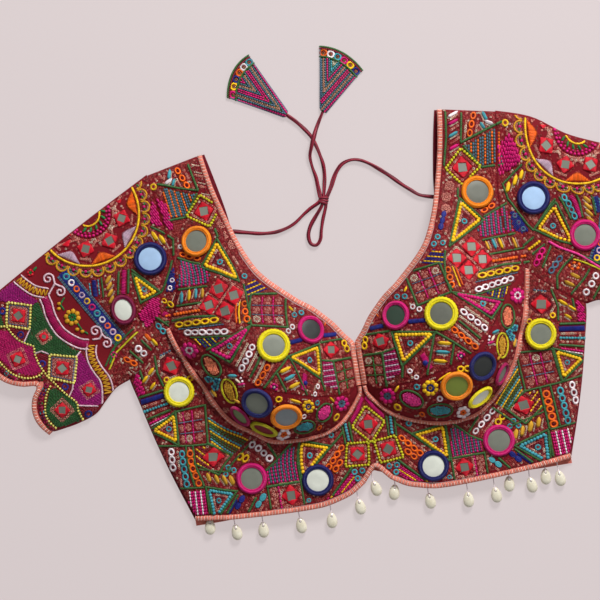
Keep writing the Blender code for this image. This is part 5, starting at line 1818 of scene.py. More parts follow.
@dataclass(frozen=True)
class Cowry:
    """Glossy shell: cream, faintly blotched, with painted shade that darkens its hole and, partly with the
    shell's own brown, its slit.
    """

    name: str = "cowry"

    def material(self) -> bpy.types.Material:
        """Return the finish's material."""
        made = Shader(self.name, coat_weight=0.5, coat_roughness=0.15, specular_ior_level=0.5)
        blotch = made.noise(6.0, 3.0)
        fine = made.noise(1.1, 2.0)
        hollow_and_shade = made.attribute("hollow_and_shade", "Fac")
        shell = made.mix(blotch, dyed(214, 202, 170), dyed(252, 246, 226))
        # painted shade: the hole is darkened as its shade; the slit partly in the shell's own brown, partly
        # as shade
        made.base(made.mix(hollow_and_shade, made.shade(shell, fine * 0.12 + 0.94), dyed(44, 34, 26)))
        made.rough(fine * 0.12 + hollow_and_shade * 0.3 + 0.22)
        made.bump(blotch + fine * 0.3, 0.05)
        return made.material


# ------------------------------------------------------------------ repeats by Geometry Nodes
class Grower:
    """A Geometry Nodes tree that sets one small shape at every point of a mesh."""

    def __init__(self, name: str) -> None:
        """Start the tree with its inputs and its output."""
        self.tree = bpy.data.node_groups.new(name, "GeometryNodeTree")
        for label, kind in (("Places", "NodeSocketGeometry"), ("Finish", "NodeSocketMaterial"),
                            ("Plumpness", "NodeSocketFloat")):
            self.tree.interface.new_socket(label, in_out="INPUT", socket_type=kind)
        self.tree.interface.new_socket("Work", in_out="OUTPUT", socket_type="NodeSocketGeometry")
        self.given = self.tree.nodes.new("NodeGroupInput")
        self.result = self.tree.nodes.new("NodeGroupOutput")

    def node(self, kind: str, settings: dict[str, object] | None = None,
             inputs: dict[str | int, object] | None = None) -> bpy.types.NodeSocket:
        """Add a node, set it, feed its sockets with values or other outputs, and return its first output."""
        made = self.tree.nodes.new(kind)
        for key, value in (settings or {}).items():
            setattr(made, key, value)
        for key, value in (inputs or {}).items():
            if isinstance(value, bpy.types.NodeSocket):
                self.tree.links.new(value, made.inputs[key])
            else:
                made.inputs[key].default_value = value
        return made.outputs[0]

    def named(self, name: str, kind: str) -> bpy.types.NodeSocket:
        """Return a named attribute of the points."""
        return self.node("GeometryNodeInputNamedAttribute", {"data_type": kind}, {"Name": name})

    def spindle(self, sides: int) -> bpy.types.NodeSocket:
        """Return a stitch: a spindle along X."""
        ball = self.node("GeometryNodeMeshUVSphere", {}, {"Segments": sides, "Rings": 3, "Radius": 0.5})
        return self.node("GeometryNodeTransform", {}, {
            "Geometry": ball, "Rotation": (0.0, math.pi / 2, 0.0), "Scale": (1.13, 1.13, 1.0)})

    def bead(self) -> bpy.types.NodeSocket:
        """Return a knot or bead."""
        return self.node("GeometryNodeMeshUVSphere", {}, {"Segments": 6, "Rings": 3, "Radius": 0.54})

    def hoop(self, sides: int, across: int, middle: float, thick: float) -> bpy.types.NodeSocket:
        """Return a ring of thread, or a sequin with its hole."""
        line, edge = (self.node("GeometryNodeCurvePrimitiveCircle", {"mode": "RADIUS"}, {
            "Resolution": count, "Radius": radius}) for count, radius in ((sides, middle), (across, thick)))
        return self.node("GeometryNodeCurveToMesh", {}, {"Curve": line, "Profile Curve": edge})

    def plate(self) -> bpy.types.NodeSocket:
        """Return a square mirror with a bevelled edge."""
        cut = self.node("GeometryNodeMeshCone", {"fill_type": "NGON"}, {
            "Vertices": 4, "Side Segments": 1, "Fill Segments": 1,
            "Radius Top": 0.63, "Radius Bottom": 0.7071, "Depth": 1.0})
        return self.node("GeometryNodeTransform", {}, {
            "Geometry": cut, "Translation": (0.0, 0.0, -0.5), "Rotation": (0.0, 0.0, math.pi / 4)})

    def made(self, shape: Shape) -> bpy.types.NodeSocket:
        """Return a shape's mesh, which fills a box of side 1."""
        makers = {Shape.SATIN: (self.spindle, 5), Shape.FILLING: (self.spindle, 4), Shape.KNOT: (self.bead,),
                  Shape.RING: (self.hoop, 9, 4, 0.36, 0.14), Shape.SEQUIN: (self.hoop, 5, 3, 0.38, 0.14),
                  Shape.GLASS: (self.plate,)}
        maker, *sizes = makers[shape]
        return maker(*sizes)

    def build(self, shapes: Sequence[Shape]) -> bpy.types.NodeTree:
        """Finish the tree.

        Args:
            shapes: The shapes that the points may ask for.

        Returns:
            The node tree.
        """
        kind = self.named("kind", "INT")
        turn = self.node("FunctionNodeEulerToRotation", {}, {0: self.named("turn", "FLOAT_VECTOR")})
        plump = self.node("ShaderNodeCombineXYZ", {}, {0: 1.0, 1: 1.0, 2: self.given.outputs["Plumpness"]})
        size = self.node("ShaderNodeVectorMath", {"operation": "MULTIPLY"}, {
            0: self.named("size", "FLOAT_VECTOR"), 1: plump})
        gather = self.tree.nodes.new("GeometryNodeJoinGeometry")
        for shape in shapes:
            chosen = self.node("FunctionNodeCompare", {"data_type": "INT", "operation": "EQUAL"}, {
                2: kind, 3: shape.value})
            grown = self.node("GeometryNodeInstanceOnPoints", {}, {
                "Points": self.given.outputs["Places"], "Selection": chosen, "Instance": self.made(shape),
                "Rotation": turn, "Scale": size})
            self.tree.links.new(grown, gather.inputs[0])
        whole = self.node("GeometryNodeRealizeInstances", {}, {0: gather.outputs[0]})
        smooth = self.node("GeometryNodeSetShadeSmooth", {}, {
            0: whole, "Shade Smooth": Shape.GLASS not in shapes})
        finish = self.node("GeometryNodeSetMaterial", {},
                           {0: smooth, "Material": self.given.outputs["Finish"]})
        self.tree.links.new(finish, self.result.inputs[0])
        return self.tree


LAYERS: dict[str, tuple[Shape, ...]] = {  # what each slot's pieces hold
    "thread": (Shape.SATIN, Shape.FILLING, Shape.KNOT, Shape.RING), "sequin": (Shape.SEQUIN,),
    "mirror_glass": (Shape.GLASS,)}


@dataclass
class Workshop:
    """The trees and finishes that every piece of needlework shares."""

    trees: dict[str, bpy.types.NodeTree] = field(default_factory=dict)
    finishes: dict[str, bpy.types.Material] = field(default_factory=dict)

    def __post_init__(self) -> None:
        """Build the trees and the finishes."""
        for layer, shapes in LAYERS.items():
            self.trees[layer] = Grower(f"sewn {layer}").build(shapes)
        self.finishes = {
            "thread": StrandedThread().material(),
            "sequin": Glossy("sequin", 0.0, 0.34, 0.3, 0.3).material(),
            "mirror_glass": Glossy("small mirror", 0.15, 0.38, 0.0, 0.3).material()}

    def grow(self, name: str, layer: str, points: Array, turns: Array, sizes: Array, kinds: Array,
             colours: Array) -> bpy.types.Object | None:
        """Sew one layer's shapes and return them as one mesh.

        Args:
            name: The piece's name.
            layer: Which tree and finish.
            points: Where each is, metres.
            turns: Its Euler angles.
            sizes: Its length, width and height, metres.
            kinds: Its shape's value.
            colours: Its dye.

        Returns:
            The piece, or None if nothing is sewn there.
        """
        if not len(points):
            return None
        mesh = bpy.data.meshes.new(name)
        mesh.vertices.add(len(points))
        mesh.vertices.foreach_set("co", points.astype("f").ravel())
        for label, kind, values, key in (("turn", "FLOAT_VECTOR", turns, "vector"),
                                         ("size", "FLOAT_VECTOR", sizes, "vector"),
                                         ("kind", "INT", kinds, "value")):
            mesh.attributes.new(label, kind, "POINT").data.foreach_set(
                key, values.astype("i" if kind == "INT" else "f").ravel())
        dyes = np.column_stack((colours, np.ones(len(colours))))
        mesh.attributes.new("dye", "FLOAT_COLOR", "POINT").data.foreach_set("color", dyes.astype("f").ravel())
        made = in_scene(name, mesh)
        grower = made.modifiers.new("needlework", "NODES")
        grower.node_group = self.trees[layer]
        sockets = {item.name: item.identifier for item in grower.node_group.interface.items_tree
                   if item.in_out == "INPUT"}
        grower[sockets["Finish"]] = self.finishes[layer]
        grower[sockets["Plumpness"]] = 1.0
        result = bpy.data.meshes.new_from_object(made.evaluated_get(bpy.context.evaluated_depsgraph_get()))
        made.modifiers.clear()
        made.data = result
        bpy.data.meshes.remove(mesh)
        result.name = name
        for spare in ("turn", "size", "kind"):
            if spare in result.attributes:
                result.attributes.remove(result.attributes[spare])
        return dressed(made, layer, self.finishes[layer])


def dressed(made: bpy.types.Object, slot: str, *finishes: bpy.types.Material) -> bpy.types.Object:
    """Give a piece its finishes, and let it ride with the blouse."""
    if finishes and list(made.data.materials) != list(finishes):
        made.data.materials.clear()
        for finish in finishes:
            made.data.materials.append(finish)
    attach(made, "root")
    LOG.info("%s: %d faces", made.name, len(made.data.polygons))
    return made


# ------------------------------------------------------------------ sewing the work on
Placer = Callable[[Array, Array], Array]


@dataclass(frozen=True)
class RoundHole:
    """A round mirror's disc in the frame, kept clear of stitches."""

    centre: Array
    normal: Array
    radius: float

    def covers(self, points: Array) -> Array:
        """Return which points lie under the disc."""
        away = points - self.centre
        high = away @ self.normal
        flat = np.linalg.norm(away - np.outer(high, self.normal), axis=1)
        return (flat < self.radius) & (np.abs(high) < 12)


def eulers(along_axis: Array, up_axis: Array) -> Array:
    """Return the Euler angles of frames with X along the first axis and Z along the second."""
    x = unit(along_axis)
    z = unit(up_axis - x * (up_axis * x).sum(1)[:, None])
    y = np.cross(z, x)
    return np.stack((np.arctan2(y[:, 2], z[:, 2]), -np.arcsin(np.clip(x[:, 2], -1, 1)),
                     np.arctan2(x[:, 1], x[:, 0])), axis=1)


@dataclass
class Embroiderer:
    """Sews a panel's stitches on to the cloth."""

    shop: Workshop
    rng: np.random.Generator
    holes: list[RoundHole] = field(default_factory=list)
    least_stretch: float = 0.8
    most_stretch: float = 1.7

    def sew(self, name: str, work: Stitches, place: Placer) -> list[bpy.types.Object]:
        """Sew a panel.

        Args:
            name: The panel's name.
            work: Its stitches.
            place: Where a plan point with a lift lies in the frame, mm.

        Returns:
            The pieces made, one for each layer.
        """
        rows = work.table()
        plan, angle, size, lift = rows[:, :2], rows[:, 2], rows[:, 3:6].copy(), rows[:, 6]
        kinds, colours = rows[:, 7].astype(int), rows[:, 8:11]
        centre = place(plan, lift)
        step = 0.5
        run, side = ((place(plan + way * step, lift) - place(plan - way * step, lift)) / (2 * step)
                     for way in (aim(angle), aim(angle + math.pi / 2)))
        up = np.cross(run, side)
        up *= np.sign(up[:, 2:3])
        for axis, way in enumerate((run, side)):
            size[:, axis] *= np.clip(np.linalg.norm(way, axis=1), self.least_stretch, self.most_stretch)
        keep = np.ones(len(rows), bool)
        for hole in self.holes:
            keep &= ~hole.covers(centre)
        colours = colours * self.rng.uniform(0.74, 1.12, (len(rows), 1))
        tilted = (kinds == Shape.SEQUIN.value)[:, None] * self.rng.normal(0, 0.1, (len(rows), 3))
        angles = eulers(run, unit(up) + tilted)
        pieces = []
        for layer, shapes in LAYERS.items():
            chosen = keep & np.isin(kinds, [shape.value for shape in shapes])
            made = self.shop.grow(f"{layer}_{name}", layer, centre[chosen] * MM, angles[chosen],
                                  size[chosen] * MM, kinds[chosen], colours[chosen])
            if made:
                pieces.append(made)
        return pieces


# ------------------------------------------------------------------ the cloth pieces
BINDING = ("binding_cloth", "tape")     # the bindings' slot and finish
BARE_GROUND = path(283, 166, 296, 205, 337, 180, 331, 168, 302, 147.5, 304, 136, 300, 116, 286, 97,
                   269, 89, 268, 72, 261, 53, 254, 60, 240, 82, 236, 86)


@dataclass
class Tailor:
    """Cuts, shapes and lays every cloth piece, and puts the needlework on it."""

    lie: Lie
    cut: Cut
    embroiderer: Embroiderer
    finishes: dict[str, bpy.types.Material]
    whip_dyes: tuple[str, ...] = ("shell", "salmon")
    whip_pitch: float = 1.6
    whip_lift: float = 0.55
    binding_sunk: float = -0.2
    binding_swell: float = 0.7
    piping_across: tuple[float, ...] = (-2.1, -1.4, 0.0, 1.4, 2.1)
    piping_tops: tuple[float, ...] = (1.3, 2.3, 2.7, 2.3, 1.3)
    piping_foot: float = 0.55
    fold_wall: float = 2.2
    lap_climb: float = 2.1
    ripple: float = 0.10
    narrowest_cut: float = 0.011
    least_of_box: float = 0.31
    ground_pitch: float = 2.35
    ground_rows: tuple[float, ...] = (2.5, -2.5, 5.0, -5.0)
    # the few cream sequins of the ground are painted glints
    ground_shares: tuple[tuple[str, float, float], ...] = (
        ("blush", 0.0, 0.36), ("petal", 0.36, 0.45), ("brass", 0.45, 0.82), ("cream", 0.82, 0.86))
    thinned: float = 0.35

    def put(self, name: str, points: Array, faces: Iterable[Sequence[int]], slot: str, finish: str) -> None:
        """Make a cloth piece in place of its node, and work out the flat cut of what shows, which is not
        kept.

        Args:
            name: The node that it stands for.
            points: Its points, mm.
            faces: Its faces, as rows of point numbers.
            slot: The record's slot; it is not used.
            finish: The finish's name.
        """
        made = dressed(solid(f"cloth_{name}", points, faces), slot, self.finishes[finish])
        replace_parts(made, name)
        area = area_of(made) / 2
        corners = points_of(made)
        wide, long = (max(self.narrowest_cut, side) for side in (corners.max(0) - corners.min(0))[:2])
        grown = max(1.0, math.sqrt(area / (wide * long)))
        flat = (wide * grown, long * grown)
        while area < self.least_of_box * flat[0] * flat[1]:
            flat = (flat[0], flat[1] * 0.9)

    def panel(self, name: str, grids: Sequence[tuple[Array, Array]], slot: str = "embroidered_cloth",
              finish: str = "ground") -> None:
        """Make a closed cloth piece from the outer and inner face of each of its parts."""
        self.put(name, *joined([walled(*pair) for pair in grids]), slot, finish)

    def round_piece(self, name: str, rings: Array, half: Half, swell: Array, slot: str = "embroidered_cloth",
                    finish: str = "ground") -> None:
        """Make a flat-lying tube with a wall, open at both ends."""
        outer, inner = self.tubular(rings, half, swell)
        loop = np.concatenate((outer, inner[::-1]))
        self.put(name, loop.reshape(-1, 3), quads(*loop.shape[:2], True, True), slot, finish)

    def front(self, half: Half) -> None:
        """Lay the shoulder and both parts of a cup."""
        upper = refined(self.cut.front_upper(), 4, 6)
        self.panel(f"front_upper_{half.value}", [self.lie.wall(upper, half)])
        faces = [self.lie.wall(refined(self.cut.lower_cup(), 4, 6), half)]
        for edges in GUSSETS:
            tip = between(*(resample(edge, 13) for edge in edges), even(8))
            faces.append(self.lie.wall(tip, half, -0.7))
        self.panel(f"lower_cup_{half.value}", faces)

    def band(self) -> None:
        """Lay the one band round the front."""
        grid = refined(self.cut.band(self.lie), 4, 6)
        self.panel("front_band", [self.across_centre(*(self.lie.wall(grid, half) for half in Half))])

    @staticmethod
    def across_centre(left: tuple[Array, Array], right: tuple[Array, Array]) -> tuple[Array, Array]:
        """Return the outer and the inner face of a piece that runs on over the centre, side to side."""
        outer, inner = (np.concatenate((b[::-1][:-1], a)) for a, b in zip(left, right))
        return outer, inner

    def tubular(self, rings: Array, half: Half, swell: Array) -> tuple[Array, Array]:
        """Return the outer and inner face of a tube that lies flat, both closed round it."""
        half_top = self.lie.closed_edge_top / 2
        inner_plan = rings.copy()
        outer_arcs, inner_arcs = {}, {}
        for end, beside in ((0, 1), (-1, -2)):
            near = rings[:, end]
            way = unit(rings[:, beside] - near)
            inner_plan[:, end] = near + way * self.fold_wall
            angle = np.radians((-50, 0, 50))
            outer_plan, arc_plan = (near[:, None] + way[:, None] * off[None, :, None] for off in (
                -FOLD_BULGE * np.cos(angle), self.fold_wall - 0.5 * np.cos(angle)))
            outer_arcs[end] = self.lie.laid(outer_plan, half_top + half_top * np.sin(angle), half)
            inner_arcs[end] = self.lie.laid(arc_plan, self.lie.back_wall + 0.7 + 0.35 * np.sin(angle), half)
        faces = []
        for front, plan, floor, arcs in (
                (self.lie.wall(rings, half, swell[:, None])[0], rings, 0.0, outer_arcs),
                (self.lie.wall(inner_plan, half)[1], inner_plan, self.lie.back_wall, inner_arcs)):
            back = self.lie.laid(plan, floor, half)
            faces.append(np.concatenate((front, arcs[-1][:, ::-1], back[:, ::-1], arcs[0]), axis=1))
        return faces[0], faces[1]

    def sleeve(self, half: Half) -> None:
        """Lay a sleeve and the binding of its cuff."""
        rings = refined(self.cut.sleeve_rings(half), 6, 3)
        self.round_piece(f"sleeve_{half.value}", rings, half, np.zeros(len(rings)))
        edge = self.cut.cuff_edge(half)
        band = refined(np.stack((moved(edge, -BINDING_WIDTH), moved(edge, -BINDING_WIDTH / 2), edge)), 4, 3)
        self.round_piece(f"cuff_binding_{half.value}", band, half, self.rounded(len(band) - 1), *BINDING)

    def back(self, half: Half) -> None:
        """Lay a plain back and the binding of its foot."""
        coarse = self.cut.back(half)
        fine = refined(coarse, 4, 5)
        self.flat_piece(f"back_{half.value}", fine, half, "back_cloth", "plain")
        hem = coarse[-1]
        foot = np.stack([moved(hem, off) for off in (-0.4, -BINDING_FULL / 2 - 0.2, -BINDING_FULL)], axis=1)
        self.flat_piece(f"hem_binding_back_{half.value}", refined(foot, 6, 3), half, *BINDING)

    def flat_piece(self, name: str, grid: Array, half: Half, slot: str, finish: str) -> None:
        """Make a piece of the back, which lies on the surface or climbs on to the other's lap."""
        climb = np.zeros(grid.shape[:2])
        if half is Half.RIGHT:
            climb = self.lap_climb * (1 - smoothstep((grid[..., 0] - 14) / 16))
        ripple = self.ripple * np.sin(grid[..., 0] * 0.31) * np.sin(grid[..., 1] * 0.23)
        top = self.lie.laid(grid, climb + self.lie.back_wall + ripple, half)
        self.panel(name, [(top, self.lie.laid(grid, climb, half))], slot, finish)

    def rounded(self, steps: int) -> Array:
        """Return how proud a binding stands, in steps across it."""
        return self.binding_sunk + self.binding_swell * np.sin(math.pi * even(steps))

    def bindings(self) -> None:
        """Lay the neck and hem bindings and the cup piping, and whip them over."""
        swell = self.rounded(8)[None]
        neck, hem = strip(self.cut.neck), strip(self.cut.hem)
        hem[0, :, 0] = 0.0
        for half in Half:
            self.panel(f"neck_binding_{half.value}", [self.lie.wall(neck, half, swell)], *BINDING)
            self.piping(np.vstack((self.cut.cup[:-1, 4:6], PIPING_ENDS)), half)
            self.whip(half, neck, hem)
        whole = self.across_centre(*(self.lie.wall(hem, half, swell) for half in Half))
        self.panel("hem_binding_front", [whole], *BINDING)

    def piping(self, seam: Array, half: Half) -> None:
        """Lay the piping over a cup seam: a low half-round strip."""
        line = smooth_line(seam, 150)
        grid = np.stack([moved(line, off) for off in self.piping_across], axis=1)
        plan = grid.reshape(-1, 2)
        top, foot = (self.lie.on_front(plan, half, lift).reshape(*grid.shape[:2], 3) for lift in (
            np.tile(self.piping_tops, len(line)), np.full(len(plan), self.piping_foot)))
        self.panel(f"cup_piping_{half.value}", [(top, foot)], *BINDING)
        work = Stitches()
        places, _ = along(np.column_stack((walked(top[:, 2]), np.zeros(len(line)))), 1.7)
        for number, dye in enumerate(self.whip_dyes):
            for side in (-0.95, 0.95):
                chosen = places[number::len(self.whip_dyes)] + (0, side)
                work.add(Shape.SATIN, chosen, math.pi / 2, (2.5, 1.2, 1.3), dye, 0.15)
        self.embroiderer.sew(f"piping_whip_{half.value}", work, lambda plan, lift: self.on_strip(
            top, np.array(self.piping_across), plan, lift))

    @staticmethod
    def on_strip(top: Array, across: Array, plan: Array, lift: Array) -> Array:
        """Place points on a strip's upper face, or off it.

        Args:
            top: The face's grid, in rows across the strip, mm.
            across: How far off the middle each place in a row is, mm.
            plan: How far along and off the middle each point is, mm.
            lift: How far off the face each point is, mm.

        Returns:
            Points in the frame, in millimetres.
        """
        row = np.interp(plan[:, 0], walked(top[:, 2]), np.arange(len(top)))
        at = np.minimum(row.astype(int), len(top) - 2)
        share = (row - at)[:, None, None]
        cuts = top[at] * (1 - share) + top[at + 1] * share
        place = np.interp(plan[:, 1], across, np.arange(len(across)))
        left = np.minimum(place.astype(int), len(across) - 2)
        each = np.arange(len(plan))
        over = cuts[each, left + 1] - cuts[each, left]
        normal = unit(np.cross(over, top[at + 1, 2] - top[at, 2]))
        normal *= np.sign(normal[:, 2:3])
        return cuts[each, left] + over * (place - left)[:, None] + normal * np.reshape(lift, (-1, 1))

    def whip(self, half: Half, neck: Array, hem: Array) -> None:
        """Sew the close whipping over the bindings of one half."""
        work = Stitches()
        cuff = moved(smooth_line(self.cut.cuff_edge(half), 160), -BINDING_WIDTH / 2)
        for line, length in ((neck[:, 4], 5.4), (hem[:, 4], 5.4), (cuff, 5.2)):
            places, angles = along(line, self.whip_pitch)
            across = angles + math.pi / 2 + 0.1
            for number, dye in enumerate(self.whip_dyes):
                chosen = slice(number, None, len(self.whip_dyes))
                work.add(Shape.SATIN, places[chosen], across[chosen], (length, 1.2, 1.3), dye, self.whip_lift)
        self.embroiderer.sew(f"whipping_{half.value}", work, self.placer(half))

    def placer(self, half: Half) -> Placer:
        """Return what places one half's stitches on the front."""
        return lambda plan, lift: self.lie.on_front(plan, half, lift)

    def embroider(self, half: Half) -> None:
        """Sew the charted work of one half."""
        chart = Chart(np.random.default_rng(11 if half is Half.LEFT else 23), half)
        works = {"upper": self.drifted(chart.upper(), half, self.body_drift),
                 "cup": self.drifted(chart.lower_cup(), half, self.body_drift),
                 "band": self.drifted(chart.band(), half, self.band_drift),
                 "sleeve": self.drifted(chart.sleeve(), half, self.sleeve_drift)}
        beyond = {"upper": "sleeve", "sleeve": "upper"}  # the work runs on over the armhole seam
        for name, work in works.items():
            reaching = [work, works[beyond[name]]] if name in beyond else [work]
            whole = self.closed(self.trimmed(reaching, name, half), name, half)
            self.embroiderer.sew(f"{name}_{half.value}", whole, self.placer(half))

    @staticmethod
    def drifted(work: Stitches, half: Half, drift: Callable[[Array, Half], Array]) -> Stitches:
        """Return the work moved to where its half has it."""
        rows = work.table()
        rows[:, :2] = drift(rows[:, :2], half)
        return Stitches([rows], [drift(line, half) for line in work.lines])

    def trimmed(self, works: Sequence[Stitches], name: str, half: Half) -> Stitches:
        """Return what of some work lies on a panel, clear of its edges."""
        rows = np.vstack([work.table() for work in works])
        outline = self.outline(name, half)
        reach = rows[:, 3:5].max(1) * 0.3
        plan = rows[:, :2]
        rows = rows[inside(plan, outline) & (distance_to(plan, looped(outline)) > reach)]
        return Stitches([rows], [line for work in works for line in work.lines])

    def closed(self, work: Stitches, name: str, half: Half) -> Stitches:
        """Close the bare ground between a panel's motifs with sequins, in rows beside its lines first."""
        outline = self.outline(name, half)
        rng = self.embroiderer.rng
        cover = Cover(outline)
        cover.mark(work.table())
        pitch = self.ground_pitch
        rows = [along(moved(line, off), pitch)[0] for line in work.lines for off in self.ground_rows]
        grid = ruled(outline, pitch, pitch * 0.9)
        grid[::2, :, 0] += pitch / 2
        rows.append(grid.reshape(-1, 2) + rng.uniform(-0.2, 0.2, (grid.size // 2, 2)))
        places = np.vstack(rows)
        places = places[inside(places, outline, 1.0)]
        places = places[cover.take(places, 1.0, 0.22)]
        if name == "cup":
            places = places[rng.random(len(places)) < self.thinned]
        if name == "sleeve":
            places = places[~inside(places, self.sleeve_drift(BARE_GROUND, half))]
            off = np.linalg.norm(places - self.sleeve_drift(MEDALLION[None], half), axis=1)
            places = places[(off >= 50) | (rng.random(len(places)) < self.thinned)]
        pick = rng.random(len(places))
        for dye, least, most in self.ground_shares:
            chosen = (pick >= least) & (pick < most)
            work.add(Shape.SEQUIN, places[chosen], rng.random(chosen.sum()) * 3, (2.2, 2.2, 0.8), dye, 0.4)
        return work

    def outline(self, name: str, half: Half) -> Array:
        """Return a panel's plan outline."""
        if name == "sleeve":
            grid = self.cut.sleeve_rings(half)
        elif name == "band":
            grid = refined(self.cut.band(self.lie), 2, 1)
            grid[0, :, 0] = 0.0
        else:
            grid = refined(self.cut.front_upper() if name == "upper" else self.cut.lower_cup(), 2, 1)
        return np.vstack((grid[:, 0], grid[-1, 1:-1], grid[::-1, -1], grid[0, -2:0:-1]))

    def body_drift(self, plan: Array, half: Half) -> Array:
        """Return the body's chart places on one half: the right half's lie closer in."""
        moved_plan = plan.copy()
        if half is Half.RIGHT:
            x, y = plan.T
            moved_plan[:, 0] -= 8.5 * smoothstep((x - 50) / 90) * smoothstep((y - 95) / 50)
            moved_plan[:, 0] -= 5.0 * smoothstep((x - 158) / 24) * smoothstep((y - 115) / 40)
        return moved_plan

    def band_drift(self, plan: Array, half: Half) -> Array:
        """Return the band's chart places on one half: beside the right cup they lie further out."""
        moved_plan = self.body_drift(plan, half)
        if half is Half.RIGHT:
            x, y = plan.T
            moved_plan[:, 0] += 8.5 * plateau(x, (118, 156, 176, 206)) * plateau(y, (-80, -46, 6, 40))
        return moved_plan

    def sleeve_drift(self, plan: Array, half: Half) -> Array:
        """Return the sleeve's chart places on one half: the left one's head lies further out."""
        moved_plan = plan.copy()
        if half is Half.LEFT:
            x, y = plan.T
            moved_plan[:, 0] += 12.5 * smoothstep((x - 140) / 35) * (1 - smoothstep((x - 262) / 90))
            moved_plan[:, 0] += 8.0 * plateau(x, (207, 226, 240, 262)) * (1 - smoothstep((y - 150) / 25))
        return moved_plan


# ------------------------------------------------------------------ round mirrors
@dataclass(frozen=True)
class RingMirror:
    """A round mirror in its raised ring of wound thread."""

    name: str
    dye: str
    centre: Array
    normal: Array
    radii: tuple[float, float]
    spin: float = 0.0
    # the glass's colour: a painted reflection of what hangs over it
    glass: str = "slate"
    scalloped: bool = False
    sides: int = 60
    profile: tuple[tuple[float, float], ...] = (  # (share of the band from the glass out, height)
        (0.0, 1.3), (0.07, 2.2), (0.18, 2.7), (0.27, 2.35), (0.40, 3.1), (0.58, 3.3), (0.76, 2.9),
        (0.90, 1.9), (1.0, 0.7), (0.97, 0.3), (0.0, 0.3))

    @property
    def opening(self) -> float:
        """The glass's share of the radius."""
        return 0.63 if self.scalloped else 0.67

    def axes(self) -> tuple[Array, Array]:
        """Return two directions across the disc."""
        x = np.array((math.cos(self.spin), math.sin(self.spin), 0.0))
        x -= self.normal * (x @ self.normal)
        x /= np.linalg.norm(x)
        return x, np.cross(self.normal, x)

    def circle(self, turn: Array, share: Array | float, high: float) -> Array:
        """Return points round the mirror at a share of its radii and a height over its foot, mm."""
        across, up = self.axes()
        reach = np.cos(turn) * self.radii[0] * share, np.sin(turn) * self.radii[1] * share
        return self.centre + (reach[0][:, None] * across + reach[1][:, None] * up) + self.normal * high

    def build(self, ring_finish: bpy.types.Material, glass_finish: bpy.types.Material) -> bpy.types.Object:
        """Make the glass and the ring, and return the ring."""
        turn = turns(self.sides)
        dips = 0.04 * (1 - np.abs(np.sin(turn * 15))) if self.scalloped else 0.006 * (1 + np.sin(turn * 7))
        wave = 0.985 - dips
        rings = []
        for band, high in self.profile:
            share = self.opening + (1 - self.opening) * band
            rings.append(self.circle(turn, np.where(share > 0.9, wave, 1.0) * share, high))
        loop = np.array(rings).transpose(1, 0, 2)
        ring = solid(f"ring_{self.name}", loop.reshape(-1, 3),
                     quads(self.sides, len(self.profile), True, True))
        self.mark_around(ring)
        edge = self.opening + 0.03
        discs = [self.circle(turn, share, high) for share, high in (
            (edge, 0.5), (edge, 1.25), (edge - 0.03, 1.4), (0.3, 1.45), (0.0, 1.45))]
        glass = solid(f"glass_{self.name}", *tube(np.array(discs)))
        # painted reflection: the glass takes the colour that it reflects
        paint(glass, self.glass)
        dressed(ring, "thread", ring_finish)
        dressed(glass, "mirror_glass", glass_finish)
        return ring

    def mark_around(self, ring: bpy.types.Object) -> None:
        """Mark each point with its share of the way round."""
        away = points_of(ring) / MM - self.centre
        across, up = self.axes()
        share = np.abs(np.arctan2(away @ up / self.radii[1], away @ across / self.radii[0])) / (2 * math.pi)
        mark(ring, "around", share)


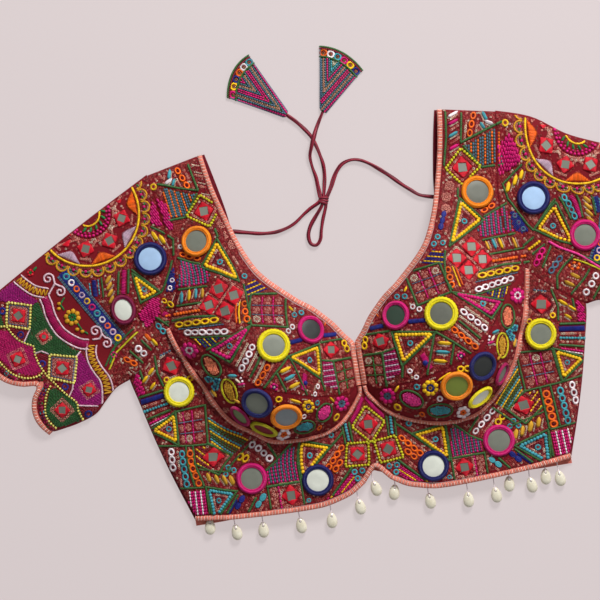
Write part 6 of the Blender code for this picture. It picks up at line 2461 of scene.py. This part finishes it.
# ------------------------------------------------------------------ cowry drops
@dataclass(frozen=True)
class Drops:
    """The cowries that hang from the hem, lying on the surface, and their threads."""

    length: float = 16.0
    width: float = 11.2
    depth: float = 7.2
    rings: int = 28
    sides: int = 28
    girths: tuple[tuple[float, float], ...] = (  # (share of the length, share of the width)
        (0, 0.26), (0.08, 0.50), (0.2, 0.72), (0.35, 0.90), (0.52, 0.99), (0.66, 1.0), (0.8, 0.90),
        (0.9, 0.70), (0.97, 0.42), (1.0, 0.12))
    hole_share: float = 0.24
    slit_width: float = 0.7
    teeth: int = 11
    off_floor: float = 0.12
    thread_radius: float = 0.34
    thread_off: float = 0.28
    thread_twist: float = 2.4       # radians a millimetre
    places: tuple[tuple[str, float, float, float], ...] = (
        ("back", -181, -117, -8), ("front", -152, -127, 4), ("front", -124, -129, -5),
        ("front", -85, -131, 3), ("front", -53, -131, -4), ("front", -22, -122, 6), ("front", -3, -106, 12),
        ("front", 15, -113, -14), ("front", 50, -128, 5), ("front", 89, -133, -3), ("front", 118, -133, 4),
        ("back", 133, -124, -6), ("front", 155, -129, 7), ("back", 169, -123, -4), ("front", 182, -127, 5))

    def shell(self, number: int, top: Array, down: Array, finish: bpy.types.Material) -> None:
        """Make one shell: an egg with its hole above and its toothed slit below."""
        share = (1 - np.cos(math.pi * np.linspace(0.02, 0.98, self.rings))) / 2
        girth = np.interp(share, *np.transpose(self.girths))
        girth = np.convolve(np.pad(girth, 2, mode="edge"), np.ones(5) / 5, mode="valid")
        angle = turns(self.sides)
        across = np.outer(girth, np.cos(angle)) * self.width / 2
        high = np.outer(girth ** 0.9, np.sin(angle)) * self.depth / 2
        run = np.repeat(share[:, None], self.sides, axis=1)
        near_hole = np.hypot((run - self.hole_share) * self.length, across)
        hollow_and_shade = np.where(high > 0, np.exp(-near_hole ** 4), 0.0)
        groove = np.where(high < 0, np.exp(-(across / self.slit_width) ** 2), 0.0)
        slit = groove * np.sin(math.pi * run) ** 0.5
        teeth = 0.5 + 0.5 * np.sin(run * 2 * math.pi * self.teeth)
        high = high - np.sign(high) * (hollow_and_shade * 0.9 + slit * (0.5 + 0.4 * teeth))
        side = np.array((down[1], -down[0]))
        plan = top + run[..., None] * self.length * down + across[..., None] * side
        points = np.concatenate((plan, (high + self.depth / 2 + self.off_floor)[..., None]), axis=2)
        made = solid(f"shell_{number:02d}", *tube(points))
        # the hole and the slit are marked for painted shade
        mark(made, "hollow_and_shade", np.clip(hollow_and_shade + slit * 0.7, 0, 1))
        dressed(made, "shell", finish)
        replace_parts(made, f"cowry_{number:02d}")

    def build(self, lie: Lie, cut: Cut, finishes: dict[str, bpy.types.Material]) -> None:
        """Make every shell, and their twisted threads as one piece."""
        strands = []
        back_edge = moved(cut.back(Half.LEFT)[-1], -BINDING_FULL)
        for number, (hem, x, y, lean) in enumerate(self.places, 1):
            down = aim(math.radians(lean - 90))
            middle = np.array((x, y), float)
            top = middle - down * self.length / 2
            half = Half.LEFT if x > 0 else Half.RIGHT
            edge = cut.hem if hem == "front" else back_edge[np.argsort(back_edge[:, 0])]
            start = np.array((top[0] - down[0], np.interp(abs(top[0]), edge[:, 0], edge[:, 1]) + 1.5))
            high = lie.height(start[None] * (half.sign, 1), half)[0] - 2.4 if hem == "front" else 1.0
            hole = top + down * self.length * self.hole_share
            route = np.array(((*start, high), (*(start * 0.45 + top * 0.55), high * 0.4 + 1.6), (*top, 4.9),
                              (*(top * 0.5 + hole * 0.5), 6.4), (*hole, 6.2)))
            drifted = lie.settled(route)
            line = smooth_line(drifted, 26)
            for phase in (0.0, math.pi):
                spun = walked(line) * self.thread_twist + phase
                off = np.column_stack((np.cos(spun), np.zeros(len(line)), np.sin(spun))) * self.thread_off
                strands.append(swept(line + off, self.thread_radius, 6))
            shift = drifted[2, :2] - top
            self.shell(number, top + shift, down, finishes["cowry"])
        threads = solid("drop_threads", *joined(strands))
        paint(threads, "white")
        dressed(threads, "thread", finishes["thread"])


# ------------------------------------------------------------------ the dori
@dataclass(frozen=True)
class Dori:
    """The two tied cords at the back neck, with their knot and loop."""

    diameter: float = 3.6
    rest: float = 0.25
    left: tuple[tuple[float, float, float], ...] = (
        (106.4, 179.6, 0), (92, 184, 0), (83, 191, 0), (75, 198, 0), (65, 208, 0), (55, 217, 0), (45, 225, 0),
        (36, 230, 0), (27, 231.5, 0), (18, 229, 0), (11.5, 223, 0), (7, 216, 0.2), (3, 208, 1.0),
        (-2.0, 199.9, 2.0), (-5.6, 194, 2.2), (-6.0, 188.5, 2.0), (-11, 176, 0.6), (-14.5, 165, 0),
        (-17, 156, 0), (-22, 151, 0), (-27.5, 153.5, 0), (-28.5, 162, 0), (-25, 171, 0),
        (-18.5, 179.5, 0.6), (-10.6, 188.9, 2.0), (-7.6, 195, 2.6), (-5.9, 201.5, 2.0), (-3.9, 210, 0.8),
        (-2, 220, 0), (-1.5, 231, 0), (-3, 241, 0), (-5, 250, 0), (-8.5, 261, 0), (-14, 270, 0),
        (-22, 280, 0), (-29.9, 287.9, 0), (-34, 292.4, 0.3))
    right: tuple[tuple[float, float, float], ...] = (
        (-104.6, 179, 0), (-89, 175, 0), (-76, 172, 0), (-62, 171, 0), (-50, 173, 0), (-40, 177, 0),
        (-30, 184, 0.2), (-22, 189, 1.0), (-12.6, 193.6, 2.0), (-9.8, 197, 2.4), (-10.0, 200.7, 2.0),
        (-10.6, 211, 0.8), (-11, 220, 0), (-13, 231, 0), (-13.5, 242, 1.0), (-10.5, 251, 4.0),
        (-6.5, 260.5, 4.4), (-2.5, 269, 1.2), (2, 277, 0), (6.8, 284.8, 0), (9.6, 290.4, 0.3))
    sides: int = 14
    knot: tuple[float, float] = (-7.0, 195.0)
    knot_height: float = 4.4
    knot_cord: float = 1.75
    knot_flatness: float = 0.62
    knot_sides: int = 10
    coils: tuple[tuple[float, float, float], ...] = (  # (lean in radians, reach, shift along the bundle)
        (0.5, 3.4, 0.0), (0.25, 3.7, 2.08), (0.7, 3.5, -2.08))

    def route(self, rows: Sequence[Sequence[float]]) -> Array:
        """Return a cord's middle line, mm."""
        points = np.array(rows, float)
        points[:, 2] += self.diameter / 2 + self.rest
        return smooth_line(points, 240)

    def cord(self, name: str, rows: Sequence[Sequence[float]], nodes: Sequence[str],
             finish: bpy.types.Material, seed: float) -> None:
        """Lay one cord: a rolled tube whose flattened section turns slowly along it.

        Args:
            name: Its name.
            rows: Its route.
            nodes: The nodes that it stands for.
            finish: Its finish.
            seed: Where its twist starts.
        """
        line = self.route(rows)
        gone = walked(line)
        twist = gone * 0.045 + seed + 0.8 * np.sin(gone * 0.021 + seed)
        angle = turns(self.sides)
        side, up = crossways(line)
        width = self.diameter / 2 * (1.06 + 0.07 * np.sin(gone * 0.11 + seed) + 0.05 * np.sin(gone * 0.31))
        reach = width[:, None] * (1 + 0.14 * np.cos(2 * (angle - twist[:, None])))
        rings = (line[:, None] + (np.cos(angle) * reach)[..., None] * side[:, None]
                 + (np.sin(angle) * reach * 0.93)[..., None] * up[:, None])
        made = solid(name, *tube(rings))
        mark(made, "around", (angle[None] - twist[:, None]) / (2 * math.pi))
        dressed(made, "dori_cloth", finish)
        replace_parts(made, *nodes)

    def tie(self, finish: bpy.types.Material) -> None:
        """Make the knot: a wrap of cord round the bundle."""
        centre = np.array((*self.knot, self.knot_height))
        turn = turns(32)
        angle = turns(self.knot_sides)[None, :, None]
        coils = []
        for lean, reach, shift in self.coils:
            axis = unit(np.array((math.sin(lean) * 0.6, math.cos(lean), 0.0)))
            side = np.array((axis[1], -axis[0], 0.0))
            ring = (centre + axis * shift + np.outer(np.cos(turn) * reach, side)
                    + np.outer(np.sin(turn) * reach * self.knot_flatness, (0, 0, 1.0)))
            out = np.cross(unit(np.roll(ring, -1, axis=0) - np.roll(ring, 1, axis=0)), axis)
            rings = ring[:, None] + self.knot_cord * (np.cos(angle) * out[:, None] + np.sin(angle) * axis)
            rings[..., 2] = np.maximum(rings[..., 2], 0.15)
            coils.append((rings.reshape(-1, 3), quads(len(ring), self.knot_sides, True, True)))
        made = solid("knot_wrap", *joined(coils))
        mark(made, "around", np.arange(len(made.data.vertices)) % self.knot_sides / self.knot_sides)
        dressed(made, "dori_cloth", finish)
        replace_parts(made, "dori_knot")


# ------------------------------------------------------------------ latkans
@dataclass(frozen=True)
class Latkan:
    """A padded fan of embroidered cloth at the end of a dori."""

    name: str
    tip: tuple[float, float]
    corners: tuple[tuple[float, float], tuple[float, float]]
    swell: float
    eyelets: tuple[str, ...]
    skew: float
    edge_top: float = 1.2
    depth: float = 5.0
    gap: float = 0.35
    tip_width: float = 6.0
    border: float = 11.6
    chevron_start: float = 1.3
    chevron_pitch: float = 2.05
    chevrons: tuple[str, ...] = (
        "magenta", "slate", "sequin", "slate", "magenta", "magenta", "slate", "sequin", "slate", "magenta",
        "slate", "teal", "sequin", "slate", "magenta", "magenta", "slate", "teal")
    stations: tuple[tuple[float, float], ...] = (
        (0.0, 0.888), (0.12, 0.968), (0.35, 0.981), (0.6, 0.792), (0.82, 0.62), (0.94, 0.62), (1.0, 0.45))

    @property
    def axis(self) -> Array:
        """The way from the tip to the far edge."""
        return unit(np.mean(self.corners, axis=0) - self.tip)

    @property
    def across(self) -> Array:
        """The way from the first to the second corner."""
        return unit(np.subtract(self.corners[1], self.corners[0], dtype=float))

    @property
    def foot(self) -> Array:
        """The middle of the near edge."""
        return self.tip + self.axis * self.gap

    def point(self, share: Array | float, t: Array | float) -> Array:
        """Return the plan point at a share from tip to far edge, and a share across."""
        a, b = (np.array(corner, float) for corner in self.corners)
        share, t = np.broadcast_arrays(share, t)
        edge = a + (b - a) * t[..., None] + self.axis * (self.swell * 4 * t * (1 - t))[..., None]
        start = self.foot + self.across * ((t - 0.5) * self.tip_width)[..., None]
        return start + (edge - start) * share[..., None]

    def shares(self, plan: Array) -> tuple[Array, Array]:
        """Return the two shares at plan points."""
        away = plan - self.foot
        far, off = away @ self.axis, away @ self.across
        share = far / (self.length_vector() @ self.axis)
        t = np.full(len(plan), 0.5)
        for _ in range(6):
            spine = self.point(share, 0.5) - self.foot
            width = np.linalg.norm(self.point(share, 1.0) - self.point(share, 0.0), axis=1)
            t = np.clip(0.5 + (off - spine @ self.across) / width, 0, 1)
            reach = (self.point(1.0, t) - self.point(0.0, t)) @ self.axis
            share = np.clip(far / reach, 0, 1)
        return share, t

    def length_vector(self) -> Array:
        """Return the way from the tip to the middle of the far edge."""
        return self.point(1.0, 0.5) - self.tip

    def top(self, share: Array, t: Array) -> Array:
        """Return the height of the upper face."""
        fullness = np.interp(share, *np.array(self.stations).T)
        return self.edge_top + (self.depth * fullness - self.edge_top) * (1 - np.abs(2 * t - 1) ** 3)

    def place(self, plan: Array, lift: Array) -> Array:
        """Return points on or off the upper face, mm."""
        return np.column_stack((plan, self.top(*self.shares(plan)) + lift))

    def body(self, finish: bpy.types.Material) -> bpy.types.Object:
        """Make the padded fan."""
        share, t = np.meshgrid(even(40), even(30), indexing="ij")
        plan = self.point(share, t)
        puckered = 0.12 * np.sin(plan[..., 0] * 0.9) * np.sin(plan[..., 1] * 0.8)
        over = np.concatenate((plan, (self.top(share, t) + puckered)[..., None]), axis=2)
        under = np.concatenate((plan, np.full((*share.shape, 1), 0.1)), axis=2)
        made = solid(f"cloth_{self.name}", *walled(over, under))
        dressed(made, "latkan_cloth", finish)
        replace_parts(made, self.name)
        return made

    def work(self, rng: np.random.Generator) -> Stitches:
        """Return the fan's needlework: nested chevrons, and eyelets in a green border."""
        n = Needle(Stitches(), rng)
        inner = 1 - self.border / np.linalg.norm(self.length_vector())
        outline = np.vstack((self.point(inner, even(8)), self.point(0.0, np.array((1.0, 0.0)))))
        sides = [self.point(even(1), t) for t in (0.0, 1.0)]
        ways = [unit(end - start) for start, end in sides]
        rights = [np.array((way[1], -way[0])) for way in ways]
        skews = (self.skew, 0.0)
        for number, dye in enumerate(self.chevrons):
            first = self.chevron_start + number * self.chevron_pitch
            for which, other in ((0, 1), (1, 0)):
                offset = first + skews[which]
                if offset < 1.0:
                    continue
                inwards = rights[which] * np.sign(rights[which] @ self.across) * (-1 if which else 1)
                places, angles = along(sides[which] + inwards * offset, 2.6, 0.5 if number % 2 else 0.25)
                away = np.abs((places - sides[other][0]) @ rights[other])
                keep = inside(places, outline, 0.4) & (away > first + skews[other])
                if dye == "sequin":
                    tint = "petal" if number % 3 else "cream"
                    n.work.add(Shape.SEQUIN, places[keep], angles[keep], (2.4, 2.4, 0.8), tint, 0.4)
                else:
                    n.work.add(Shape.SATIN, places[keep], angles[keep], (3.0, 1.9, 1.5), dye, 0.4)
        for share, dye, width in ((0.985, "green", 2.0), (0.955, "maroon", 2.0),
                                  (inner + 0.01, "green", 2.2)):
            n.stem(self.point(share, even(12)), dye, width)
        count = len(self.eyelets)
        for spot, dye in zip(self.point((inner + 0.955) / 2, (np.arange(count) + 0.5) / count), self.eyelets):
            n.eyelets(spot[None], dye, 9.2)
        for t in (0.015, 0.985):
            n.stem(self.point(np.linspace(0.02, 0.98, 20), t), "slate", 1.5)
        return n.work


# ------------------------------------------------------------------ the studio
@dataclass(frozen=True)
class Studio:
    """Pale floor, soft light and a camera straight above."""

    floor_dye: tuple[int, int, int] = (218, 206, 206)
    camera_over: tuple[float, float] = (-0.048, 0.098)
    camera_height: float = 2.0
    turn: float = math.radians(9.5)
    view_width: float = 0.618
    sensor: float = 36.0
    floor_reach: float = 6.0
    floor_level: float = -0.0004
    sky_colour: Colour = (0.93, 0.95, 1.0)
    sky_strength: float = 0.27
    lit_point: tuple[float, float, float] = (0.0, 0.06, 0.0)
    lamps: tuple[tuple[str, tuple[float, float, float], float, float], ...] = (  # (name, place, size, watts)
        ("window", (1.0, 1.9, 1.6), 0.7, 72.0), ("fill", (1.7, -0.4, 1.6), 1.2, 5.0))

    def camera(self) -> None:
        """Stand the camera."""
        data = bpy.data.cameras.new("camera")
        data.sensor_width = self.sensor
        data.lens = self.sensor * self.camera_height / self.view_width
        made = in_scene("camera", data)
        made.location = (*self.camera_over, self.camera_height)
        made.rotation_euler = (0.0, 0.0, -self.turn)
        bpy.context.scene.camera = made

    def floor(self) -> None:
        """Lay the floor, a little self-lit so that it stays even."""
        tone = dyed(*self.floor_dye)
        finish = Shader("floor", base_color=(*(c * 0.28 for c in tone), 1.0), roughness=0.9,
                        emission_color=(*tone, 1.0), emission_strength=0.745, specular_ior_level=0.1)
        mesh = bpy.data.meshes.new("floor")
        reach = self.floor_reach
        corners = ((-reach, -reach), (reach, -reach), (reach, reach), (-reach, reach))
        mesh.from_pydata([(*corner, self.floor_level) for corner in corners], [], [(0, 1, 2, 3)])
        mesh.materials.append(finish.material)
        in_scene("floor", mesh)

    def lights(self) -> None:
        """Hang the soft lights and set the sky."""
        world = bpy.data.worlds.new("sky")
        world.use_nodes = True
        sky = world.node_tree.nodes["Background"].inputs
        sky["Color"].default_value = (*self.sky_colour, 1.0)
        sky["Strength"].default_value = self.sky_strength
        bpy.context.scene.world = world
        for name, place, size, power in self.lamps:
            lamp = bpy.data.lights.new(name, "AREA")
            lamp.size = size
            lamp.energy = power
            made = in_scene(name, lamp)
            made.location = place
            made.rotation_euler = (Vector(self.lit_point) - Vector(place)).to_track_quat("-Z", "Y").to_euler()
        bpy.context.scene.view_settings.view_transform = "Standard"


# ------------------------------------------------------------------ the whole blouse
MIRROR_REFLECTION_TINTS = (  # the glass of mirrors 1 to 19, each a painted reflection: the colour it shows of what hangs over it
    "grey", "grey", "pale", "jet", "grey", "steel", "grey", "pale", "smoke", "dark", "smoke",
    "grey", "jet", "olive", "grey", "pale", "sky", "sky", "grey")
RING_DYES = {"orange": "amber", "yellow": "lemon", "pink": "magenta", "navy": "ink"}
LOOSE_MIRRORS = (  # (name, dye, half, x, y, radii, spin in degrees, glass: its painted reflection)
    ("oval_maroon", "wine", Half.RIGHT, 228, 118, (13.0, 16.0), 4, "pale"),
    ("oval_magenta", "rose", Half.RIGHT, 139.5, -8, (13.5, 8.8), -62, "moss"),
    ("oval_lemon", "lime", Half.RIGHT, 118, -31, (15.5, 8.6), -24, "maroon"),
    ("oval_rose", "rose", Half.LEFT, 140, -9, (13.0, 7.0), 60, "grey"),
    ("oval_gold", "lemon", Half.LEFT, 115, -28, (15.5, 9.6), 26, "pale"))


def node_disc(obj: bpy.types.Object) -> tuple[Array, Array, float]:
    """Return the foot's centre, the normal and the radius of a mirror's node, mm."""
    points = points_of(obj).astype(float) / MM
    middle = points.mean(0)
    normal = np.linalg.svd(points - middle, full_matrices=False)[2][-1]
    normal *= np.sign(normal[2])
    high = (points - middle) @ normal
    flat = points - middle - np.outer(high, normal)
    return middle + normal * high.min(), normal, float(np.linalg.norm(flat, axis=1).max())


def round_mirrors(nodes: dict[str, bpy.types.Object], lie: Lie, finishes: dict[str, bpy.types.Material],
                  glass: bpy.types.Material) -> list[RoundHole]:
    """Make every ring mirror and return the places that they cover."""
    holes = []
    for name in sorted(n for n in nodes if n.startswith("mirror_")):
        _, number, colour = name.split("_")
        centre, normal, radius = node_disc(nodes[name])
        mirror = RingMirror(f"{number}_{colour}", colour, centre, normal, (radius, radius), 0.3 * int(number),
                            MIRROR_REFLECTION_TINTS[int(number) - 1], colour == "yellow")
        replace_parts(mirror.build(finishes[RING_DYES[colour]], glass), name)
        holes.append(RoundHole(centre, normal, radius - 0.6))
    for name, dye, half, x, y, radii, spin, tint in LOOSE_MIRRORS:
        around = lie.on_front(np.array(((x, y), (x + 6, y), (x, y + 6), (x - 6, y), (x, y - 6))), half, 0.6)
        normal = np.cross(around[1] - around[3], around[2] - around[4])
        normal *= np.sign(normal[2]) / np.linalg.norm(normal)
        centre = around.mean(0) + normal * 0.8
        mirror = RingMirror(name, dye, centre, normal, radii, math.radians(spin), tint)
        mirror.build(finishes[dye], glass)
        holes.append(RoundHole(centre, normal, min(radii) * 1.02))
    return holes


def centre_diamond(tailor: Tailor) -> None:
    """Sew the beaded diamond that lies across the centre of the band."""
    needle = Needle(Stitches(), np.random.default_rng(5))
    needle.beaded(path(0, -20, 17, -39, 0, -58, -17, -39), 9.5, "lime")

    def place(plan: Array, lift: Array) -> Array:
        """Lay points of both halves on the front's face."""
        points = tailor.lie.on_front(np.column_stack((np.abs(plan[:, 0]), plan[:, 1])), Half.LEFT, lift)
        points[:, 0] *= np.where(plan[:, 0] < 0, -1, 1)
        return points

    tailor.embroiderer.sew("centre", needle.work, place)


def main() -> None:
    """Build the blouse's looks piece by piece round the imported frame."""
    logging.basicConfig(level=logging.INFO, format="%(name)s: %(message)s")
    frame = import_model()
    studio = Studio()
    studio.camera()
    lie, cut = Lie(), Cut()
    shop = Workshop()
    finishes = {
        "ground": WovenCloth("maroon ground", "ground", 0.6).material(),
        "plain": WovenCloth("plain back", "maroon", 0.5, 0.08).material(),
        "fan": WovenCloth("fan cloth", "green", 0.6).material(),
        "tape": RibbedTape().material(), "rolled": RolledTube().material(), "cowry": Cowry().material(),
        "thread": shop.finishes["thread"]}
    for dye in ("amber", "lemon", "magenta", "ink", "wine", "rose", "lime"):
        finishes[dye] = WoundRing(f"wound {dye}", dye).material()
    rng = np.random.default_rng(7)
    embroiderer = Embroiderer(shop, rng)
    dori = Dori()
    fans = (
        Latkan("latkan_right", (-30, 288), ((-59, 356), (-88, 316)), 7.0,
               ("teal", "white", "orange", "navy", "yellow", "magenta"), 0.0),
        Latkan("latkan_left", (7, 285), ((15, 353), (55, 321)), 6.0,
               ("orange", "white", "teal", "magenta", "yellow", "navy"), -12.0))
    ends = {fan.name: fan.body(finishes["fan"]) for fan in fans}
    dori.cord("dori_left", dori.left, ("dori_left_neck", "dori_loop", "dori_left_tail"),
              finishes["rolled"], 0.4)
    dori.cord("dori_right", dori.right, ("dori_right_neck", "dori_right_tail"),
              finishes["rolled"], 2.1)
    dori.tie(finishes["rolled"])
    for fan in fans:
        embroiderer.sew(fan.name, fan.work(rng), fan.place)
    embroiderer.holes = round_mirrors(frame["nodes"], lie, finishes, shop.finishes["mirror_glass"])
    tailor = Tailor(lie, cut, embroiderer, finishes)
    tailor.band()
    for half in Half:
        tailor.front(half)
        tailor.back(half)
        tailor.sleeve(half)
        tailor.embroider(half)
    centre_diamond(tailor)
    tailor.bindings()
    Drops().build(lie, cut, finishes)
    studio.floor()
    studio.lights()


if __name__ == "__main__":
    main()
